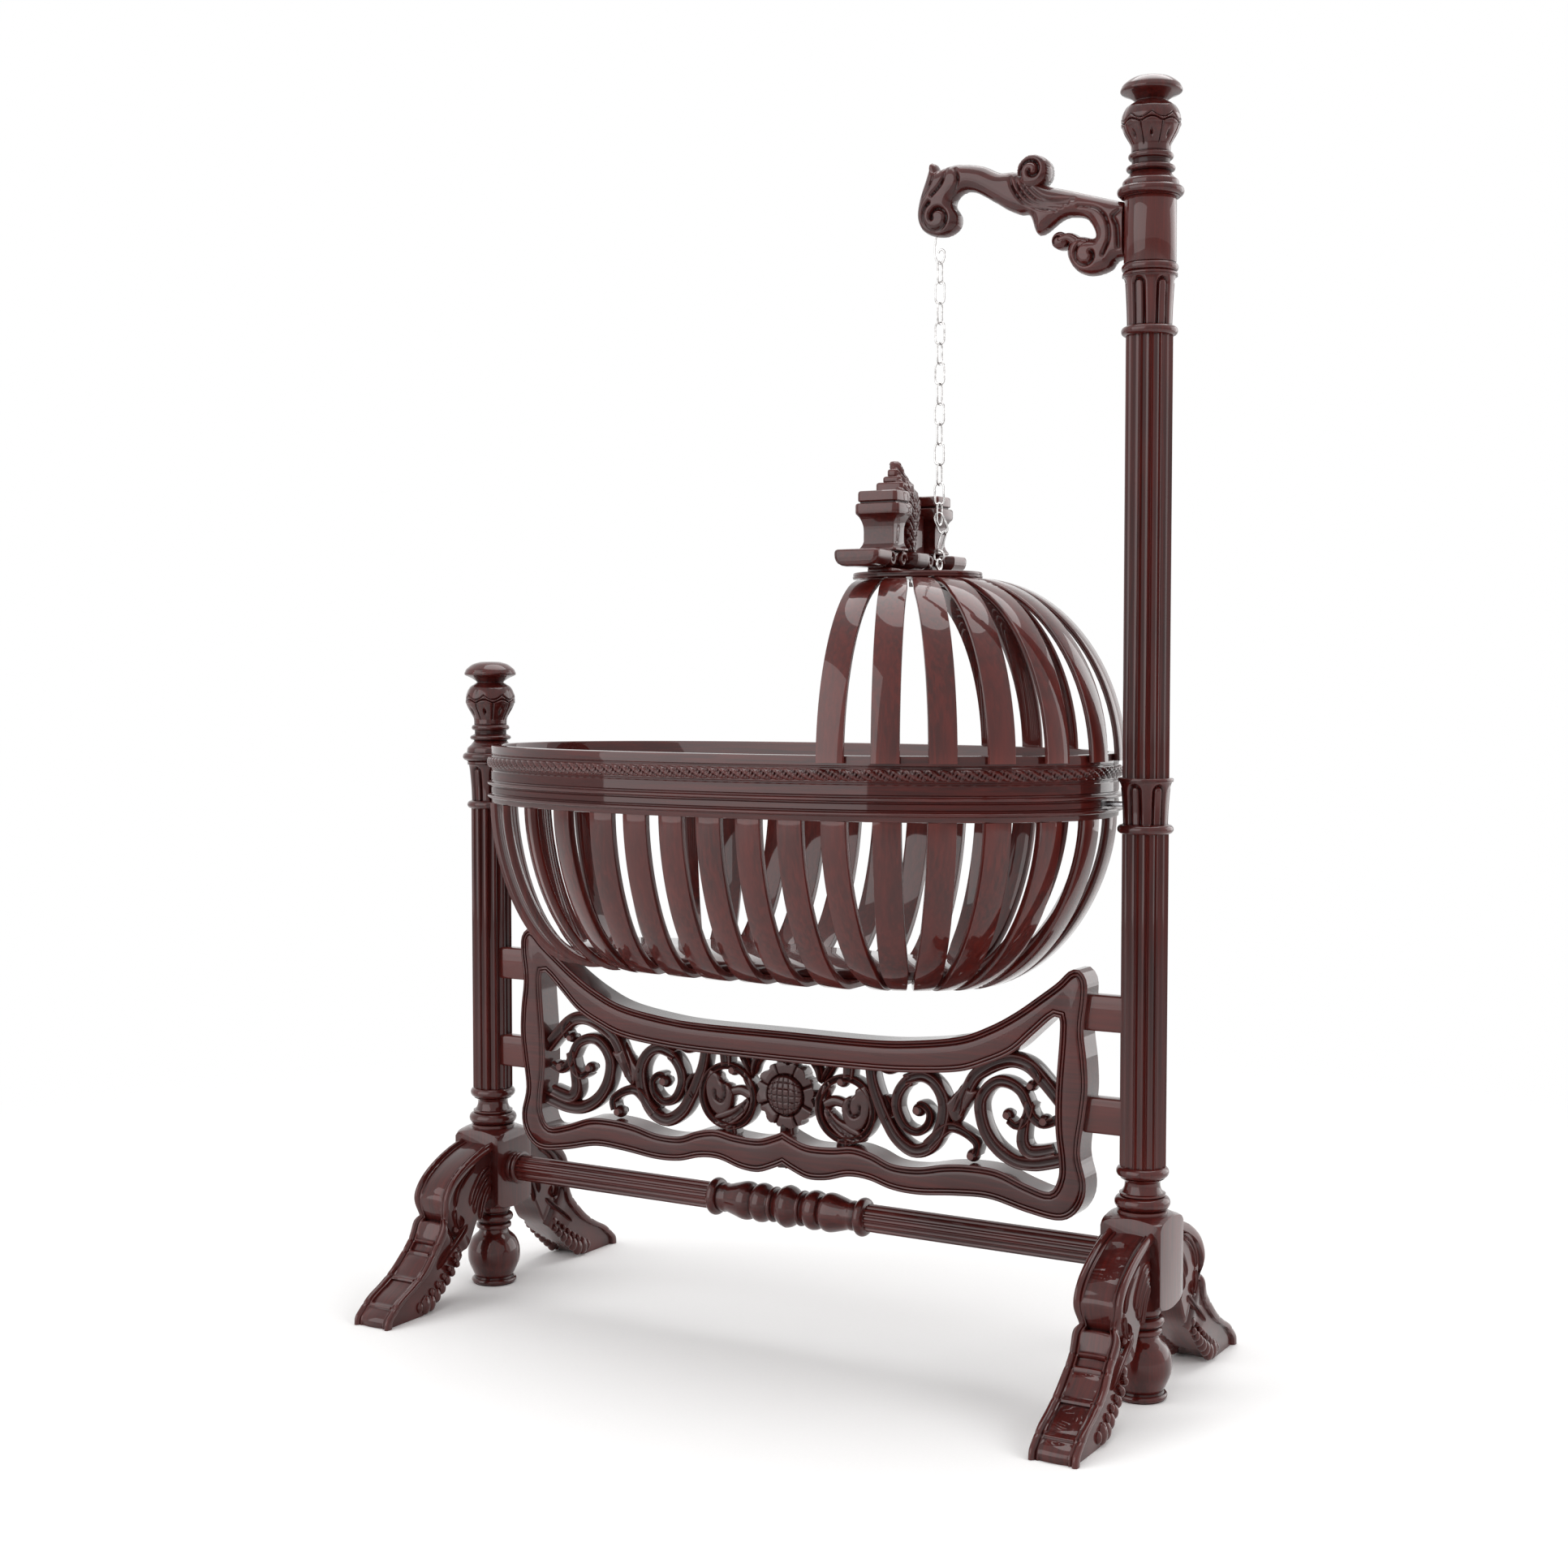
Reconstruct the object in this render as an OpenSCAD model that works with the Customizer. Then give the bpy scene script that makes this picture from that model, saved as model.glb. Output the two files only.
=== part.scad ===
// Swinging cradle hung between two turned posts, in millimetres, +Z up.
// The origin lies on the floor under the middle of the stand. The tall post stands at +X,
// the short post at -X, and the slatted cradle swings about the X axis between them.

/* [Posts] */
// Distance of each post's axis from the middle of the stand
post_x = 577; // [576:1:620]
// Diameter of the fluted shafts
shaft_d = 65; // [60:0.5:70]
// Number of flutes round a shaft
flute_count = 14; // [10:1:16]
// Depth of a shaft's flutes
flute_depth = 2.2; // [1:0.1:2.6]
// Radius of a shaft's flutes
flute_r = 5.5; // [4.5:0.1:6]
// Height of the turned foot under each block
foot_h = 132; // [120:1:150]
// Widest diameter of the turned foot
foot_d = 87; // [80:1:88]
// Width of the square block
block_w = 89; // [86:1:96]
// Height of the square block
block_h = 132; // [126:1:150]
// Height of the turned neck above the block
neck_h = 66; // [58:1:80]
// Diameter of the rings that divide the posts
ring_d = 78; // [76:0.5:82]
// Height of the rings that divide the posts
ring_h = 13; // [10:0.5:16]
// Height of the lower fluted shafts
low_shaft_h = 467; // [466:1:480]
// Height of the cup that holds the pivot
cup_h = 78; // [74:1:90]
// Diameter of a cup's lip
cup_lip_d = 77; // [74:0.5:80]
// Number of arched recesses round a cup
recess_count = 6; // [4:1:8]
// Radius of the arched recesses
recess_r = 7.8; // [6:0.1:9]
// Depth of the arched recesses
recess_depth = 2.6; // [1.5:0.1:3]
// Height of the tall post's upper shaft
upper_shaft_h = 609; // [600:1:660]
// Height of the tall post's top cup
top_cup_h = 99; // [90:1:110]
// Diameter of the plain sleeve that carries the arm
sleeve_d = 72; // [70:0.5:76]
// Height of the plain sleeve
sleeve_h = 89; // [86:1:100]
// Height of a finial
finial_h = 165; // [150:1:180]
// Diameter of a finial's cap
finial_cap_d = 85; // [70:1:88]
// Diameter of a finial's ball
finial_ball_d = 82; // [70:1:86]
// Diameter of a finial's foot moulding
finial_foot_d = 92; // [84:1:92]
// Diameter of the round tenons that join the turned pieces
tenon_d = 26; // [20:1:28]
// Length of the round tenons
tenon_h = 22; // [16:1:26]

/* [Legs and rail] */
// Width of a leg
leg_w = 70; // [60:1:80]
// Reach of a leg's toe from the post's axis
leg_reach = 310; // [290:1:340]
// Height where a leg's top edge meets the block
leg_top_z = 247; // [235:1:250]
// Length of a toe's flat underside
toe_l = 95; // [80:1:110]
// Diameter of the leg dowels
dowel_d = 10; // [8:0.5:12]
// Length of the leg and arm dowels
dowel_l = 48; // [40:1:54]
// Height of the rail's axis
rail_z = 199; // [194:1:202]
// Diameter of the fluted rail rods
rail_d = 42; // [38:0.5:44]
// Number of flutes round a rail rod
rail_flute_count = 16; // [12:1:18]
// Depth of the rail's flutes
rail_flute_depth = 1.2; // [0.8:0.1:1.5]
// Diameter of the collar at each end of the rail
rail_collar_d = 54; // [50:1:58]
// Length of the collar at each end of the rail
rail_collar_l = 18; // [12:1:24]
// Half length of the rail's turned middle
rail_mid_l = 140; // [130:1:160]
// Diameter of the bulb at the rail's middle
rail_bulb_d = 66; // [60:1:68]
// Diameter of the rail's tenons
rail_tenon_d = 24; // [18:1:26]
// Length of the rail's tenons
rail_tenon_l = 18; // [14:1:22]

/* [Carved panel] */
// Half width of the panel's frame
panel_w = 500; // [490:1:504]
// Thickness of the panel's frame
panel_t = 45; // [38:1:50]
// Thickness of the scrollwork
scroll_t = 27; // [20:1:34]
// Height of the panel's bottom edge at its corners
panel_bottom_z = 240; // [238:1:250]
// Clearance between the panel's top edge and the basket's bottom
panel_dip_gap = 89; // [87:1:103]
// Height of the panel's horns above the basket's bottom
panel_horn_rise = 39; // [22:1:41]
// Width of the frame's band
band_w = 47; // [42:1:50]
// Distance of the panel's lower tenons below its horns
tenon_low_drop = 207; // [197:1:217]
// Distance of the panel's upper tenons below its horns
tenon_high_drop = 61; // [54:1:72]
// Height of a panel tenon
panel_tenon_h = 52; // [44:1:56]
// Thickness of a panel tenon
panel_tenon_t = 24; // [18:1:30]
// Depth of a panel tenon in the frame and in the post
panel_tenon_in = 10; // [8:1:12]
// Clearance between the rosette's disc and the frame above it
rosette_gap = 7; // [6:0.5:13]
// Radius of the rosette's raised oval boss
boss_r = 27; // [22:1:30]
// Height of the rosette's boss above the scrollwork
boss_h = 8; // [5:1:9]
// Width of the scrolls' bands
scroll_w = 16; // [12:1:18]
// Radius of the ring beside the rosette
ring_out = 53; // [48:1:54]

/* [Arm and chain] */
// Thickness of the carved arm
arm_t = 38; // [32:1:42]
// Radius of the scroll on the arm's back
arm_scroll_r = 24; // [20:0.5:26]
// Distance of the chain from the middle of the stand
chain_x = 254.5; // [252:0.5:262]
// Distance of the arm hook's bearing surface below the middle of the sleeve
hook_drop = 11.5; // [6:0.5:15.5]
// Radius of the hooks' bends at the middle of the wire
hook_bend_r = 6; // [5:0.5:7]
// Diameter of the hooks' wire
hook_wire_d = 3.5; // [3:0.1:4]
// Height over the hood's plate that the slack links and their eye need
slack_h = 66; // [58:1:66]
// Outer length of a chain link
link_l = 35.4; // [35:0.1:35.6]
// Outer width of a chain link
link_w = 17.5; // [16:0.5:19]
// Diameter of the links' wire
link_wire_d = 3; // [2.6:0.1:3.1]
// Tilt of the first slack link
slack_tilt = 25; // [23:0.5:26]
// Tilt of the second slack link
slack_back_tilt = 17; // [14:1:20]

/* [Cradle rim] */
// Half length of the rim
rim_a = 521; // [505:1:522]
// Half width of the rim
rim_b = 275; // [260:1:290]
// Roundness of the rim's plan, where 2 is an ellipse
rim_e = 2.208; // [2.1:0.01:2.4]
// Height of the rim's band
rim_h = 91; // [86:1:100]
// Thickness of the rim's band
rim_t = 18; // [17:0.5:22]
// Height of the pivots above the rim's lower edge
pivot_in_rim = 21; // [20:0.5:22]
// Height of the pivots above the foot of their cups
pivot_in_cup = 40; // [34:1:46]
// Height of the rope moulding's middle above the rim's lower edge
rope_z = 64.5; // [60:0.5:68]
// Height of the rope moulding
rope_h = 17; // [12:1:19]
// Projection of the rope moulding
rope_out = 6.5; // [4:0.5:7]
// Height of the lower bead's middle above the rim's lower edge
bead_low_z = 11; // [8:0.5:12]
// Height of the upper bead's middle above the rim's lower edge
bead_high_z = 31; // [30:0.5:36]
// Height of a bead
bead_h = 7; // [5:0.5:8]
// Projection of a bead
bead_out = 6; // [4:0.5:7]

/* [Cradle slats] */
// Width of a slat
slat_w = 40; // [34:1:42]
// Thickness of a slat
slat_t = 12; // [8:0.5:13]
// Inset of the slats from the rim's face
slat_inset = 4; // [3:0.5:4.5]
// Number of slats along each side
side_slats = 7; // [5:1:8]
// Distance between the outermost of these slats
side_slat_span = 386; // [370:1:400]
// Distance of the first of these slats from the middle
side_slat_x = -168; // [-180:1:-160]
// Number of slats in each half of the head and foot fans
fan_slats = 5; // [4:1:6]
// Depth of the basket under the rim
basket_h = 253; // [235:1:253]
// Half length of the basket's bottom
floor_a = 361; // [340:1:362]
// Half width of the basket's bottom
floor_b = 133; // [120:1:145]
// Distance of the bottom's centre from the middle, towards the foot
floor_shift = 38; // [30:1:40]
// Fullness of the basket's sides, where 1 is an ellipse
basket_full = 1.14; // [1:0.01:1.2]
// Thickness of the bottom board
board_t = 14; // [10:1:18]
// Gap left between neighbouring slats where the fans close up
fan_gap = 1.5; // [1:0.1:3]

/* [Hood] */
// Height of the hood above the rim's upper edge
hood_h = 251; // [240:1:265]
// Lap of the hood slats over the rim
hood_lap = 10; // [8:1:14]
// Thickness of a hood slat
hood_slat_t = 8; // [6:0.5:10]
// Fullness of the hood's slats
hood_full = 1.04; // [0.95:0.01:1.1]
// Distance of the top plate's centre from the middle
plate_x = 219; // [212:1:224]
// Half length of the top plate
plate_a = 98; // [94:1:104]
// Half width of the top plate
plate_b = 86; // [82:1:92]
// Thickness of the top plate
plate_t = 10; // [8:1:14]
// Distance of the crown's middle from the middle of the cradle
crown_x = 198; // [192:1:200]
// Depth of the crown's cornices
crown_d = 74; // [66:1:76]
// Half length of the crown's base slab
crown_base_y = 146; // [136:1:150]
// Height of the crown's base slab
crown_base_h = 25; // [20:1:30]
// Half length of the crown over its cornices
crown_y = 94; // [88:1:100]
// Width of a crown pilaster
pilaster_w = 44; // [38:1:48]
// Height of a crown pilaster
pilaster_h = 52; // [46:1:60]
// Height of one cornice step
cornice_h = 17; // [14:1:20]
// Height of the crown's leaf above its base slab
leaf_h = 136; // [125:1:145]
// Half width of the crown's leaf
leaf_y = 27; // [22:1:32]

/* [Pivots] */
// Diameter of the pivot bolts' shanks
bolt_d = 8; // [7:0.5:8.5]
// Diameter of the pivot bolts' heads
bolt_head_d = 18; // [15:0.5:19]
// Outer diameter of the bushes
bush_d = 12; // [11:0.5:12]
// Length of a bolt in its cup
bolt_in_cup = 26; // [20:1:28]
// Length of a pivot plate
pivot_plate_l = 46; // [36:1:50]
// Height of a pivot plate
pivot_plate_h = 12; // [11:0.5:12]
// Thickness of a pivot plate
pivot_plate_t = 2.5; // [2:0.1:3]

/* [Hidden] */
$fn = 48;

wood = [0.30, 0.10, 0.08];
dark_wood = [0.22, 0.07, 0.06];
steel = [0.78, 0.79, 0.80];
dark_steel = [0.35, 0.35, 0.37];

// Clearances: a glued or screwed joint, a running pin, metal that only touches, and a cut's overshoot
joint_gap = 0.1;
running_gap = 0.05;
touch_gap = 0.3;
cut = 1;

// Levels of the turned pieces, stacked from the floor
block_z = foot_h;
neck_z = block_z + block_h;
shaft_z = neck_z + neck_h;
cup_z = shaft_z + low_shaft_h;
upper_z = cup_z + cup_h;
top_cup_z = upper_z + upper_shaft_h;
sleeve_z = top_cup_z + top_cup_h;
tall_finial_z = sleeve_z + sleeve_h;

// Levels of the cradle, which follow its pivots
pivot_z = cup_z + pivot_in_cup;
rim_z = pivot_z - pivot_in_rim;
rim_top_z = rim_z + rim_h;
floor_z = rim_z - basket_h;
plate_z = rim_top_z + hood_h;
base_z = plate_z + plate_t;
hook_z = sleeve_z + sleeve_h / 2 - hook_drop;

// Levels of the panel, whose top follows the basket's bottom
panel_dip_z = floor_z - panel_dip_gap;
panel_horn_z = floor_z + panel_horn_rise;
tenon_low_z = panel_horn_z - tenon_low_drop;
tenon_high_z = panel_horn_z - tenon_high_drop;
crown_z = base_z + 4;
pilaster_z = crown_z + crown_base_h;

// --- Curves -----------------------------------------------------------------

// Point of a Catmull-Rom curve between b and c
function blend(a, b, c, d, t) = 0.5 * (2 * b + (c - a) * t + (2 * a - 5 * b + 4 * c - d) * t * t
    + (3 * b - a - 3 * c + d) * t * t * t);

// Smooth open curve through the points p, with n steps between neighbours
function smooth(p, n = 5) = concat(
    [for (i = [0 : len(p) - 2], k = [0 : n - 1])
        blend(p[max(i - 1, 0)], p[i], p[i + 1], p[min(i + 2, len(p) - 1)], k / n)],
    [p[len(p) - 1]]);

// Half circle of radius r that bulges from the line at distance out, centred at height z
function half_bead(out, z, r, n = 8) = [for (i = [0 : n]) let (a = -90 + 180 * i / n)
    [out + r * cos(a), z + r * sin(a)]];

function mirrored(p) = [for (i = [len(p) - 1 : -1 : 0]) [-p[i][0], p[i][1]]];

// Point at angle t of the closed curve |x/a|^e + |y/b|^e = 1
function oval_x(t, a, e) = a * sign(cos(t)) * pow(abs(cos(t)), 2 / e);
function oval_y(t, b, e) = b * sign(sin(t)) * pow(abs(sin(t)), 2 / e);
function oval(a, b, e, n) = [for (i = [0 : n - 1]) let (t = 360 * i / n)
    [oval_x(t, a, e), oval_y(t, b, e)]];

// Upright bar t thick and of changing width, along a smooth curve through the points p
module band(p, w_start, w_end, t, n = 4) {
    c = smooth(p, n);
    m = len(c) - 1;
    side = [for (i = [0 : m]) let (d = c[min(i + 1, m)] - c[max(i - 1, 0)])
        [-d[1], d[0]] / norm(d) * (w_start + (w_end - w_start) * i / m) / 2];
    plate(t) polygon(concat([for (i = [0 : m]) c[i] + side[i]],
        [for (i = [m : -1 : 0]) c[i] - side[i]]));
}

// Upright plate: the child's plan is its front view, centred on y = 0
module plate(t) {
    rotate([90, 0, 0]) translate([0, 0, -t / 2]) linear_extrude(t) children();
}

module disc(x, z, r, t) {
    translate([x, 0, z]) rotate([90, 0, 0]) cylinder(r = r, h = t, center = true);
}

// Closed skin over rings of points, each ring with the same number of points
module skin(rings, closed = false) {
    m = len(rings);
    k = len(rings[0]);
    last = closed ? m - 1 : m - 2;
    sides = [for (i = [0 : last], j = [0 : k - 1]) let (
        a = i * k + j, b = i * k + (j + 1) % k,
        c = ((i + 1) % m) * k + (j + 1) % k, d = ((i + 1) % m) * k + j) each [[a, b, c], [a, c, d]]];
    caps = closed ? [] : [for (j = [1 : k - 2]) each
        [[0, j + 1, j], [(m - 1) * k, (m - 1) * k + j, (m - 1) * k + j + 1]]];
    polyhedron([for (r = rings) each r], concat(sides, caps), convexity = 6);
}

// --- Turned posts -------------------------------------------------------------

module turned(profile) {
    rotate_extrude() polygon(profile);
}

module tenon(z) {
    translate([0, 0, z]) cylinder(d = tenon_d, h = tenon_h);
}

module mortise() {
    translate([0, 0, -cut]) cylinder(d = tenon_d + 2 * joint_gap, h = tenon_h + 2 * cut);
}

module at_post(side, z) {
    translate([side * post_x, 0, z]) children();
}

// Vase-shaped foot: floor disc, belly, waist, thin ring, bead and neck
module foot(side) {
    color(wood) at_post(side, 0) {
        turned(concat(
            [[0, 0], [foot_d / 2 - 9, 0]],
            half_bead(foot_d / 2 - 10.5, foot_h * 0.038, foot_h * 0.033),
            smooth([[foot_d / 2 - 10, foot_h * 0.1], [foot_d / 2 - 3, foot_h * 0.19],
                [foot_d / 2, foot_h * 0.33], [foot_d / 2 - 2, foot_h * 0.46],
                [foot_d / 2 - 9, foot_h * 0.58], [foot_d / 2 - 19, foot_h * 0.66],
                [foot_d / 2 - 19.5, foot_h * 0.7]]),
            [[foot_d / 2 - 15, foot_h * 0.715], [foot_d / 2 - 15, foot_h * 0.75],
                [foot_d / 2 - 19, foot_h * 0.77]],
            half_bead(foot_d / 2 - 18.5, foot_h * 0.84, foot_h * 0.055),
            [[foot_d / 2 - 18.5, foot_h * 0.91], [foot_d / 2 - 16, foot_h], [0, foot_h]]));
        tenon(foot_h);
    }
}

// Square block whose face tops and bottoms are arched, as the lathe leaves them
module block(side) {
    corner_r = block_w * 0.715;
    arch = 15;
    ends = smooth([[block_w / 2 - 3, 0], [block_w / 2 + 4, 3], [corner_r - 6, 7], [corner_r, arch]]);
    color(wood) at_post(side, block_z) {
        difference() {
            intersection() {
                translate([-block_w / 2, -block_w / 2, 0]) cube([block_w, block_w, block_h]);
                turned(concat([[0, 0]], ends, [for (i = [len(ends) - 1 : -1 : 0])
                    [ends[i][0], block_h - ends[i][1]]], [[0, block_h]]));
            }
            mortise();
            for (s = [-1, 1]) leg_dowel_places() dowel_hole(s);
            translate([0, 0, rail_z - block_z]) rotate([0, -side * 90, 0])
                translate([0, 0, block_w / 2 - rail_tenon_l - cut])
                    cylinder(d = rail_tenon_d + 2 * joint_gap, h = rail_tenon_l + 2 * cut);
        }
        tenon(block_h);
    }
}

// Neck: collar, large ring, hollow throat and the ring under the shaft
module neck(side) {
    throat_r = shaft_d / 2 - 7.5;
    color(wood) at_post(side, neck_z) {
        difference() {
            turned(concat(
                [[0, 0], [block_w / 2 - 9, 0], [block_w / 2 - 9, 5]],
                half_bead(ring_d / 2 - 9, 15, 9.5),
                [[ring_d / 2 - 6.5, 26], [ring_d / 2 - 6.5, 28]],
                smooth([[ring_d / 2 - 10, 29], [throat_r + 1, 35], [throat_r, neck_h - 25],
                    [throat_r + 1, neck_h - 21], [throat_r + 6, neck_h - 17]]),
                half_bead(ring_d / 2 - 10, neck_h - 8, 8),
                [[0, neck_h]]));
            mortise();
        }
        tenon(neck_h);
    }
}

module fluted(d, h, count, r, depth) {
    difference() {
        cylinder(d = d, h = h);
        for (i = [0 : count - 1]) rotate((i + 0.5) * 360 / count)
            translate([d / 2 + r - depth, 0, -cut]) cylinder(r = r, h = h + 2 * cut);
    }
}

// Fluted shaft with a mortise below and a tenon above
module shaft(side, z, h) {
    at_post(side, z) {
        difference() {
            fluted(shaft_d, h, flute_count, flute_r, flute_depth);
            mortise();
        }
        tenon(h);
    }
}

module lower_shaft(side) {
    color(wood) difference() {
        shaft(side, shaft_z, low_shaft_h);
        for (z = [tenon_low_z, tenon_high_z]) panel_mortise(side, z);
    }
}

// Cup with a ring at its foot, arched recesses round its body and a thin lip
module cup_body(h, lip_d) {
    body_r = shaft_d / 2 - 0.8;
    lip_h = 5;
    recess_r1 = (body_r + lip_d / 2 - 3) / 2;
    recess_top = h - lip_h - recess_r - 5;
    difference() {
        turned(concat([[0, 0]],
            half_bead(ring_d / 2 - ring_h / 2, ring_h / 2, ring_h / 2),
            smooth([[body_r, ring_h + 1], [body_r + 1, h * 0.5], [lip_d / 2 - 3, h - lip_h - 4],
                [lip_d / 2, h - lip_h]]),
            [[lip_d / 2, h - 1.5], [lip_d / 2 - 1.5, h], [0, h]]));
        mortise();
        for (i = [0 : recess_count - 1]) rotate((i + 0.4) * 360 / recess_count)
            translate([recess_r1 + recess_r - recess_depth, 0, ring_h + 4]) {
                cylinder(r = recess_r, h = recess_top - ring_h - 4);
                translate([0, 0, recess_top - ring_h - 4]) sphere(r = recess_r);
            }
    }
}

module pivot_cup(side) {
    color(wood) at_post(side, cup_z) difference() {
        union() {
            cup_body(cup_h, cup_lip_d);
            tenon(cup_h);
        }
        translate([0, 0, pivot_in_cup]) rotate([0, -side * 90, 0])
            translate([0, 0, cup_lip_d / 2 - bolt_in_cup - 4])
                cylinder(d = bolt_d + 2 * joint_gap, h = bolt_in_cup + 4 + cut);
    }
}

module top_cup() {
    lip_z = top_cup_h - ring_h;
    color(wood) at_post(1, top_cup_z) {
        difference() {
            union() {
                cup_body(lip_z, ring_d - 2);
                turned(concat([[0, lip_z]],
                    half_bead(ring_d / 2 - ring_h / 2, lip_z + ring_h / 2, ring_h / 2),
                    [[0, top_cup_h]]));
            }
            mortise();
        }
        tenon(top_cup_h);
    }
}

module sleeve() {
    color(wood) at_post(1, sleeve_z) {
        difference() {
            cylinder(d = sleeve_d, h = sleeve_h);
            mortise();
            arm_dowel_places() translate([0, 0, sleeve_d / 2 - dowel_l / 2 - cut])
                cylinder(d = dowel_d + 2 * joint_gap, h = dowel_l / 2 + 2 * cut);
        }
        tenon(sleeve_h);
    }
}

// Finial: stepped foot moulding, two rings, ball, neck and a cap like a mushroom
module finial(side, z) {
    foot_r = finial_foot_d / 2;
    ball_r = finial_ball_d / 2;
    cap_r = finial_cap_d / 2;
    h = finial_h;
    color(wood) at_post(side, z) difference() {
        turned(concat(
            [[0, 0], [foot_r - 9, 0]],
            half_bead(foot_r - h * 0.04, h * 0.05, h * 0.04),
            smooth([[foot_r - 7, h * 0.1], [foot_r - 8, h * 0.135], [foot_r - 14, h * 0.17],
                [foot_r - 19, h * 0.21]]),
            half_bead(foot_r - 16, h * 0.24, h * 0.022, 6),
            [[foot_r - 20, h * 0.275], [foot_r - 20, h * 0.305]],
            half_bead(foot_r - 19.5, h * 0.34, h * 0.028, 6),
            smooth([[ball_r - 14, h * 0.38], [ball_r - 13, h * 0.41], [ball_r - 6, h * 0.47],
                [ball_r - 1, h * 0.53], [ball_r, h * 0.6], [ball_r - 1.5, h * 0.67],
                [ball_r - 7, h * 0.74], [ball_r - 14, h * 0.775]]),
            smooth([[cap_r - 20, h * 0.79], [cap_r - 20, h * 0.8], [cap_r - 12, h * 0.835],
                [cap_r - 1.5, h * 0.865], [cap_r, h * 0.885], [cap_r - 4, h * 0.93],
                [cap_r - 14, h * 0.975], [cap_r - 26, h]]),
            [[0, h]]));
        mortise();
    }
}

// --- Legs and rail --------------------------------------------------------------

module leg_dowel_places() {
    for (z = [0.3, 0.72]) translate([0, 0, block_h * z]) children();
}

module dowel_hole(s) {
    rotate([-s * 90, 0, 0]) translate([0, 0, block_w / 2 - dowel_l / 2 - cut])
        cylinder(d = dowel_d + 2 * joint_gap, h = dowel_l + 2 * cut);
}

// Scroll-backed leg: the knee stands over a hollow that runs out to a flat toe
module leg(side, s) {
    b = block_w / 2;
    r = leg_reach;
    t = leg_top_z;
    back = smooth([[b, t], [b + 34, t - 9], [b + 70, t - 24], [b + 101, t - 44], [b + 118, t - 66],
        [b + 120, t - 88], [b + 122, t - 108], [b + 132, t - 130], [r - 112, t - 155],
        [r - 90, t - 176], [r - 62, t - 194], [r - 32, t - 209], [r - 12, t - 225], [r - 2, 12],
        [r, 0]], 4);
    belly = smooth([[r - toe_l, 0], [r - toe_l - 22, 14], [r - toe_l - 55, 36], [b + 84, 60],
        [b + 55, 86], [b + 40, 112], [b + 26, 132], [b, block_z + 20]], 4);
    color(wood) at_post(side, 0) mirror([0, s < 0 ? 1 : 0, 0]) difference() {
        rotate([90, 0, 90]) translate([0, 0, -leg_w / 2]) linear_extrude(leg_w)
            polygon(concat(back, belly));
        translate([0, 0, block_z]) leg_dowel_places() dowel_hole(1);
    }
}

module leg_dowels() {
    color(dark_wood) for (side = [-1, 1], s = [-1, 1]) at_post(side, block_z) leg_dowel_places()
        rotate([-s * 90, 0, 0]) translate([0, 0, block_w / 2 - dowel_l / 2])
            cylinder(d = dowel_d, h = dowel_l);
}

// Fluted rod from the turned middle to the block, with a collar against the block
module rail_rod(side) {
    rod_l = post_x - block_w / 2 - rail_mid_l;
    color(wood) translate([side * rail_mid_l, 0, rail_z]) rotate([0, side * 90, 0]) {
        fluted(rail_d, rod_l - rail_collar_l, rail_flute_count, 2.6, rail_flute_depth);
        translate([0, 0, rod_l - rail_collar_l]) turned(concat([[0, 0], [rail_collar_d / 2 - 4, 0]],
            half_bead(rail_collar_d / 2 - 4, rail_collar_l / 4, rail_collar_l / 4),
            [[rail_collar_d / 2 - 1, rail_collar_l * 0.6], [rail_collar_d / 2 - 1, rail_collar_l],
                [0, rail_collar_l]]));
        translate([0, 0, -rail_tenon_l]) cylinder(d = rail_tenon_d, h = rail_tenon_l);
        translate([0, 0, rod_l]) cylinder(d = rail_tenon_d, h = rail_tenon_l);
    }
}

// Turned middle of the rail: bulb, rings, two balusters and an end bead on each side
module rail_middle() {
    r = rail_d / 2;
    half = concat(
        smooth([[rail_bulb_d / 2, 0], [rail_bulb_d / 2 - 2.5, 8], [r + 3, 17], [r + 1.5, 20]]),
        half_bead(r + 3, 25, 3.5),
        smooth([[r + 3, 33], [r + 8, 40], [r + 9.5, 48], [r + 7, 56], [r + 2, 60]]),
        smooth([[r + 3, 62], [r + 8, 68], [r + 9, 78], [r + 5, 94], [r + 1.5, 107], [r + 2, 114]]),
        half_bead(r + 0.5, rail_mid_l - 9, 8),
        [[r, rail_mid_l]]);
    color(wood) translate([0, 0, rail_z]) rotate([0, 90, 0]) difference() {
        turned(concat([[0, -rail_mid_l]], [for (i = [len(half) - 1 : -1 : 1])
            [half[i][0], -half[i][1]]], half, [[0, rail_mid_l]]));
        for (s = [-1, 1]) translate([0, 0, s * (rail_mid_l - rail_tenon_l / 2)])
            cylinder(d = rail_tenon_d + 2 * joint_gap, h = rail_tenon_l + 2 * cut, center = true);
    }
}

// --- Carved panel ---------------------------------------------------------------

// Half outline of the frame's outside, from the middle of the top to the middle of the bottom
function frame_outer() = let (w = panel_w, b = panel_bottom_z, d = panel_dip_z, h = panel_horn_z)
    smooth([[0, d], [w * 0.3, d], [w * 0.45, d + 5], [w * 0.6, d + 17], [w * 0.7, d + 37],
        [w * 0.78, d + 60], [w * 0.855, d + 87], [w * 0.91, h - 20], [w * 0.945, h - 3],
        [w * 0.975, h], [w * 0.998, h - 14], [w, h - 38], [w * 0.99, h - 84], [w, h - 128],
        [w * 1.004, h - 170], [w * 0.995, h - 210], [w * 0.982, h - 262], [w, b + 60],
        [w * 0.993, b + 32], [w * 0.96, b + 9], [w * 0.91, b], [w * 0.815, b + 6],
        [w * 0.7, b + 18], [w * 0.59, b + 16], [w * 0.47, b + 10], [w * 0.38, b + 12],
        [w * 0.3, b + 22], [w * 0.23, b + 23], [w * 0.155, b + 13], [w * 0.09, b + 11],
        [w * 0.035, b + 20], [0, b + 28]], 3);

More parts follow.
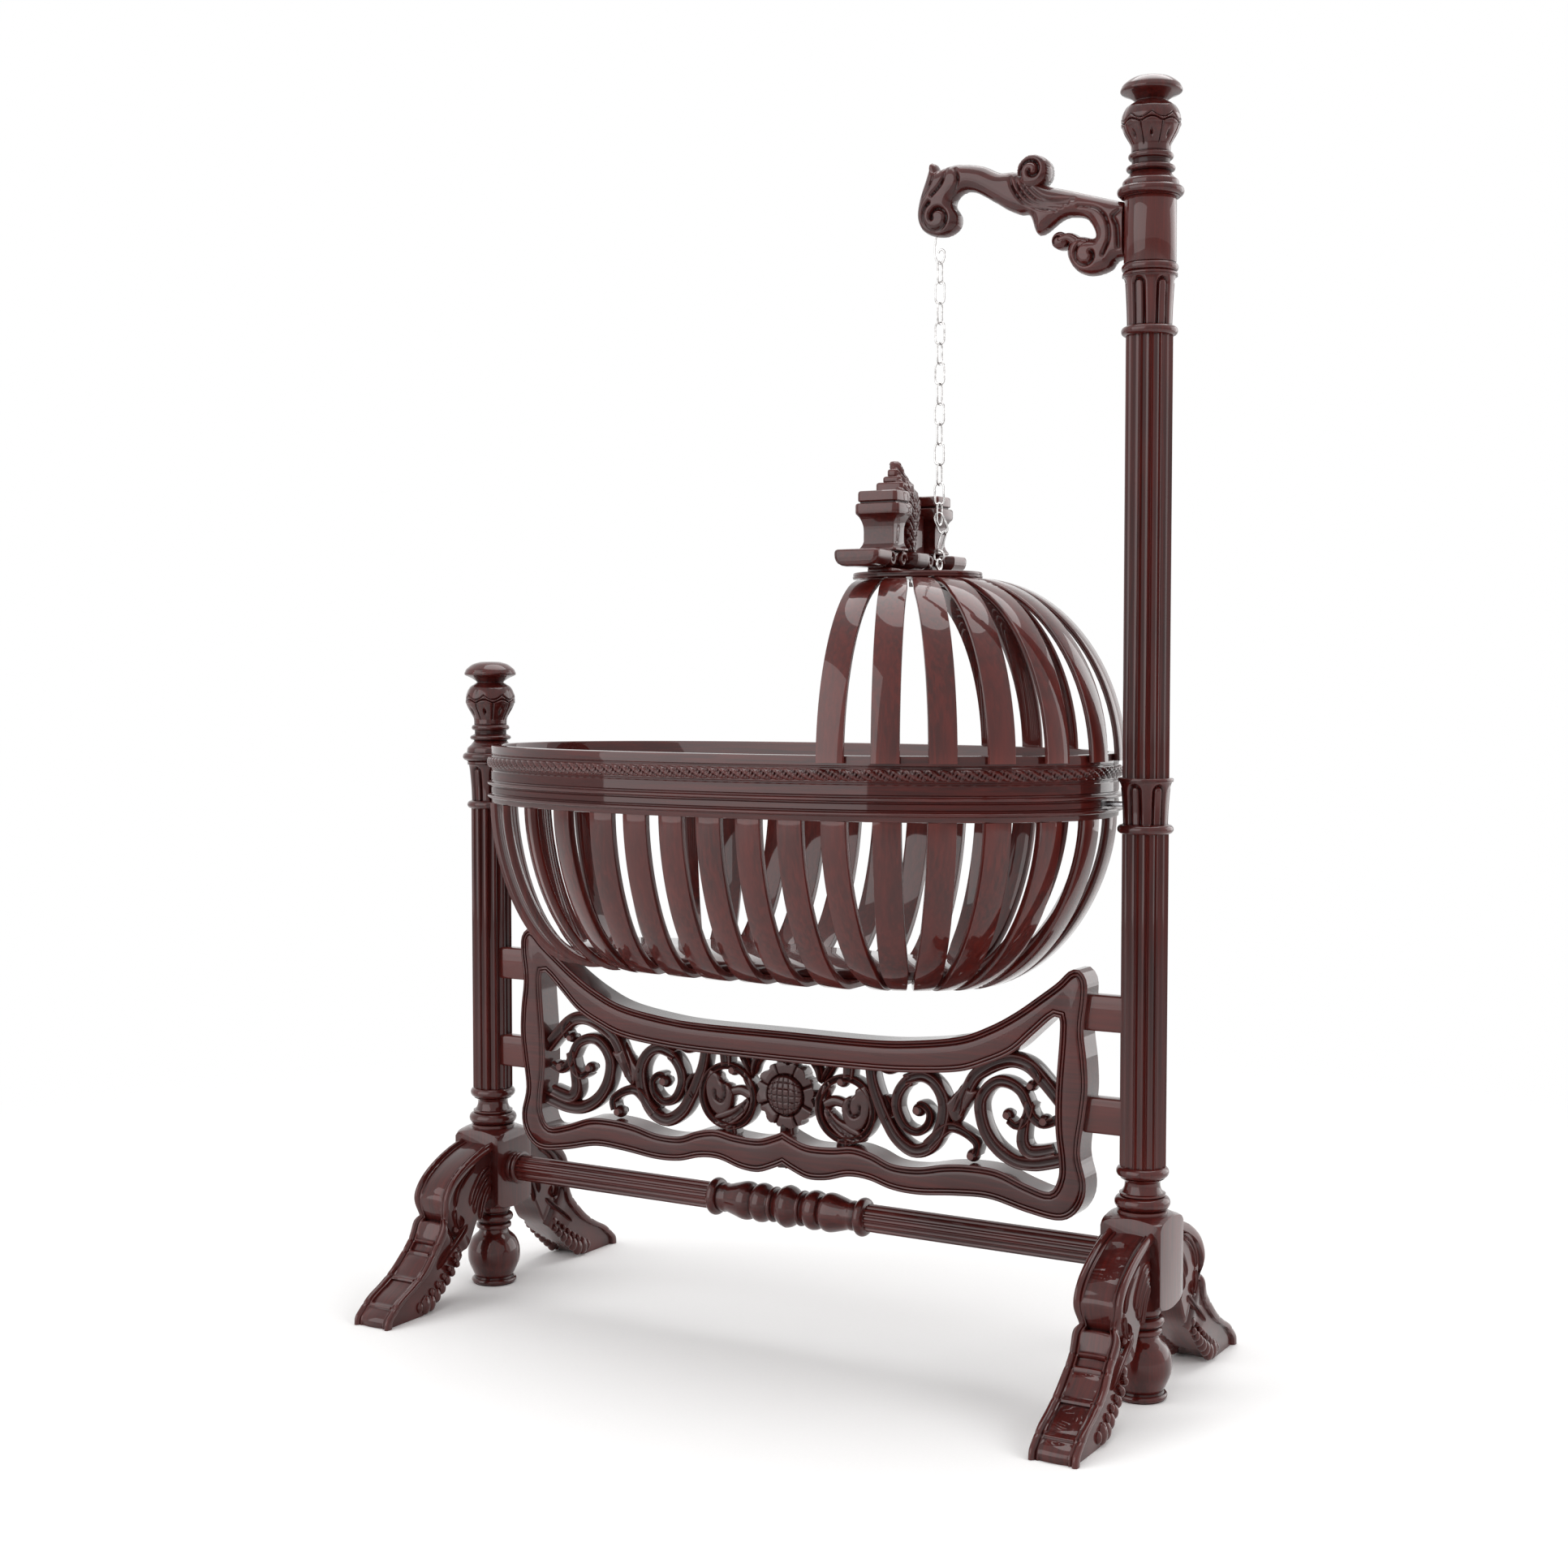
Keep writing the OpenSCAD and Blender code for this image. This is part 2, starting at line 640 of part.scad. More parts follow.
// Half outline of the frame's window, from the middle of the top to the middle of the bottom
function frame_inner() = let (w = panel_w - band_w, b = panel_bottom_z + band_w + 4,
    d = panel_dip_z - band_w, h = panel_horn_z - band_w * 1.5)
    smooth([[0, d], [w * 0.35, d + 1], [w * 0.52, d + 5], [w * 0.665, d + 13], [w * 0.76, d + 28],
        [w * 0.85, d + 48], [w * 0.925, d + 78], [w * 0.985, h - 2], [w * 1.01, h],
        [w * 1.012, h - 28], [w, h - 105], [w, h - 160], [w * 1.012, b + 36], [w * 1.01, b + 10],
        [w * 0.98, b - 11], [w * 0.9, b - 4], [w * 0.8, b + 11], [w * 0.7, b + 13],
        [w * 0.61, b + 9], [w * 0.515, b], [w * 0.42, b], [w * 0.345, b + 12], [w * 0.27, b + 18],
        [w * 0.19, b + 13], [w * 0.1, b + 12], [w * 0.04, b + 20], [0, b + 28]], 3);

function whole(half) = concat(half, [for (p = mirrored(half)) if (p[0] < -0.01) p]);

module panel_mortise(side, z) {
    reach = panel_w - panel_tenon_in - joint_gap;
    size = [post_x - shaft_d / 2 + panel_tenon_in + joint_gap - reach,
        panel_tenon_t + 2 * joint_gap, panel_tenon_h + 2 * joint_gap];
    translate([side > 0 ? reach : -reach - size[0], -size[1] / 2, z - size[2] / 2]) cube(size);
}

module panel_frame() {
    color(wood) difference() {
        plate(panel_t) difference() {
            polygon(whole(frame_outer()));
            polygon(whole(frame_inner()));
        }
        for (side = [-1, 1], z = [tenon_low_z, tenon_high_z]) panel_mortise(side, z);
    }
}

module panel_tenons() {
    l = post_x - shaft_d / 2 - panel_w + 2 * panel_tenon_in;
    color(wood) for (side = [-1, 1], z = [tenon_low_z, tenon_high_z])
        translate([side * (panel_w - panel_tenon_in + l / 2), 0, z])
            cube([l, panel_tenon_t, panel_tenon_h], center = true);
}

// The scrolls are drawn in a window of this half width and height, and follow the real one
scroll_reach = 453;
scroll_rise = 234;
function in_window(p) = [for (q = p) [q[0] * (panel_w - band_w) / scroll_reach,
    q[1] * (panel_dip_z - panel_bottom_z) / scroll_rise]];

// Width of the scrolls' bands in the real window
line_w = scroll_w * max((panel_w - band_w) / scroll_reach,
    (panel_dip_z - panel_bottom_z) / scroll_rise);

module curl(p, w_start, w_end) {
    band(in_window(p), w_start * line_w, w_end * line_w, scroll_t);
}

module knob(x, z, r, t = scroll_t) {
    q = in_window([[x, z]])[0];
    disc(q[0], q[1], r, t);
}

// Scrolls of one half: outer spiral, drop leaf, link, middle spiral and inner ring
module scroll_lines() {
    w = line_w;
    translate([0, 0, panel_bottom_z]) {
        curl([[302, 158], [318, 190], [336, 205], [360, 217], [383, 222], [407, 216], [430, 196],
            [452, 172]], 1.1, 0.9);
        curl([[460, 86], [440, 80], [413, 74], [383, 76], [353, 94], [335, 121], [329, 152],
            [338, 174], [356, 188], [376, 188], [394, 178], [405, 159], [413, 143], [428, 134],
            [444, 138]], 1, 0.8);
        curl([[405, 162], [400, 138], [386, 129], [372, 138]], 0.9, 0.7);
        knob(372, 141, w * 0.6);
        curl([[402, 132], [398, 104], [411, 92], [442, 96]], 0.9, 0.9);
        curl([[414, 214], [421, 200], [414, 189]], 0.7, 0.6);
        knob(410, 188, w * 0.5);
        plate(scroll_t) polygon(smooth(in_window([[270, 150], [288, 168], [306, 190], [312, 176],
            [328, 172], [312, 148], [291, 116], [276, 132], [270, 150]]), 3));
        curl([[250, 84], [268, 106], [284, 114], [306, 108], [324, 94], [322, 80]], 1, 0.7);
        knob(314, 76, w * 0.6);
        curl([[146, 192], [151, 168], [161, 141], [174, 114], [192, 88], [221, 72], [250, 84],
            [267, 116], [270, 149], [256, 175], [236, 183]], 1, 1);
        curl([[256, 175], [236, 183], [209, 175], [193, 157], [191, 131], [205, 108], [226, 102],
            [243, 113], [245, 131], [232, 139]], 1, 0.75);
        knob(226, 133, w * 0.65);
        difference() {
            knob(105, 122, ring_out * w / scroll_w);
            knob(105, 122, ring_out * w / scroll_w - w + 1, scroll_t + 2 * cut);
        }
        curl([[74, 160], [94, 142], [104, 120], [120, 98], [136, 88]], 0.8, 1.1);
        curl([[100, 72], [96, 46]], 1.4, 1.4);
        curl([[110, 172], [112, 204]], 1.4, 1.4);
    }
}

module frame_window(t) {
    plate(t) polygon(whole(frame_inner()));
}

module scrolls(side) {
    color(dark_wood) mirror([side < 0 ? 1 : 0, 0, 0]) intersection() {
        scroll_lines();
        frame_window(scroll_t);
    }
}

window_low_z = panel_bottom_z + band_w + 32;
window_high_z = panel_dip_z - band_w;
rosette_z = (window_low_z + window_high_z) / 2 + 1;
rosette_r = window_high_z - rosette_z - rosette_gap;

// Rosette: a disc with a boss on each face, held to the frame by a leaf above and below
module panel_rosette() {
    color(dark_wood) {
        disc(0, rosette_z, rosette_r, scroll_t);
        disc(0, rosette_z, boss_r, scroll_t + 2 * boss_h);
        intersection() {
            translate([-scroll_w, -scroll_t / 2, panel_bottom_z])
                cube([2 * scroll_w, scroll_t, panel_dip_z - panel_bottom_z]);
            frame_window(scroll_t);
        }
    }
}

// --- Arm, hooks and chain ---------------------------------------------------------

module arm_dowel_places() {
    for (z = [tenon_h + dowel_d, sleeve_h - 2 * dowel_d]) translate([0, 0, z]) rotate([0, -90, 0])
        children();
}

// Half outlines of the carved arm in front view, from the sleeve out to its hanging tip
arm_x = post_x - sleeve_d / 2;
arm_z = sleeve_z + sleeve_h / 2;
arm_back = smooth([[arm_x + 6, arm_z + 42], [arm_x - 27, arm_z + 51], [arm_x - 86, arm_z + 69],
    [arm_x - 118, arm_z + 79], [arm_x - 144, arm_z + 96], [arm_x - 166, arm_z + 103],
    [arm_x - 190, arm_z + 105], [arm_x - 216, arm_z + 117], [arm_x - 244, arm_z + 123],
    [chain_x + 20, hook_z + 135], [chain_x - 2, hook_z + 131], [chain_x - 13, hook_z + 141]], 3);
arm_front = smooth([[chain_x - 21, hook_z + 118], [chain_x - 31, hook_z + 90],
    [chain_x - 34, hook_z + 66], [chain_x - 26, hook_z + 47], [chain_x - 8, hook_z + 37],
    [chain_x + 14, hook_z + 35], [chain_x + 31, hook_z + 45], [chain_x + 34, hook_z + 62],
    [chain_x + 25, hook_z + 80], [chain_x + 36, hook_z + 93], [chain_x + 57, hook_z + 93],
    [arm_x - 197, arm_z + 63], [arm_x - 178, arm_z + 51], [arm_x - 158, arm_z + 42],
    [arm_x - 142, arm_z + 38], [arm_x - 128, arm_z + 10], [arm_x - 96, arm_z + 27],
    [arm_x - 76, arm_z + 30], [arm_x - 54, arm_z + 23], [arm_x - 43, arm_z - 1],
    [arm_x - 70, arm_z + 3], [arm_x - 84, arm_z - 12], [arm_x - 82, arm_z - 30],
    [arm_x - 68, arm_z - 47], [arm_x - 46, arm_z - 54], [arm_x - 22, arm_z - 49],
    [arm_x - 10, arm_z - 37], [arm_x + 6, arm_z - 36]], 3);

module carved_arm() {
    color(wood) difference() {
        union() {
            plate(arm_t) polygon(concat(arm_back, arm_front));
            disc(arm_x - 136, arm_z + 99, arm_scroll_r, arm_t);
            disc(arm_x - 95, arm_z - 1, arm_scroll_r * 0.45, arm_t);
            band([[arm_x - 96, arm_z], [arm_x - 80, arm_z + 2], [arm_x - 66, arm_z - 6]],
                13, 18, arm_t);
        }
        at_post(1, sleeve_z - cut) cylinder(d = sleeve_d + 2 * joint_gap, h = sleeve_h + 2 * cut);
        at_post(1, sleeve_z) arm_dowel_places() translate([0, 0, sleeve_d / 2 - cut])
            cylinder(d = dowel_d + 2 * joint_gap, h = dowel_l / 2 + 2 * cut);
        translate([chain_x - hook_bend_r, 0, hook_z + 30])
            cylinder(d = hook_wire_d + 2 * joint_gap, h = 18 + cut);
    }
}

module arm_dowels() {
    color(dark_wood) at_post(1, sleeve_z) arm_dowel_places()
        translate([0, 0, sleeve_d / 2 - dowel_l / 2]) cylinder(d = dowel_d, h = dowel_l);
}

// Part of a ring of wire that stands in the XZ plane, from angle a0 over sweep
module wire_bend(r, d, a0, sweep) {
    rotate([90, 0, 0]) rotate([0, 0, a0]) rotate_extrude(angle = sweep)
        translate([r, 0]) circle(d = d, $fn = 24);
}

module arm_hook() {
    bend_z = hook_z + hook_bend_r - hook_wire_d / 2;
    color(steel) translate([chain_x, 0, bend_z]) {
        wire_bend(hook_bend_r, hook_wire_d, 180, 180);
        translate([-hook_bend_r, 0, 0])
            cylinder(d = hook_wire_d, h = hook_z + 48 - bend_z, $fn = 24);
        translate([hook_bend_r, 0, 0]) cylinder(d = hook_wire_d, h = 3, $fn = 24);
        translate([hook_bend_r, 0, 3]) sphere(d = hook_wire_d, $fn = 24);
    }
}

// Straight-sided link that hangs from its top end, where the wire's outside is at z = 0
module link(l = link_l) {
    r = (link_w - link_wire_d) / 2;
    run = l - link_w;
    color(steel) translate([0, 0, -l / 2]) {
        translate([0, 0, run / 2]) wire_bend(r, link_wire_d, 0, 180);
        translate([0, 0, -run / 2]) wire_bend(r, link_wire_d, 180, 180);
        for (s = [-1, 1]) translate([s * r, 0, -run / 2])
            cylinder(d = link_wire_d, h = run, $fn = 24);
    }
}

link_pitch = link_l - 2 * link_wire_d - touch_gap;
chain_top_z = hook_z + touch_gap + link_wire_d;
// An odd number of links, so that the first and the last both lie across the hooks
link_count = 2 * floor((chain_top_z - link_l - base_z - slack_h) / (2 * link_pitch)) + 1;
chain_foot_z = chain_top_z - (link_count - 1) * link_pitch - link_l;
// The first slack link rides this far above the last link's foot, so that a swing can draw it down
slack_play = 15.8;
// and lies this far towards the foot, so that its side wire clears the last link's foot
slack_shift = 4;
slack_z = chain_foot_z + link_wire_d + slack_play + link_wire_d / 2;

module chain_links() {
    for (i = [0 : link_count - 1]) translate([chain_x, 0, chain_top_z - i * link_pitch])
        rotate([0, 0, i % 2 == 0 ? 90 : 0]) link();
}

// Ends of the slack links' middle lines, from the hanging chain down to the hood hook
function down(a) = [sin(a), -cos(a)];
link_reach = link_l - link_wire_d;
hook_step = link_wire_d + touch_gap;
slack_a = [chain_x - slack_shift, slack_z - link_wire_d / 2];
slack_a_foot = slack_a + link_reach * down(slack_tilt);
slack_b = slack_a_foot - hook_step * down(slack_tilt);
slack_b_foot = slack_b + link_reach * down(-slack_back_tilt);
ring_r = 8;
slack_c = slack_b_foot - hook_step * down(-slack_back_tilt);
slack_c_foot = slack_c + [0, -2 * ring_r];

module slack_links() {
    color(steel) {
        translate([slack_a[0], 0, slack_a[1]]) rotate([0, -slack_tilt, 0])
            translate([0, 0, link_wire_d / 2]) link();
        translate([slack_b[0], 0, slack_b[1]]) rotate([0, slack_back_tilt, 0]) rotate([0, 0, 90])
            translate([0, 0, link_wire_d / 2]) link();
        translate([slack_c[0], 0, slack_c[1] - ring_r]) rotate([90, 0, 0])
            rotate_extrude() translate([ring_r, 0]) circle(d = link_wire_d, $fn = 24);
    }
}

// Eye screwed into the hood's plate, which holds the last slack ring
shank_d = hook_wire_d + 0.5;

module hood_hook() {
    eye_top = slack_c_foot[1] + link_wire_d / 2 + hook_wire_d / 2 + touch_gap;
    eye_z = eye_top - ring_r;
    color(steel) translate([slack_c_foot[0], 0, 0]) {
        translate([0, 0, eye_z]) rotate([0, 90, 0]) rotate_extrude() translate([ring_r, 0])
            circle(d = hook_wire_d, $fn = 24);
        translate([0, 0, base_z - plate_t / 2])
            cylinder(d = shank_d, h = eye_z - ring_r - base_z + plate_t / 2, $fn = 24);
    }
}

// --- Pivots -----------------------------------------------------------------------

// The head of a bolt lies inside the basket, its shank runs through the bush into the cup
bush_flange_t = 1.5;
bush_flange_d = 16;
head_gap = 0.5;
bolt_head_h = 5;
inner_face = rim_a - rim_t;

module along_pivot(side) {
    translate([0, 0, pivot_z]) rotate([0, side * 90, 0]) children();
}

module pivot_bolt(side) {
    head_end = inner_face - bush_flange_t - head_gap;
    cup_end = post_x - cup_lip_d / 2 + bolt_in_cup;
    color(steel) along_pivot(side) {
        translate([0, 0, head_end]) cylinder(d = bolt_d, h = cup_end - head_end);
        translate([0, 0, head_end]) turned([[0, -bolt_head_h], [bolt_head_d * 0.22, -bolt_head_h],
            [bolt_head_d * 0.4, -bolt_head_h * 0.65], [bolt_head_d / 2, -bolt_head_h * 0.2],
            [bolt_head_d / 2, 0], [0, 0]]);
    }
}

module pivot_bush(side) {
    color(dark_steel) along_pivot(side) difference() {
        union() {
            translate([0, 0, inner_face - bush_flange_t]) cylinder(d = bush_flange_d, h = bush_flange_t);
            translate([0, 0, inner_face]) cylinder(d = bush_d, h = rim_t - pivot_plate_t);
        }
        translate([0, 0, inner_face - bush_flange_t - cut])
            cylinder(d = bolt_d + 2 * running_gap, h = rim_t + bush_flange_t + 2 * cut);
    }
}

module pivot_plate(side) {
    color(dark_steel) along_pivot(side) difference() {
        translate([-pivot_plate_h / 2, -pivot_plate_l / 2, rim_a - pivot_plate_t])
            cube([pivot_plate_h, pivot_plate_l, pivot_plate_t]);
        translate([0, 0, rim_a - pivot_plate_t - cut])
            cylinder(d = bolt_d + 1, h = pivot_plate_t + 2 * cut);
    }
}

// --- Rim ----------------------------------------------------------------------------

rim_steps = 96;

module rim_band() {
    color(wood) difference() {
        translate([0, 0, rim_z]) linear_extrude(rim_h) difference() {
            polygon(oval(rim_a, rim_b, rim_e, rim_steps));
            polygon(oval(rim_a - rim_t, rim_b - rim_t, rim_e, rim_steps));
        }
        for (side = [-1, 1]) along_pivot(side) {
            translate([0, 0, inner_face - cut])
                cylinder(d = bush_d + 2 * joint_gap, h = rim_t + 2 * cut);
            translate([-pivot_plate_h / 2 - joint_gap, -pivot_plate_l / 2 - joint_gap,
                rim_a - pivot_plate_t])
                cube([pivot_plate_h + 2 * joint_gap, pivot_plate_l + 2 * joint_gap,
                    pivot_plate_t + cut]);
            translate([0, 0, inner_face - cut]) cylinder(d = bush_flange_d + 1, h = cut);
        }
    }
}

// Moulding with a rounded face that runs round the rim's outside at height z
module rim_moulding(z, h, out) {
    face = [for (k = [0 : 4]) let (a = -90 + 45 * k) [out * cos(a), h / 2 * sin(a)]];
    skin([for (i = [0 : rim_steps - 1]) let (t = 360 * i / rim_steps)
        [for (f = face) [oval_x(t, rim_a + f[0], rim_e), oval_y(t, rim_b + f[0], rim_e),
            rim_z + z + f[1]]]], closed = true);
}

module rope_moulding() {
    color(wood) rim_moulding(rope_z, rope_h, rope_out);
}

module rim_beads() {
    color(wood) {
        rim_moulding(bead_low_z, bead_h, bead_out);
        rim_moulding(bead_high_z, bead_h, bead_out);
    }
}

// --- Slats ----------------------------------------------------------------------------

// Length along a quarter of the rim from its end, against the angle of the point
function rim_point(t) = [oval_x(t, rim_a, rim_e), oval_y(t, rim_b, rim_e)];
function quarter_arc(t, step, s) = t > 90 ? [] : concat([[s, t]],
    quarter_arc(t + step, step, s + norm(rim_point(t + step) - rim_point(t))));
arc_table = quarter_arc(0, 1.5, 0);
function angle_at_x(x) = acos(pow(abs(x) / rim_a, rim_e / 2));
function arc_at_angle(t) = lookup(t, [for (r = arc_table) [r[1], r[0]]]);

// Angles of the fan slats between the side slats, which end at x, and the rim's end
function fan_angles(x) = let (s = arc_at_angle(angle_at_x(x)), step = s / (fan_slats + 0.5))
    [for (j = [1 : fan_slats]) lookup(s - j * step, arc_table)];

side_pitch = side_slat_span / (side_slats - 1);
last_side_x = side_slat_x + side_slat_span;
head_axis_x = last_side_x - 12;
foot_axis_x = side_slat_x + 8;

// Every slat of the front half: plan point on the rim, and the point that its plane passes
front_roots = concat(
    [for (i = [fan_slats - 1 : -1 : 0]) let (t = 180 + fan_angles(side_slat_x)[i])
        [[oval_x(t, rim_a, rim_e), oval_y(t, rim_b, rim_e)], [foot_axis_x, 0]]],
    [for (i = [0 : side_slats - 1]) let (x = side_slat_x + i * side_pitch)
        [[x, -rim_b * pow(1 - pow(abs(x) / rim_a, rim_e), 1 / rim_e)], [x, 0]]],
    [for (i = [0 : fan_slats - 1]) let (t = 360 - fan_angles(last_side_x)[i])
        [[oval_x(t, rim_a, rim_e), oval_y(t, rim_b, rim_e)], [head_axis_x, 0]]]);
slat_total = len(front_roots);

// Distance from the anchor along direction d to the basket's level curve
function reach(anchor, d, a, b, cx, lo, hi, n) = n == 0 ? (lo + hi) / 2 :
    let (m = (lo + hi) / 2, p = anchor + m * d,
        v = pow(abs(p[0] - cx) / a, rim_e) + pow(abs(p[1]) / b, rim_e))
    v > 1 ? reach(anchor, d, a, b, cx, lo, m, n - 1) : reach(anchor, d, a, b, cx, m, hi, n - 1);

// Outside of a slat at angle s down the basket, where 0 is the rim and 90 is the bottom
function basket_point(root, s) =
    let (d = (root[0] - root[1]) / norm(root[0] - root[1]),
        f = 1 - pow(cos(s), basket_full),
        a = (rim_a - slat_inset) * (1 - f) + floor_a * f,
        b = (rim_b - slat_inset) * (1 - f) + floor_b * f,
        r = reach(root[1], d, a, b, -floor_shift * f, 0, rim_a, 24),
        p = root[1] + r * d)
    [p[0], p[1], rim_z - basket_h * pow(sin(s), basket_full)];

slat_steps = 9;
function slat_stations(root, flat) = let (
        foot = basket_point(root, 90),
        d = (root[0] - root[1]) / norm(root[0] - root[1]),
        run = norm([foot[0], foot[1]] - root[1]))
    concat([for (k = [0 : slat_steps]) basket_point(root, 90 * k / slat_steps)],
        [[foot[0] - d[0] * min(flat, run - 8), foot[1] - d[1] * min(flat, run - 8), foot[2]]]);

// Slat swept along its stations; w holds its width at each station, and its level end
// thickens upwards where up is 1 and downwards where it is -1
module slat(stations, plane, w, t, up) {
    m = len(stations) - 1;
    across = [-plane[1], plane[0], 0] * up;
    skin([for (k = [0 : m]) let (
            d = stations[min(k + 1, m)] - stations[max(k - 1, 0)],
            run = k == 0 ? [0, 0, d[2]] : k == m ? [d[0], d[1], 0] : d,
            u = run / norm(run),
            inward = cross(u, across) * (u[2] < 0 ? 1 : -1),
            in = abs(u[2]) < 0.02 ? [0, 0, up]
                : inward * (inward * [plane[0], plane[1], 0] > 0 ? -1 : 1))
        [stations[k] - across * w[k] / 2, stations[k] + across * w[k] / 2,
            stations[k] + across * w[k] / 2 + in * t, stations[k] - across * w[k] / 2 + in * t]]);
}

function plane_of(root) = (root[0] - root[1]) / norm(root[0] - root[1]);

// Room between the middles of slats i and j at station k, square to each slat's plane
function room(a, b, plane_a, plane_b) = min(abs(cross(plane_a, [a[0] - b[0], a[1] - b[1]])),
    abs(cross(plane_b, [a[0] - b[0], a[1] - b[1]])));
function gap_to(i, j, k, flat) = 0.94 * room(slat_stations(front_roots[i], flat)[k],
    slat_stations(front_roots[j], flat)[k], plane_of(front_roots[i]), plane_of(front_roots[j]));

module basket_slats(first, last, flat) {
    color(wood) for (i = [first : last]) {
        st = slat_stations(front_roots[i], flat);
        w = [for (k = [0 : len(st) - 1]) min(slat_w,
            (i > 0 ? gap_to(i, i - 1, k, flat) : 2 * abs(st[k][1])) - fan_gap,
            (i < slat_total - 1 ? gap_to(i, i + 1, k, flat) : 2 * abs(st[k][1])) - fan_gap)];
        slat(st, plane_of(front_roots[i]), w, slat_t, 1);
    }
}

fan_flat = 26;
side_flat = 400;
first_side = fan_slats;
last_side = fan_slats + side_slats - 1;

module both_sides() {
    children();
    mirror([0, 1, 0]) children();
}

module bottom_board() {
    inset = 14;
    color(wood) translate([-floor_shift, 0, floor_z + slat_t])
        linear_extrude(board_t) polygon(oval(floor_a - inset, floor_b - inset, rim_e, 64));
}

// --- Hood -----------------------------------------------------------------------------

hood_foot_z = rim_top_z - hood_lap;
hood_steps = 9;
hood_spread = 1.35;

// Outside of hood slat i (0 is the front one) at angle s up from the rim
function hood_root(i) = front_roots[last_side + i][0];
function hood_top(i) = let (r = hood_root(i), a = hood_spread * atan2(r[1], r[0] - plate_x + 46))
    [plate_x + (plate_a - 4) * cos(a), (plate_b - 4) * sin(a)];
function hood_out(i) = let (r = hood_root(i), n = [pow(abs(r[0]) / rim_a, rim_e - 1) / rim_a * sign(r[0]),
    -pow(abs(r[1]) / rim_b, rim_e - 1) / rim_b]) n / norm(n);
// A slat that doesn't face the rim squarely stands out until its nearer edge clears the rim
function hood_base(i) = let (d = hood_root(i) - hood_top(i),
        turn = asin(abs(cross(hood_out(i), d)) / norm(d)))
    hood_root(i) + hood_out(i) * (touch_gap + hood_slat_t * cos(turn) + slat_w / 2 * sin(turn));
function hood_point(i, s) = let (f = 1 - pow(cos(s), hood_full),
        p = hood_base(i) * (1 - f) + hood_top(i) * f)
    [p[0], p[1], hood_foot_z + (plate_z - hood_foot_z) * pow(sin(s), hood_full)];
function hood_plane(i) = let (d = hood_base(i) - hood_top(i)) d / norm(d);
function hood_stations(i) = let (top = hood_point(i, 90), d = hood_plane(i))
    concat([for (k = [0 : hood_steps]) hood_point(i, 90 * k / hood_steps)],
        [[top[0] - d[0] * 22, top[1] - d[1] * 22, top[2]]]);
function hood_gap(i, j, k) = 0.94 * room(hood_stations(i)[k], hood_stations(j)[k],
    hood_plane(i), hood_plane(j));

module hood_slat(i) {
    st = hood_stations(i);
    w = [for (k = [0 : len(st) - 1]) min(slat_w,
        (i > 0 ? hood_gap(i, i - 1, k) : slat_w + fan_gap) - fan_gap,
        (i < fan_slats ? hood_gap(i, i + 1, k) : 2 * abs(st[k][1])) - fan_gap)];
    slat(st, hood_plane(i), w, hood_slat_t, -1);
}

module hood_slats() {
    color(wood) both_sides() for (i = [0 : fan_slats]) hood_slat(i);
}

module hood_plate() {
    color(wood) translate([plate_x, 0, plate_z]) difference() {
        linear_extrude(plate_t) polygon(oval(plate_a, plate_b, 2, 64));
        translate([slack_c_foot[0] - plate_x, 0, plate_t / 2])
            cylinder(d = shank_d + 2 * joint_gap, h = plate_t, $fn = 24);
    }
}

// --- Crown ----------------------------------------------------------------------------

base_back = 4;
base_end_r = crown_base_h / 2;

// Slab with rounded ends on a low plinth
module crown_base() {
    d = crown_d - 2;
    color(wood) {
        translate([crown_x - d * 0.3, -crown_y * 0.8, base_z]) cube([d * 0.6, crown_y * 1.6, 4]);
        translate([crown_x - base_back, 0, crown_z + base_end_r]) {
            cube([d, 2 * (crown_base_y - base_end_r), crown_base_h], center = true);
            for (s = [-1, 1]) translate([0, s * (crown_base_y - base_end_r), 0])
                rotate([0, 90, 0]) cylinder(r = base_end_r, h = d, center = true);
        }
    }
}

module crown_step(z, h, grow) {
    d = crown_d - 14 + 2 * grow;
    w = pilaster_w + 2 * grow;
    for (s = [-1, 1])
        translate([crown_x - d / 2, s * (crown_y - 6 - pilaster_w / 2) - w / 2, z]) cube([d, w, h]);
}

module crown_pilasters() {
    color(wood) {
        crown_step(pilaster_z, pilaster_h * 0.1, 0);
        crown_step(pilaster_z + pilaster_h * 0.1, pilaster_h * 0.5, -4);
        crown_step(pilaster_z + pilaster_h * 0.6, pilaster_h * 0.2, -1);
        crown_step(pilaster_z + pilaster_h * 0.8, pilaster_h * 0.2, 3);
        crown_step(pilaster_z + pilaster_h, cornice_h, 6);
        crown_step(pilaster_z + pilaster_h + cornice_h, cornice_h, 3);
    }
}

panel_half = crown_y - 6 - pilaster_w - 6;
crown_panel_t = 24;
crown_panel_h = pilaster_h + 6;

module crown_panel() {
    color(dark_wood) {
        for (q = [[6, pilaster_h * 0.8], [3, pilaster_h], [0, crown_panel_h]])
            translate([crown_x - crown_panel_t / 2, -panel_half - q[0], pilaster_z])
                cube([crown_panel_t, 2 * (panel_half + q[0]), q[1]]);
    }
}

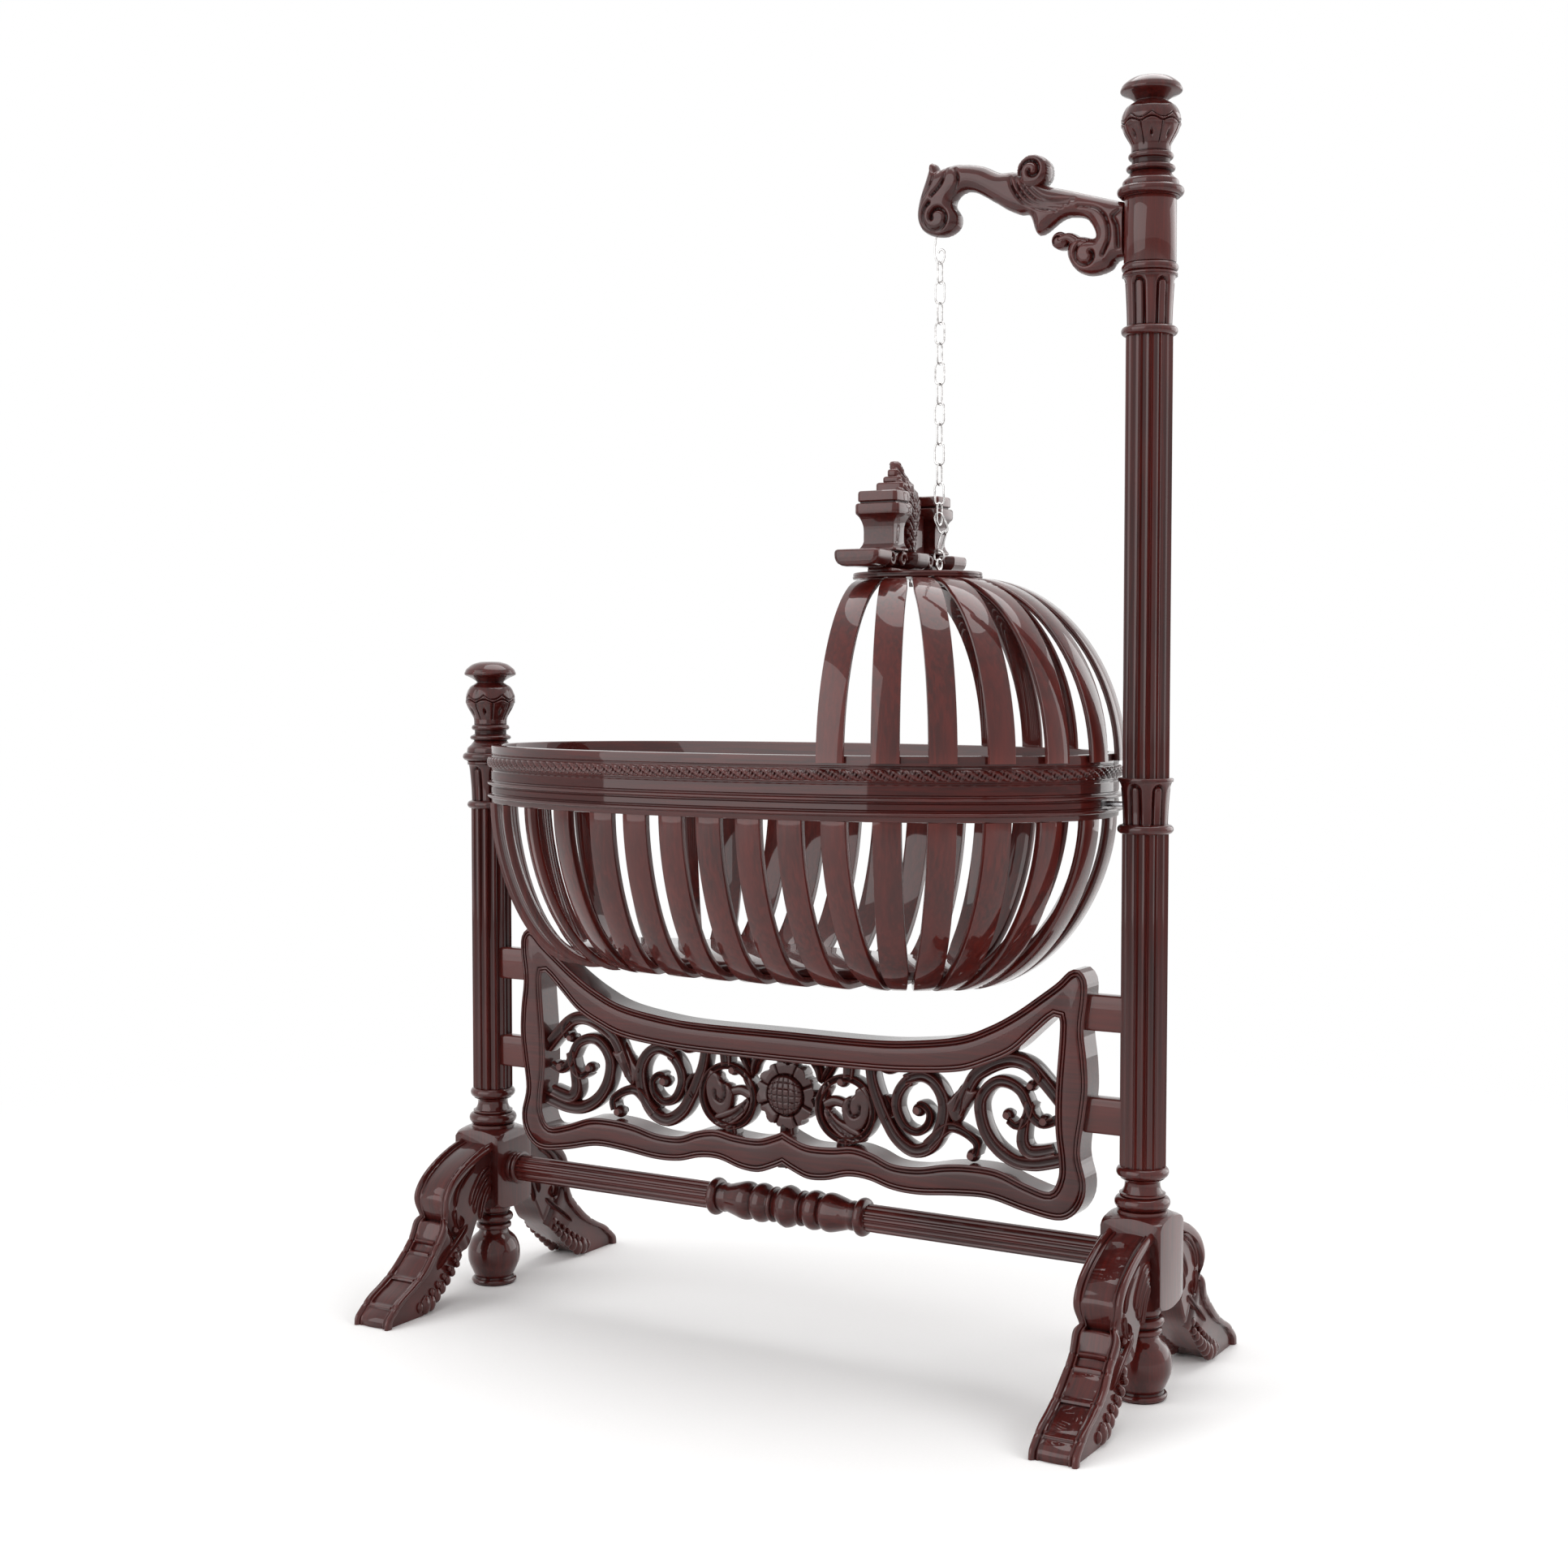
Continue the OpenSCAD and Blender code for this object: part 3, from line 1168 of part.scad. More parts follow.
// Pointed leaf that rises over the crown's panel: its front view cut to its side view
module crown_leaf() {
    w = leaf_y;
    h = leaf_h;
    p = crown_panel_t / 2;
    front = smooth([[0, h], [w * 0.25, h - 5], [w * 0.48, h - 16], [w * 0.74, h - 30],
        [w * 0.94, h - 46], [w, h - 61], [w * 0.82, h - 76], [w * 0.55, h - 104], [w * 0.4, 12],
        [w * 0.36, 0]], 4);
    side = concat(
        smooth([[p + 2, 0], [p + 4, 12], [p + 4, 34], [p + 7, h - 86], [p + 8, h - 70],
            [p + 5, h - 56], [p - 5, h - 36], [p - 15, h - 16], [p - 23, h]], 4),
        [[p - 30, h - 9], [p - 32, h - 20], [p - 41, h - 28], [p - 43, h - 38], [p - 51, h - 44],
            [p - 53, h - 57], [p - 46, h - 70], [-p - 4, crown_panel_h]]);
    color(wood) translate([crown_x, 0, pilaster_z]) difference() {
        intersection() {
            rotate([90, 0, 90]) translate([0, 0, -60]) linear_extrude(120)
                polygon(whole(front));
            rotate([90, 0, 0]) translate([0, 0, -60]) linear_extrude(120) polygon(side);
        }
        translate([-60, -60, -cut]) cube([60 + p, 120, crown_panel_h + cut]);
    }
}

foot(1);  // tall_foot
block(1);  // tall_block
leg(1, -1);  // tall_front_leg
leg(1, 1);  // tall_back_leg
neck(1);  // tall_neck
lower_shaft(1);  // tall_lower_shaft
pivot_cup(1);  // tall_mid_cup
color(wood) shaft(1, upper_z, upper_shaft_h);  // tall_upper_shaft
top_cup();  // tall_top_cup
sleeve();  // tall_sleeve
finial(1, tall_finial_z);  // tall_finial
foot(-1);  // short_foot
block(-1);  // short_block
leg(-1, -1);  // short_front_leg
leg(-1, 1);  // short_back_leg
neck(-1);  // short_neck
lower_shaft(-1);  // short_shaft
pivot_cup(-1);  // short_cup
finial(-1, upper_z);  // short_finial
leg_dowels();
rail_rod(1);  // rail_tall_rod
rail_middle();
rail_rod(-1);  // rail_short_rod
panel_frame();
panel_tenons();
scrolls(1);  // tall_side_scrolls
scrolls(-1);  // short_side_scrolls
panel_rosette();
carved_arm();
arm_dowels();
arm_hook();
pivot_bolt(1);  // head_pivot_bolt
pivot_bolt(-1);  // foot_pivot_bolt
chain_links();
rim_band();
rope_moulding();
rim_beads();
pivot_bush(1);  // head_pivot_bush
pivot_bush(-1);  // foot_pivot_bush
pivot_plate(1);  // head_pivot_plate
pivot_plate(-1);  // foot_pivot_plate
basket_slats(first_side, last_side, side_flat);  // front_slats
mirror([0, 1, 0]) basket_slats(first_side, last_side, side_flat);  // back_slats
both_sides() basket_slats(last_side + 1, slat_total - 1, fan_flat);  // head_slats
both_sides() basket_slats(0, first_side - 1, fan_flat);  // foot_slats
bottom_board();
hood_slats();
hood_plate();
crown_base();
crown_pilasters();
crown_panel();
crown_leaf();
hood_hook();
slack_links();
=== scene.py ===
"""Visual model of a carved swinging cradle on its stand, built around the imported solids.

Sizes are written in millimetres, as a joiner would, and become metres as each mesh is placed.
In the fields' names, _w is a width, _h a height, _t a thickness, _d a diameter and _r a radius.
"""
import logging
from dataclasses import dataclass
from enum import Enum
from math import acos, asin, atan2, cos, exp, pi, radians, sin, tau as TAU
from typing import Any, Callable, Dict, List, Optional, Sequence, Tuple

import bpy
import numpy as np
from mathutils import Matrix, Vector
from mathutils.geometry import delaunay_2d_cdt


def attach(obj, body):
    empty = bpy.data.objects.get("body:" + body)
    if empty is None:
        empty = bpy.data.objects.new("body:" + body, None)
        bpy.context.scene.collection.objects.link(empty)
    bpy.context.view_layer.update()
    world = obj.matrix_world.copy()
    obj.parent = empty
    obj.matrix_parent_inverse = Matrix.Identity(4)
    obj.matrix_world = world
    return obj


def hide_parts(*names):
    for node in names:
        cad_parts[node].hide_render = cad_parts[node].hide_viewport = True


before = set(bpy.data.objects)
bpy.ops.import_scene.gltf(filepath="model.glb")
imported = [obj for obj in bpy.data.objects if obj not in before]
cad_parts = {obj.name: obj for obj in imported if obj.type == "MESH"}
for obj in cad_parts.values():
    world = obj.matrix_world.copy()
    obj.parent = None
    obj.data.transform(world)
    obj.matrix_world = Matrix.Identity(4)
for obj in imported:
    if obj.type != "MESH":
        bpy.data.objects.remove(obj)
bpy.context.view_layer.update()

MM = 0.001
POST_X = 577.0
LOG = logging.getLogger("cradle")

Flat = Tuple[float, float]
Spot = Tuple[float, float, float]
Colour = Tuple[float, float, float, float]
Line = Sequence[Flat]
Array = np.ndarray
Change = Callable[[Array], Array]
Piece = bpy.types.Object


# --- Lines that the pieces share ---

def smooth(points: Line, steps: int = 5) -> List[Flat]:
    """Draw a smooth open curve through points.

    Args:
        points: The points that the curve passes.
        steps: The number of steps between neighbours.

    Returns:
        The curve's points.
    """
    p = np.asarray(points, float)
    last = len(p) - 1
    out = []
    for i in range(last):
        a, b, c, d = p[max(i - 1, 0)], p[i], p[i + 1], p[min(i + 2, last)]
        for k in range(steps):
            t = k / steps
            out.append(0.5 * (2 * b + (c - a) * t + (2 * a - 5 * b + 4 * c - d) * t * t
                + (3 * b - a - 3 * c + d) * t ** 3))
    out.append(p[last])
    return [tuple(q) for q in out]


def half_bead(out: float, z: float, r: float, n: int = 12) -> List[Flat]:
    """Give the half round of radius r that stands on the radius out at height z."""
    turns = [radians(-90 + 180 * i / n) for i in range(n + 1)]
    return [(out + r * cos(a), z + r * sin(a)) for a in turns]


def spots(x: float, z: float, points: Line, kx: float = 1.0, kz: float = 1.0) -> List[Flat]:
    """Set out points from (x, z), in steps of kx across and kz up."""
    return [(x + a * kx, z + b * kz) for a, b in points]


def circle(x: float, z: float, r: float, n: int) -> List[Flat]:
    """Set out n points on a circle about (x, z)."""
    return [(x + r * cos(a), z + r * sin(a)) for a in np.linspace(0, TAU, n, endpoint=False)]


def xyz(x: Any, y: Any, z: Any) -> Array:
    """Join three coordinates, numbers or rows, into points."""
    return np.stack(np.broadcast_arrays(x, y, z), axis=-1)


def unit(v: Array) -> Array:
    """Give a vector the length 1."""
    return v / np.linalg.norm(v)


def lengths(points: Array) -> Array:
    """Measure how far along its line each point lies."""
    steps = np.linalg.norm(np.diff(points, axis=0), axis=1)
    return np.concatenate([[0], np.cumsum(steps)])


def resample(points: Line, count: int) -> Array:
    """Space count points evenly along an open line.

    Args:
        points: The line's points.
        count: The number of points.

    Returns:
        The spaced points.
    """
    p = np.asarray(points, float)
    s = lengths(p)
    t = np.linspace(0, s[-1], count)
    return np.stack([np.interp(t, s, p[:, k]) for k in range(p.shape[1])], axis=1)


def oval(t: Array, a: float, b: float, e: float) -> Array:
    """Give the points at angles t of the closed curve |x/a|^e + |y/b|^e = 1.

    Args:
        t: The angles.
        a: The half length.
        b: The half width.
        e: How square the curve is.

    Returns:
        The curve's points.
    """
    c, s = np.cos(t), np.sin(t)
    return np.stack([a * np.sign(c) * np.abs(c) ** (2 / e), b * np.sign(s) * np.abs(s) ** (2 / e)],
        axis=-1)


def ease(x: Array, low: float, high: float) -> Array:
    """Rise smoothly from 0 at low to 1 at high."""
    t = np.clip((x - low) / (high - low), 0, 1)
    return t * t * (3 - 2 * t)


def hill(x: Any, width: float) -> Any:
    """Give a smooth hill that is 1 at 0 and falls away over its width."""
    return np.exp(-(x / width) ** 2)


def line_distance(p: Array, line: Line) -> Array:
    """Measure how far each point of p lies from a line of straight runs.

    Args:
        p: The points.
        line: The line's points.

    Returns:
        The distances.
    """
    q = np.asarray(line, float)
    best = np.full(len(p), 1e9)
    for a, b in zip(q[:-1], q[1:]):
        d = b - a
        t = np.clip(((p - a) @ d) / max(float(d @ d), 1e-9), 0, 1)
        best = np.minimum(best, np.linalg.norm(p - a - t[:, None] * d, axis=1))
    return best


def inside(p: Array, outline: Array) -> Array:
    """Tell which points of p lie inside a closed outline.

    Args:
        p: The points.
        outline: The outline's points.

    Returns:
        True for each point inside.
    """
    hit = np.zeros(len(p), bool)
    for a, b in zip(outline, np.roll(outline, -1, axis=0)):
        if a[1] == b[1]:
            continue
        cross = (a[1] > p[:, 1]) != (b[1] > p[:, 1])
        x = a[0] + (p[:, 1] - a[1]) / (b[1] - a[1]) * (b[0] - a[0])
        hit ^= cross & (p[:, 0] < x)
    return hit


def spiral(cx: float, cz: float, r0: float, r1: float, start: float, sweep: float) -> List[Flat]:
    """Draw a spiral about (cx, cz) from radius r0 to r1, over sweep degrees.

    Args:
        cx: The middle's x.
        cz: The middle's z.
        r0: The first radius.
        r1: The last radius.
        start: The first angle in degrees.
        sweep: The turn in degrees.

    Returns:
        The spiral's points.
    """
    steps = 40
    out = []
    for i in range(steps + 1):
        a, r = radians(start + sweep * i / steps), r0 + (r1 - r0) * i / steps
        out.append((cx + r * cos(a), cz + r * sin(a)))
    return out


# --- The bench ---

def clear() -> None:
    """Leave edit mode and deselect everything."""
    if bpy.context.mode != "OBJECT":
        bpy.ops.object.mode_set(mode="OBJECT")
    bpy.ops.object.select_all(action="DESELECT")


def take(piece: Piece) -> None:
    """Select one piece alone and make it active."""
    clear()
    piece.select_set(True)
    bpy.context.view_layer.objects.active = piece


def put(piece: Piece, points: Array) -> None:
    """Set a mesh's points, given in millimetres."""
    co = np.asarray(points, np.float32).reshape(-1) * MM
    piece.data.vertices.foreach_set("co", co)
    piece.data.update()


def points(piece: Piece) -> Array:
    """Read a mesh's points in millimetres."""
    co = np.empty(len(piece.data.vertices) * 3, np.float32)
    piece.data.vertices.foreach_get("co", co)
    return co.reshape(-1, 3).astype(float) / MM


def shape(piece: Piece, change: Change) -> Piece:
    """Move a mesh's points by a function of their places."""
    put(piece, change(points(piece)))
    return piece


def edit(piece: Piece) -> None:
    """Open a piece in edit mode with all of it selected."""
    take(piece)
    bpy.ops.object.mode_set(mode="EDIT")
    bpy.ops.mesh.select_all(action="SELECT")


def close(piece: Piece, caps: bool = True) -> Piece:
    """Merge doubles, fill open ends and turn all faces outwards."""
    edit(piece)
    bpy.ops.mesh.remove_doubles(threshold=2e-6)
    bpy.ops.mesh.delete_loose()
    bpy.ops.mesh.select_all(action="SELECT")
    if caps:
        bpy.ops.mesh.fill_holes(sides=0)
        bpy.ops.mesh.select_all(action="SELECT")
    bpy.ops.mesh.normals_make_consistent(inside=False)
    bpy.ops.object.mode_set(mode="OBJECT")
    return piece


def turned(name: str, profile: Line, steps: int = 96) -> Piece:
    """Turn a profile of (radius, height) about the upright axis.

    Args:
        name: The piece's name.
        profile: The profile, from the axis at the foot to the axis at the top.
        steps: The number of steps round the axis.

    Returns:
        The turned piece, still at the origin.
    """
    clear()
    line = [(0.0, profile[0][1]), *profile, (0.0, profile[-1][1])]
    bpy.ops.mesh.primitive_circle_add(vertices=len(line), radius=MM, fill_type="NOTHING")
    piece = bpy.context.object
    piece.name = name
    put(piece, np.array([(r, 0, z) for r, z in line]))
    edit(piece)
    bpy.ops.mesh.spin(steps=steps, angle=TAU, center=(0, 0, 0), axis=(0, 0, 1))
    return close(piece, caps=False)


def grid(name: str, rings: Array) -> Piece:
    """Add a grid and lay it over rings of points, each of which closes on itself."""
    rings = np.concatenate([rings, rings[:, :1]], axis=1)
    clear()
    bpy.ops.mesh.primitive_grid_add(x_subdivisions=rings.shape[1] - 1,
        y_subdivisions=rings.shape[0] - 1, size=1)
    piece = bpy.context.object
    piece.name = name
    put(piece, rings.reshape(-1, 3))
    return piece


def loft(name: str, rings: Sequence[Any], loop: bool = False) -> Piece:
    """Wrap a surface over rings of points, each with the same number of points.

    Args:
        name: The piece's name.
        rings: The points, one row for each closed section.
        loop: Whether the last section meets the first.

    Returns:
        The closed piece.
    """
    rings = np.asarray(rings, float)
    if loop:
        rings = np.concatenate([rings, rings[:1]], axis=0)
    return close(grid(name, rings), caps=not loop)


def plate(name: str, outline: Line, hole: Line, thick: float, edge: Line) -> Piece:
    """Cut an upright frame to two outlines in the XZ plane and mould its two faces.

    Args:
        name: The piece's name.
        outline: The frame's outline.
        hole: Its window, with as many points as the outline.
        thick: The thickness before the mouldings rise from it.
        edge: The moulding's steps inwards from each edge: width and rise.

    Returns:
        The moulded frame.
    """
    lines = [[(x, -thick / 2, z) for x, z in line] for line in (outline, hole)]
    piece = grid(name, np.array(lines, float))
    edit(piece)
    bpy.ops.mesh.remove_doubles(threshold=2e-6)
    bpy.ops.mesh.extrude_region_move(TRANSFORM_OT_translate={"value": (0, thick * MM, 0)})
    close(piece, caps=False)
    for side in (-1, 1):
        pick(piece, lambda c, n: n[:, 1] * side > 0.999)
        bpy.ops.object.mode_set(mode="EDIT")
        for width, rise in edge:
            bpy.ops.mesh.inset(thickness=width * MM, depth=rise * MM)
        bpy.ops.object.mode_set(mode="OBJECT")
    return piece


def pick(piece: Piece, test: Callable[[Array, Array], Array]) -> None:
    """Select the faces whose centres and normals pass a test.

    Args:
        piece: The piece.
        test: Says which centres and normals pass.
    """
    take(piece)
    mesh = piece.data
    n = len(mesh.polygons)
    centre, normal = np.empty(n * 3, np.float32), np.empty(n * 3, np.float32)
    mesh.polygons.foreach_get("center", centre)
    mesh.polygons.foreach_get("normal", normal)
    chosen = test(centre.reshape(-1, 3) / MM, normal.reshape(-1, 3))
    mesh.vertices.foreach_set("select", np.zeros(len(mesh.vertices), bool))
    mesh.edges.foreach_set("select", np.zeros(len(mesh.edges), bool))
    mesh.polygons.foreach_set("select", chosen)
    bpy.context.tool_settings.mesh_select_mode = (False, False, True)


def slice_off(piece: Piece, at: Sequence[float], normal: Sequence[float]) -> None:
    """Saw off what lies beyond a plane and close the cut.

    Args:
        piece: The piece.
        at: A point on the plane.
        normal: The plane's normal.
    """
    edit(piece)
    bpy.ops.mesh.bisect(plane_co=[v * MM for v in at], plane_no=normal, use_fill=True,
        clear_outer=True)
    bpy.ops.object.mode_set(mode="OBJECT")


def soften(piece: Piece, width: float, angle: float) -> None:
    """Bevel a piece's edges that are sharper than an angle.

    Args:
        piece: The piece.
        width: The bevel's width.
        angle: The angle in degrees.
    """
    take(piece)
    mod = piece.modifiers.new("Softened edges", "BEVEL")
    mod.width, mod.segments = width * MM, 2
    mod.limit_method, mod.angle_limit = "ANGLE", radians(angle)
    mod.use_clamp_overlap = True
    bpy.ops.object.modifier_apply(modifier=mod.name)


def copy(piece: Piece, change: Change) -> Piece:
    """Copy a piece with its own mesh and move the copy's points."""
    take(piece)
    bpy.ops.object.duplicate(linked=False)
    return shape(bpy.context.object, change)


def mirror(piece: Piece, signs: Tuple[int, int, int]) -> Piece:
    """Copy a piece as its mirror image and turn the copy's faces outwards.

    Args:
        piece: The piece.
        signs: The factor along each axis.

    Returns:
        The piece.
    """
    twin = copy(piece, lambda p: p * signs)
    edit(twin)
    bpy.ops.mesh.flip_normals()
    bpy.ops.object.mode_set(mode="OBJECT")
    return twin


def join(name: str, pieces: Sequence[Piece]) -> Piece:
    """Make one piece of several."""
    clear()
    for piece in pieces:
        piece.select_set(True)
    bpy.context.view_layer.objects.active = pieces[0]
    if len(pieces) > 1:
        bpy.ops.object.join()
    pieces[0].name = name
    return pieces[0]


def relief(name: str, outline: Line, height: Change, pitch: float) -> Piece:
    """Carve a plate with two equal faces whose height depends on the place.

    Args:
        name: The piece's name.
        outline: The plate's outline in the XZ plane.
        height: Gives the half thickness at each point.
        pitch: The spacing of the mesh.

    Returns:
        The carved plate, centred on y = 0.
    """
    edge = np.asarray(outline, float)
    ring = list(edge) + [edge[0]]
    low, high = edge.min(0), edge.max(0)
    gx, gz = np.meshgrid(np.arange(low[0], high[0], pitch), np.arange(low[1], high[1], pitch))
    gx[1::2] += pitch / 2
    grid = np.stack([gx.ravel(), gz.ravel()], axis=1)
    grid = grid[inside(grid, edge)]
    grid = grid[line_distance(grid, ring) > pitch * 0.55]
    verts, _, faces, _, _, _ = delaunay_2d_cdt([Vector(q) for q in np.concatenate([edge, grid])],
        [], [list(range(len(edge)))], 1, 1e-4)
    p = np.array([tuple(v) for v in verts])
    h = height(p)
    h[line_distance(p, ring) < 1e-3] = 0.0
    sides = np.concatenate([xyz(p[:, 0], -h, p[:, 1]), xyz(p[:, 0], h, p[:, 1])])
    front = [tuple(f) for f in faces]
    back = [tuple(len(p) + i for i in reversed(f)) for f in front]
    mesh = bpy.data.meshes.new(name)
    mesh.from_pydata(sides * MM, [], front + back)
    piece = bpy.data.objects.new(name, mesh)
    bpy.context.scene.collection.objects.link(piece)
    return close(piece, caps=False)


# --- Sections and sweeps ---

def rounded_bar(half_w: float, half_t: float, r: float, n: int = 3) -> List[Flat]:
    """Section of a bar with rounded edges, as (across, out) points.

    Args:
        half_w: Half its width.
        half_t: Half its thickness.
        r: The corners' radius.
        n: The number of steps in a corner.

    Returns:
        The section's points.
    """
    out = []
    for cx, cy, a0 in ((1, 1, 0), (-1, 1, 90), (-1, -1, 180), (1, -1, 270)):
        for i in range(n + 1):
            a = radians(a0 + 90 * i / n)
            out.append((cx * (half_w - r) + r * cos(a), cy * (half_t - r) + r * sin(a)))
    return out


def mirrored(half: Line) -> List[Flat]:
    """Repeat the left half of a section, which ends in its middle, on the right."""
    return list(half) + [(-u, h) for u, h in reversed(half[:-1])]


CHANNEL = mirrored([(-0.5, 0), (-0.49, 0.5), (-0.44, 0.86), (-0.36, 1), (-0.26, 0.94),
    (-0.17, 0.72), (0, 0.62)])
ROUND = mirrored([(-0.5, 0), (-0.47, 0.42), (-0.37, 0.74), (-0.2, 0.94), (0, 1)])
LEAF = mirrored([(-0.5, 0), (-0.47, 0.62), (-0.36, 0.92), (-0.2, 0.72), (-0.08, 0.62), (0, 1)])


def both_faces(section: Line) -> List[Flat]:
    """Repeat a section's upper line below, so that a band is carved on both faces."""
    return list(section) + [(u, -h) for u, h in reversed(section[1:-1])]


def band_rings(path: Line, w0: float, w1: float, section: Line, half: float, steps: int = 6,
        fade: float = 0.12, swell: float = 0.0) -> Array:
    """Sweep a section along a smooth line in a plane.

    Args:
        path: The line's points.
        w0: The band's width at the start.
        w1: The band's width at the end.
        section: The section as (share of width, share of height) points.
        half: The height of the section.
        steps: The steps between the line's points.
        fade: The share of the length over which each end rounds off.
        swell: How much wider the band is at its middle, as a share.

    Returns:
        Rings of (along, out, up) points.
    """
    p = resample(smooth(path, steps), max(8, (len(path) - 1) * steps))
    d = np.gradient(p, axis=0)
    d /= np.linalg.norm(d, axis=1)[:, None]
    n = np.stack([-d[:, 1], d[:, 0]], axis=1)
    t = np.linspace(0, 1, len(p))
    taper = np.ones(len(p))
    if fade > 0:
        gate = np.clip(np.minimum(t, 1 - t) / fade, 0, 1)
        taper = np.sqrt(np.clip(1 - (1 - gate) ** 2, 0.02, 1))
    w = (w0 + (w1 - w0) * t) * (1 + swell * np.sin(np.pi * t)) * taper
    rings = [[(q[0] + m[0] * u * a, h * half * (0.35 + 0.65 * g), q[1] + m[1] * u * a) for u,
        h in section] for q, m, a, g in zip(p, n, w, taper)]
    return np.array(rings)


# --- Finishes ---

class Sock:
    """A shader socket on which Python's operators add Math nodes."""

    def __init__(self, tree: bpy.types.NodeTree, socket: Any) -> None:
        """Wrap an output socket of a node tree."""
        self.tree, self.socket = tree, socket

    def maths(self, kind: str, *others: Any, first: Any = None) -> "Sock":
        """Add a Math node of this socket and other values."""
        node = self.tree.nodes.new("ShaderNodeMath")
        node.operation = kind
        values = [self if first is None else first, *others]
        for slot, value in zip(node.inputs, values):
            if isinstance(value, Sock):
                self.tree.links.new(value.socket, slot)
            else:
                slot.default_value = value
        return Sock(self.tree, node.outputs[0])

    def __add__(self, other: Any) -> "Sock":
        """Add."""
        return self.maths("ADD", other)

    __radd__ = __add__

    def __sub__(self, other: Any) -> "Sock":
        """Subtract."""
        return self.maths("SUBTRACT", other)

    def __rsub__(self, other: Any) -> "Sock":
        """Subtract this socket from a value."""
        return self.maths("SUBTRACT", self, first=other)

    def __mul__(self, other: Any) -> "Sock":
        """Multiply."""
        return self.maths("MULTIPLY", other)

    __rmul__ = __mul__

    def __truediv__(self, other: Any) -> "Sock":
        """Divide."""
        return self.maths("DIVIDE", other)

    def between(self, low: float, high: float) -> "Sock":
        """Rise from 0 at low to 1 at high, and stay within them."""
        scaled = (self - low) / (high - low)
        return scaled.maths("MINIMUM", 1.0).maths("MAXIMUM", 0.0)


class Recipe:
    """Builds the nodes of one material, or of the surroundings."""

    def __init__(self, owner: Any) -> None:
        """Start a new material's or world's tree, empty."""
        owner.use_nodes = True
        self.owner, self.tree = owner, owner.node_tree
        self.tree.nodes.clear()

    def node(self, kind: str, settings: Optional[Dict[str, Any]] = None, out: Any = 0,
            **inputs: Any) -> Sock:
        """Add a node.

        Args:
            kind: The node's type.
            settings: Its settings, set before its sockets.
            out: The output that is wanted, by name or number.
            **inputs: The values or links of its sockets, with _ for a blank.

        Returns:
            The wanted output.
        """
        node = self.tree.nodes.new(kind)
        for key, value in (settings or {}).items():
            setattr(node, key, value)
        for key, value in inputs.items():
            numbered = key[0] == "i" and key[1:].isdigit()
            slot = node.inputs[int(key[1:]) if numbered else key.replace("_", " ")]
            if isinstance(value, Sock):
                self.tree.links.new(value.socket, slot)
            else:
                slot.default_value = value
        return Sock(self.tree, node.outputs[out] if node.outputs else None)

    def place(self) -> Sock:
        """Add the point's place on its piece, in metres."""
        return self.node("ShaderNodeTexCoord", out="Object")

    def hollows(self, low: float, high: float) -> Sock:
        """Add a mask that is 1 in hollows, below low, and 0 from high up."""
        bend = self.node("ShaderNodeNewGeometry", out="Pointiness")
        return 1.0 - bend.between(low, high)

    def edges(self, low: float, high: float) -> Sock:
        """Add a mask that is 0 up to low and 1 on edges, above high."""
        return self.node("ShaderNodeNewGeometry", out="Pointiness").between(low, high)

    def mix(self, share: Any, a: Any, b: Any) -> Sock:
        """Mix two colours."""
        settings = {"data_type": "RGBA", "blend_type": "MIX", "clamp_factor": True}
        return self.node("ShaderNodeMix", settings, out=2, i0=share, i6=a, i7=b)

    def noise(self, where: Sock, scale: float, detail: float, rough: float,
            bend: float = 0.0) -> Sock:
        """Add a noise texture's value."""
        return self.node("ShaderNodeTexNoise", {"noise_dimensions": "3D"}, Vector=where,
            Scale=scale, Detail=detail, Roughness=rough, Distortion=bend)

    def surface(self, **inputs: Any) -> bpy.types.Material:
        """Finish the material with a Principled surface."""
        shader = self.node("ShaderNodeBsdfPrincipled", **inputs)
        self.node("ShaderNodeOutputMaterial", Surface=shader)
        return self.owner


def rgb(r: float, g: float, b: float) -> Colour:
    """Turn screen values from 0 to 255 into a linear colour."""
    return tuple((v / 255 / 12.92) if v <= 10 else ((v / 255 + 0.055) / 1.055) ** 2.4
        for v in (r, g, b)) + (1.0,)


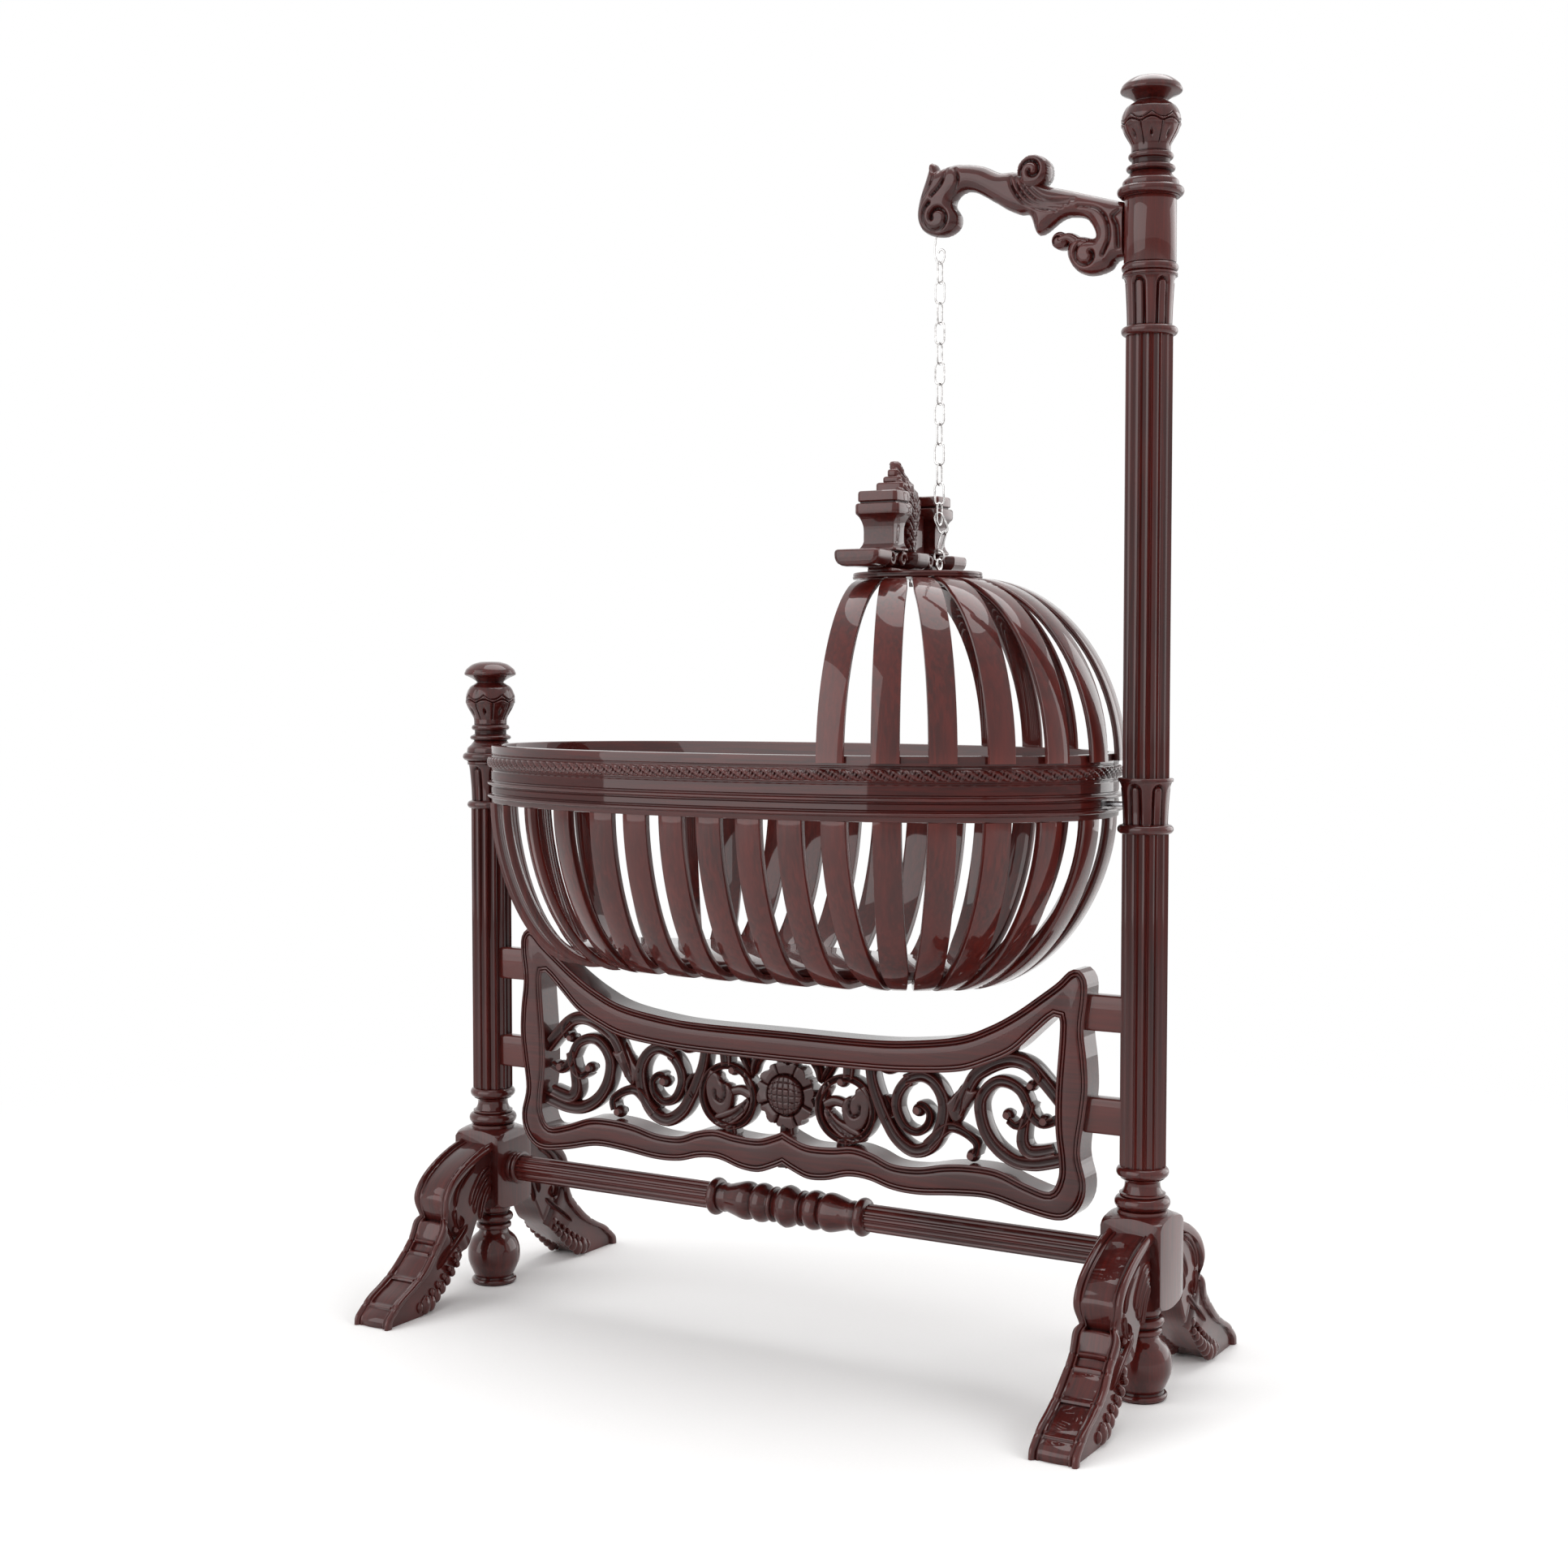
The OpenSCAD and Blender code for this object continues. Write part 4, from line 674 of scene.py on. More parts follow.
@dataclass(frozen=True)
class Lacquer:
    """Stained hardwood under clear gloss lacquer.

    Attributes:
        name: The finish's name.
        grain: How far the grain is drawn out along each axis, where small is long.
        deep: The stain in pores and in the grain's dark figure; the hollows are painted darker
            still, partly stain and partly painted shade.
        body: The stain's main colour.
        warm: The colour where the stain is thin, in the figure; sharp edges get a paler tint,
            partly wear and partly painted highlight.
        coat: The weight of the clear coat.
    """

    name: str
    grain: Spot
    deep: Colour = rgb(46, 9, 7)
    body: Colour = rgb(66, 14, 10)
    warm: Colour = rgb(90, 22, 14)
    coat: float = 0.9

    def make(self) -> bpy.types.Material:
        """Build the finish's material."""
        r = Recipe(bpy.data.materials.new(self.name))
        place = r.place()
        along = r.node("ShaderNodeMapping", Vector=place, Scale=self.grain)
        figure = r.noise(along, 34, 4, 0.55, 0.6)
        streak = r.noise(along, 210, 3, 0.6, 0.25)
        pore = r.noise(along, 620, 2, 0.5)
        cloud = r.noise(place, 5.5, 3, 0.5)
        # Mask of the hollows. Its darkening is partly stain that collects there and partly painted
        # shade.
        hollow = r.hollows(0.41, 0.497)
        tone = r.mix(figure.between(0.36, 0.66), self.deep, self.body)
        tone = r.mix(streak.between(0.38, 0.62) * 0.5, tone, self.body)
        tone = r.mix((streak + cloud * 0.6).between(0.75, 1.05) * 0.45, tone, self.warm)
        tone = r.mix(pore.between(0.62, 0.74) * 0.22, tone, self.deep)
        # Painted shade, partly stain: the hollows are mixed towards near-black.
        tone = r.mix(hollow * 0.95, tone, rgb(12, 3, 3))
        # Paler tint on sharp edges: partly wear where the stain is thin, partly painted highlight.
        tone = r.mix(r.edges(0.53, 0.62) * 0.4, tone, rgb(108, 46, 39))
        rough = 0.34 + cloud * 0.12 + pore * 0.06 + hollow * 0.15
        bump = r.node("ShaderNodeBump", Strength=0.05, Distance=0.0004,
            Height=pore * 0.5 + streak * 0.3)
        # The coat is thinned in the hollows as well.
        coat = (self.coat + cloud * 0.1 - hollow * 0.8).maths("MAXIMUM", 0.0)
        return r.surface(Base_Color=tone, Roughness=rough, Normal=bump, Coat_Weight=coat,
            Coat_Roughness=0.035, Coat_IOR=1.42, Specular_IOR_Level=0.12)


@dataclass(frozen=True)
class Metal:
    """Bare or plated steel.

    Attributes:
        name: The finish's name.
        bright: The colour of the polished places.
        dull: The darker colour, in random worn patches and, at half strength, in hollows.
        rough: The lowest roughness.
        line: How far its polishing lines are drawn out along each axis.
    """

    name: str
    bright: Colour
    dull: Colour
    rough: float
    line: Spot = (1.0, 1.0, 1.0)

    def make(self) -> bpy.types.Material:
        """Build the finish's material."""
        r = Recipe(bpy.data.materials.new(self.name))
        place = r.place()
        fine = r.noise(r.node("ShaderNodeMapping", Vector=place, Scale=self.line), 900, 3, 0.6)
        broad = r.noise(place, 160, 3, 0.5)
        tone = r.mix((broad * 0.7 + fine * 0.5).between(0.45, 0.8), self.bright, self.dull)
        # Hollows are mixed halfway towards the dull colour.
        tone = r.mix(r.hollows(0.42, 0.5) * 0.5, tone, self.dull)
        rough = self.rough + fine * 0.12 + broad * 0.08
        bump = r.node("ShaderNodeBump", Strength=0.06, Distance=0.0002,
            Height=fine * 0.6 + broad * 0.4)
        return r.surface(Base_Color=tone, Roughness=rough, Normal=bump, Metallic=1.0)


class Finish(Enum):
    """The finishes, each with the record's slot that it belongs to."""

    POST = ("post_wood", Lacquer("Post lacquer", (1.0, 1.0, 0.045)))
    RAIL = ("post_wood", Lacquer("Rail lacquer", (0.045, 1.0, 1.0)))
    LEG = ("post_wood", Lacquer("Leg lacquer", (1.0, 0.09, 0.09)))
    FRAME = ("panel_wood", Lacquer("Panel lacquer", (0.045, 1.0, 1.0)))
    CARVING = ("carving_wood", Lacquer("Carving lacquer", (0.08, 1.0, 0.5), body=rgb(48, 9, 7),
        warm=rgb(68, 16, 11)))
    ARM = ("carving_wood", Lacquer("Arm lacquer", (0.06, 1.0, 0.6)))
    RIM = ("cradle_wood", Lacquer("Rim lacquer", (0.045, 0.12, 1.0)))
    SLAT = ("cradle_wood", Lacquer("Slat lacquer", (0.8, 0.8, 0.05), body=rgb(72, 16, 11),
        warm=rgb(94, 25, 16)))
    CROWN = ("cradle_wood", Lacquer("Crown lacquer", (1.0, 0.05, 1.0)))
    LEAF = ("carving_wood", Lacquer("Leaf lacquer", (1.0, 1.0, 0.08)))
    DOWEL = ("dowel_wood", Lacquer("Dowel wood", (1.0, 0.06, 1.0), deep=rgb(120, 84, 58),
        body=rgb(168, 128, 92), warm=rgb(192, 152, 112), coat=0.0))
    CHAIN = ("chain_steel", Metal("Plated chain steel", rgb(222, 220, 219), rgb(146, 143, 142),
        0.16))
    BOLT = ("chain_steel", Metal("Plated bolt steel", rgb(206, 207, 210), rgb(140, 140, 142), 0.16,
        (0.1, 1.0, 1.0)))
    PIVOT = ("pivot_steel", Metal("Dark brushed steel", rgb(120, 118, 118), rgb(66, 62, 62), 0.28,
        (1.0, 0.06, 1.0)))

    @property
    def slot(self) -> str:
        """The record's material slot."""
        return self.value[0]

    def apply(self, piece: Piece, angle: float) -> None:
        """Shade a piece, with faces up to an angle apart as one, and give it this finish."""
        take(piece)
        bpy.ops.object.shade_smooth_by_angle(angle=radians(angle))
        recipe = self.value[1]
        piece.data.materials.clear()
        piece.data.materials.append(bpy.data.materials.get(recipe.name) or recipe.make())


def dress(piece: Piece, finish: Finish, body: str, angle: float = 38) -> None:
    """Finish a new piece and put it in the place of its solid.

    Args:
        piece: The shaped mesh, whose name is its solid's and how it was made.
        finish: Its finish.
        body: The body that it moves with.
        angle: The angle up to which its faces are shaded as one.
    """
    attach(piece, body)
    finish.apply(piece, angle)
    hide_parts(piece.name.rpartition("_")[0])
    LOG.info("%s: %d faces on %s", piece.name, len(piece.data.polygons), body)


def move(x: float = 0, y: float = 0, z: float = 0) -> Change:
    """Give a change that shifts points."""
    return lambda p: p + (x, y, z)


def fluted(name: str, r: float, flutes: int, fine: int, depth: float, land: Flat,
        heights: Sequence[float], start: float = 0.0, nick: float = 0.0) -> Piece:
    """Carve a rod with round flutes along its length.

    Args:
        name: The piece's name.
        r: The rod's radius.
        flutes: The number of flutes.
        fine: The number of points across each flute and its land.
        depth: The flutes' depth.
        land: How far from its middle a flute is cut, and where its curve would end.
        heights: The heights of the sections.
        start: The angle at which the first flute begins.
        nick: The depth of the line along the middle of each land.

    Returns:
        The rod, upright.
    """
    i = np.arange(flutes * fine)
    u = (i % fine) / fine * 2 - 1
    scoop = np.sqrt(np.clip(1 - (u / land[1]) ** 2, 0, 1)) * (np.abs(u) < land[0])
    radius = r - depth * scoop - nick * (np.abs(u) > 0.97)
    a = i / len(i) * TAU + start
    return loft(name, [xyz(radius * np.cos(a), radius * np.sin(a), z) for z in heights])


# --- The stand: posts ---

@dataclass
class Post:
    """One turned and fluted post, from its foot to its finial.

    Attributes:
        side: 1 for the tall post at the head and -1 for the short one.
        foot_d to finial_h: The widths and heights of its turned parts, from the foot up.
        flutes: The number of flutes round a shaft.
        flute_depth: The flutes' depth.
        steps: The number of steps round a turning.
    """

    side: int
    foot_d: float = 87.0
    foot_h: float = 132.0
    block_w: float = 89.0
    block_h: float = 132.0
    neck_h: float = 66.0
    shaft_d: float = 65.0
    shaft_h: float = 467.0
    upper_h: float = 609.0
    ring_d: float = 78.0
    ring_h: float = 13.0
    cup_h: float = 78.0
    top_cup_h: float = 86.0
    lip_d: float = 77.0
    sleeve_r: float = 36.0
    sleeve_h: float = 89.0
    finial_h: float = 165.0
    flutes: int = 14
    flute_depth: float = 5.4
    steps: int = 96

    def finish(self, piece: Piece, part: str, z: float, angle: float = 38) -> None:
        """Set a part on its post at height z and finish it.

        Args:
            piece: The piece.
            part: The part's name.
            z: Its height.
            angle: The largest angle that is shaded smooth, in degrees.
        """
        shape(piece, move(self.side * POST_X, 0, z))
        piece.name = ("tall_" if self.side > 0 else "short_") + part + "_carved"
        dress(piece, Finish.POST, "stand", angle)

    def foot(self) -> None:
        """Turn the vase foot."""
        r, h = self.foot_d / 2, self.foot_h
        line = [(r - 9, 0.0)] + half_bead(r - 10.5, h * 0.038, h * 0.033)
        line += smooth(spots(r, 0, [(-12, 0.09), (-7.5, 0.16), (-1.5, 0.27), (0, 0.37),
            (-1.5, 0.47), (-7.5, 0.57), (-17.5, 0.645), (-19.5, 0.69)], kz=h), 7)
        line += spots(r, 0, [(-15, 0.708), (-14.4, 0.718), (-14.4, 0.746), (-15.2, 0.756),
            (-19, 0.77)], kz=h)
        line += half_bead(r - 18.5, h * 0.84, h * 0.055)
        line += spots(r, 0, [(-18.5, 0.905), (-16.4, 0.925), (-16, 0.94), (-16, 1)], kz=h)
        self.finish(turned("foot", line, self.steps), "foot", 0)

    def block(self) -> None:
        """Turn the block's arched ends and saw its four faces."""
        half, h = self.block_w / 2, self.block_h
        top_r = self.block_w * 0.715
        ends = smooth([(half - 3, 0.2), (half + 4, 3), (top_r - 6, 7), (top_r, 15)], 6)
        line = ends + [(r, h - z) for r, z in reversed(ends)]
        piece = turned("block", line, 128)
        for nx, ny in ((1, 0), (-1, 0), (0, 1), (0, -1)):
            slice_off(piece, (nx * half, ny * half, 0), (nx, ny, 0))
        close(piece, caps=False)
        soften(piece, 1.3, 50)
        self.finish(piece, "block", self.foot_h, 24)

    def neck(self) -> None:
        """Turn the rings and the throat between block and shaft."""
        h, throat = self.neck_h, self.shaft_d / 2 - 7.5
        ring = self.ring_d / 2
        line = [(self.block_w / 2 - 9, 0.0), (self.block_w / 2 - 9, 4.4), (ring - 5.5, 5.2)]
        line += half_bead(ring - 9, 15, 9.3)[1:]
        line += [(ring - 6.5, 25.6), (ring - 6.5, 28)]
        line += smooth([(ring - 10, 29), (throat + 1, 35), (throat, h - 25), (throat + 1, h - 21),
            (throat + 6, h - 17)], 6)
        line += half_bead(ring - 10, h - 8, 8)
        self.finish(turned("neck", line, self.steps), "neck", self.foot_h + self.block_h)

    def shaft(self, part: str, z: float, h: float) -> None:
        """Carve a fluted shaft of height h that stands at height z.

        Args:
            part: The part's name.
            z: Its height.
            h: Its height.
        """
        piece = fluted(part, self.shaft_d / 2, self.flutes, 16, self.flute_depth, (0.86, 0.87),
            np.linspace(0, h, 7), TAU / self.flutes / 2, 0.9)
        self.finish(piece, part, z, 28)

    def cup_line(self, h: float, lip: float) -> List[Flat]:
        """Give a cup's profile, up to its lip."""
        body, low = self.shaft_d / 2 - 0.8, self.ring_h
        line = half_bead(self.ring_d / 2 - low / 2, low / 2, low / 2)
        line += smooth([(body, low + 1), (body + 1, h * 0.5), (lip - 3, h - 9), (lip, h - 5)], 14)
        return line + spots(lip, h, [(0, -4.6), (-0.6, -3.9), (0, -3.2), (0, -1.4), (-0.7, -0.4),
            (-1.8, 0)])

    def recess(self, p: Array, h: float) -> Array:
        """Carve six arched recesses, each a groove round a raised field.

        Args:
            p: The points.
            h: Its height.

        Returns:
            The carved points.
        """
        r = np.hypot(p[:, 0], p[:, 1])
        a = np.degrees(np.arctan2(p[:, 1], p[:, 0]))
        u = ((a - 24 + 30) % 60 - 30) * pi / 180 * np.maximum(r, 1)
        low, top, half = self.ring_h + 1.0, h - 18.0, 9.6
        v = p[:, 2]
        d = np.where(v > top, np.hypot(u, v - top), np.abs(u)) - half
        groove = hill(d + 1.9, 2.1)
        field = (d < -2.2) * (0.5 + 0.25 * np.clip(-d / half, 0, 1))
        wall = (v > low) & (v < h - 6) & (r > 20)
        cut = np.where(wall, 4.8 * groove + field, 0.0)
        scale = (r - cut) / np.maximum(r, 1e-6)
        return p * xyz(scale, scale, 1.0)

    def cup(self, part: str, z: float, h: float, lip: float) -> None:
        """Turn and carve the cup that takes the cradle's pivot, or the one under the sleeve.

        Args:
            part: The part's name.
            z: Its height.
            h: Its height.
            lip: The lip's radius.
        """
        piece = turned(part, self.cup_line(h, lip), 216)
        shape(piece, lambda p: self.recess(p, h))
        if part == "top_cup":
            low = self.ring_h / 2
            ring = half_bead(self.ring_d / 2 - low, h + low, low)
            upper = turned("ring", [(self.shaft_d / 2 - 6, h - 0.5)] + ring, self.steps)
            piece = join(part, [piece, upper])
        self.finish(piece, part, z)

    def petals(self, p: Array, h: float, ball: float) -> Array:
        """Carve the finial's ball: petals above and below a notched line.

        Args:
            p: The points.
            h: Its height.
            ball: The ball's radius.

        Returns:
            The carved points.
        """
        r = np.hypot(p[:, 0], p[:, 1])
        a = np.arctan2(p[:, 1], p[:, 0])
        v = p[:, 2] / h
        petals = 8
        turn = a * petals / 2
        on = ease(v, 0.40, 0.44) * (1 - ease(v, 0.765, 0.785)) * (r > ball - 18)
        arch = np.abs(np.sin(turn))
        seam = hill(v - 0.592 - 0.03 * arch ** 1.5, 0.0075)
        over = hill(v - 0.665 + 0.045 * np.abs(np.cos(turn)), 0.007)
        over = over * (v > 0.6)
        ribs = hill(np.sin(turn), 0.1)
        lower = 1 - ease(v, 0.575, 0.592)
        hollow = hill(v - 0.505, 0.03) * hill(np.cos(turn), 0.26)
        swell = 0.9 * (1 - arch) * ease(v, 0.60, 0.63)
        cut = 3.2 * seam + 2.0 * over + swell + lower * (2.0 * ribs + 4.2 * hollow + 1.0)
        scale = (r - on * cut) / np.maximum(r, 1e-6)
        return p * xyz(scale, scale, 1.0)

    def finial(self, z: float) -> None:
        """Turn and carve the finial."""
        h, foot, ball, cap = self.finial_h, 46.0, 41.0, 42.5
        line = [(foot - 9, 0.0), (foot - 6, 0.4)] + half_bead(foot - h * 0.04, h * 0.05, h * 0.04)
        line += smooth(spots(foot, 0, [(-7, 0.1), (-8, 0.135), (-14, 0.17), (-19, 0.21)], kz=h), 6)
        line += half_bead(foot - 16, h * 0.24, h * 0.022, 8)
        line += [(foot - 20, h * 0.275), (foot - 20, h * 0.305)]
        line += half_bead(foot - 19.5, h * 0.34, h * 0.028, 8)
        line += smooth(spots(ball, 0, [(-14, 0.38), (-13.4, 0.42), (-9, 0.475), (-3, 0.54),
            (-0.2, 0.59), (0, 0.635), (-2, 0.69), (-7, 0.745), (-14, 0.775)], kz=h), 10)
        line += smooth(spots(cap, 0, [(-20, 0.79), (-20, 0.8), (-12, 0.835), (-1.5, 0.865),
            (0, 0.885)], kz=h), 6)
        line += smooth(spots(cap, 0, [(0, 0.885), (-1, 0.9), (-4, 0.93), (-14, 0.975),
            (-26, 0.998)], kz=h), 6)[1:] + [(2.0, h)]
        piece = turned("finial", line, 240)
        shape(piece, lambda p: self.petals(p, h, ball))
        self.finish(piece, "finial", z)

    def sleeve(self, z: float) -> None:
        """Turn the plain sleeve that carries the arm."""
        line = spots(self.sleeve_r, 0, [(-0.6, 0), (0, 0.8)])
        line += spots(self.sleeve_r, self.sleeve_h, [(0, -0.8), (-0.6, 0)])
        self.finish(turned("sleeve", line, self.steps), "sleeve", z)

    def build(self) -> None:
        """Build the post, each part standing on the last."""
        tall = self.side > 0
        self.foot()
        self.block()
        self.neck()
        z = self.foot_h + self.block_h + self.neck_h
        self.shaft("lower_shaft" if tall else "shaft", z, self.shaft_h)
        z += self.shaft_h
        self.cup("mid_cup" if tall else "cup", z, self.cup_h, self.lip_d / 2)
        z += self.cup_h
        if tall:
            self.shaft("upper_shaft", z, self.upper_h)
            z += self.upper_h
            self.cup("top_cup", z, self.top_cup_h, self.ring_d / 2 - 1)
            z += self.top_cup_h + self.ring_h
            self.sleeve(z)
            z += self.sleeve_h
        self.finial(z)


@dataclass
class Leg:
    """A scroll-backed leg with moulded top, pinched knees and carved cheeks.

    Attributes:
        side: The post that it stands by.
        way: -1 for the front leg and 1 for the back leg.
        width: Its width.
        reach: How far its toe lies from the post's axis.
        top: The height of its top.
        toe: How long it rests on the floor.
        half_block: Half the width of the block that it stands by.
    """

    side: int
    way: int
    width: float = 70.0
    reach: float = 310.0
    top: float = 247.0
    toe: float = 95.0
    half_block: float = 44.5

    def lines(self, count: int) -> Tuple[Array, Array]:
        """Give the back's and the belly's lines from the block to the toe.

        Args:
            count: The number of points.

        Returns:
            The two lines.
        """
        b, r, t = self.half_block, self.reach, self.top
        heel = r - self.toe
        back = smooth(spots(b, t, [(0, 0), (34, -9), (70, -24), (101, -44), (118, -66), (120, -88),
            (122, -108), (132, -130)]) + spots(r, t, [(-112, -155), (-90, -176), (-62, -194),
            (-32, -209), (-12, -225)]) + [(r - 2, 12), (r, 0)], 6)
        belly = smooth([(heel, 0), (heel - 22, 14), (heel - 55, 36)] + spots(b, 0,
            [(84, 60), (55, 86), (40, 112), (26, 132), (0, 152)]), 6)
        return resample(back, count), resample(belly[::-1], count)

    def rings(self) -> Array:
        """Give the leg's moulded sections."""
        count, w = 230, self.width / 2
        back, belly = self.lines(count)
        half = spots(w, 0, [(0, 10), (0, 4.6), (-1, 1.9), (-3, 0.3), (-5.2, 0.2), (-7.4, 1.6),
            (-9, 4.4), (-9.8, 5.8), (-10.8, 5), (-12.2, 4), (-13.6, 4.6), (-14.6, 6.4), (-18, 6),
            (-25, 5.2)])
        field = [(-u, k) for u, k in half] + [(0, 4.8)] + half[::-1]
        out = []
        for i in range(count):
            p, q = back[i], belly[i]
            thick = float(np.linalg.norm(q - p))
            d, z = (q - p) / thick, p[1]
            notch = exp(-(abs(z - 151) / 8.0) ** 1.5)
            ridge = sum(exp(-((z - c) / 1.8) ** 2) for c in (110.0, 94.0, 61.0, 29.0))
            well = sum(1.0 for a, b in ((97, 107), (32, 58)) if a < z < b)
            swell = sum(exp(-((z - c) / wide) ** 4) for c, wide in ((170, 13), (131, 13), (78, 12),
                (14, 10)))
            waist = 1 - 0.2 * exp(-((z - 150) / 11) ** 2) - 0.07 * exp(-((z - 104) / 20) ** 2)
            row = []
            for u, depth in field:
                inner = 1.0 if abs(u) < w - 14 else 0.0
                k = depth + notch * (9.0 + 6.0 * inner) + inner * (2.6 * well - 3.4 * ridge)
                k -= swell * (2.6 * inner * (1 - (u / w) ** 2) + (0.4 if inner else 0.0))
                k += 1.4 * (1 - inner) * ridge
                row.append((u * waist, p + d * min(k, thick * 0.45)))
            side, edge = w * waist, p + d * min(13.0, thick * 0.47)
            low, foot = p + d * min(15.0, thick * 0.5), p + d * (thick - 3)
            rim = [(side - 1.0, edge), (side - 6.0, low), (side - 6.0, foot), (side - 8.5, q)]
            row += rim + [(-u, m) for u, m in reversed(rim)]
            out.append([(u, m[0], m[1]) for u, m in row])
        return np.array(out)

    def cheeks(self) -> List[Piece]:
        """Carve a leaf, curls and a row of beads on each cheek."""
        back, belly = self.lines(60)
        pieces = []
        for s in (-1, 1):
            x = s * (self.width / 2 - 7.5)
            line = [belly[i] * 0.94 + back[i] * 0.06 for i in (56, 52, 48, 44, 40, 36, 32)]
            for k, q in enumerate(line):
                r = 15.5 - 1.5 * k
                pieces.append(ball(x, q[0] + 1.0, max(q[1], r + 0.3), 9.5 - 0.5 * k, r * 0.7, r))
                pieces.append(ball(x + s, q[0] + 15 - 0.8 * k, max(q[1] + 8, r * 0.6), 6.4,
                    r * 0.4, r * 0.6))
            for i, share, r in ((24, 0.52, 6.0), (29, 0.55, 5.2), (30, 0.8, 6.4), (20, 0.35, 5.0)):
                q = belly[i] * share + back[i] * (1 - share)
                pieces.append(ball(x, q[0], q[1], r * 0.7, r, r * 1.05))
            b, t = self.half_block, self.top
            for wide, path in ((15, [(2, -40), (24, -52), (44, -74), (54, -96)]), (14, [(2, -56),
                    (22, -70), (38, -92), (42, -112)]), (12, [(2, -70), (16, -86), (26, -108),
                    (28, -124)]), (13, [(40, -30), (66, -46), (86, -68), (92, -92)]), (8,
                    [(92, -92), (92, -112), (84, -126), (74, -118), (78, -106)]), (10, [(60, -124),
                    (82, -142), (108, -160), (136, -182)])):
                rings = band_rings(spots(b, t, path), wide * 1.15, wide * 0.55, LEAF, 7.0, 5, 0.2)
                pieces.append(loft("tongue", xyz(x - s + s * rings[..., 1], rings[..., 0],
                    rings[..., 2])))
        return pieces

    def build(self) -> None:
        """Build the leg beside its block."""
        name = ("tall_" if self.side > 0 else "short_") + ("front_leg" if self.way < 0
            else "back_leg")
        piece = join(name + "_carved", [loft("leg", self.rings()), *self.cheeks()])
        shape(piece, lambda p: p * (1, self.way, 1) + (self.side * POST_X, 0, 0))
        if self.way < 0:
            close(piece, caps=False)
        dress(piece, Finish.LEG, "stand", 42)


def ball(x: float, y: float, z: float, rx: float, ry: float, rz: float) -> Piece:
    """Add a carved bead, drawn out along each axis.

    Args:
        x: Its x.
        y: Its y.
        z: Its height.
        rx: Its radius along X.
        ry: Its radius along Y.
        rz: Its radius along Z.

    Returns:
        The piece.
    """
    clear()
    bpy.ops.mesh.primitive_uv_sphere_add(segments=16, ring_count=10, radius=MM)
    piece = bpy.context.object
    return shape(piece, lambda p: p * (rx, ry, rz) + (x, y, z))


# --- The stand: rail and panel ---

def along_x(side: int, x: float, z: float) -> Change:
    """Lay an upright turning along X, out from x on one side, at height z."""
    return lambda p: xyz(side * (x + p[:, 2]), p[:, 1], z - side * p[:, 0])


def along_y(x: float, z: float) -> Change:
    """Lay an upright turning along Y, with its middle at (x, 0, z)."""
    return lambda p: xyz(x + p[:, 0], p[:, 2], z - p[:, 1])


@dataclass
class Rail:
    """The fluted rail with its turned middle.

    Attributes:
        z: The height of its axis.
        middle: The half length of the turned middle.
        d: The rods' diameter.
        rod: A rod's length with its collar.
        collar: The collar's length.
        collar_d: The collar's diameter.
        flutes: The number of flutes round a rod.
        flute_depth: The flutes' depth.
    """

    z: float = 199.0
    middle: float = 140.0
    d: float = 42.0
    rod: float = 392.5
    collar: float = 18.0
    collar_d: float = 54.0
    flutes: int = 16
    flute_depth: float = 2.6

    def rods(self) -> None:
        """Carve both rods and turn their collars."""
        r, low, c = self.collar_d / 2, self.rod - self.collar, self.collar
        line = [(r - 5, low)] + half_bead(r - 4, low + c / 4, c / 4)
        line += [(r - 4, low + c * 0.52), (r - 1.4, low + c * 0.58), (r - 1, low + c * 0.64),
            (r - 1, low + c - 0.5), (r - 1.5, low + c)]
        for side, part in ((1, "rail_tall_rod"), (-1, "rail_short_rod")):
            rod = fluted("rod", self.d / 2, self.flutes, 12, self.flute_depth, (0.8, 0.82),
                np.linspace(0, low, 6))
            piece = join(part + "_carved", [rod, turned("collar", line, 72)])
            shape(piece, along_x(side, self.middle, self.z))
            dress(piece, Finish.RAIL, "stand", 28)

    def turning(self) -> None:
        """Turn the middle's bulb, rings and balusters."""
        r, m = self.d / 2, self.middle
        half = smooth([(33, 0), (30.5, 8), (r + 3, 17), (r + 1.5, 20)], 7)
        half += half_bead(r + 3, 25, 3.5)
        half += [(r + 2.2, 29.2), (r + 2.2, 31.5)]
        half += smooth([(r + 3, 33), (r + 8, 40), (r + 9.5, 48), (r + 7, 56), (r + 2, 60)], 7)
        half += smooth([(r + 3, 62), (r + 8, 68), (r + 9, 78), (r + 5, 94), (r + 1.5, 107),
            (r + 2, 114)], 7)
        half += half_bead(r + 0.5, m - 9, 8) + [(r - 0.6, m)]
        line = [(x, -z) for x, z in reversed(half[1:])] + half
        piece = turned("rail_middle_turned", line, 96)
        shape(piece, along_x(1, 0, self.z))
        dress(piece, Finish.RAIL, "stand")

    def build(self) -> None:
        """Build the rail."""
        self.rods()
        self.turning()


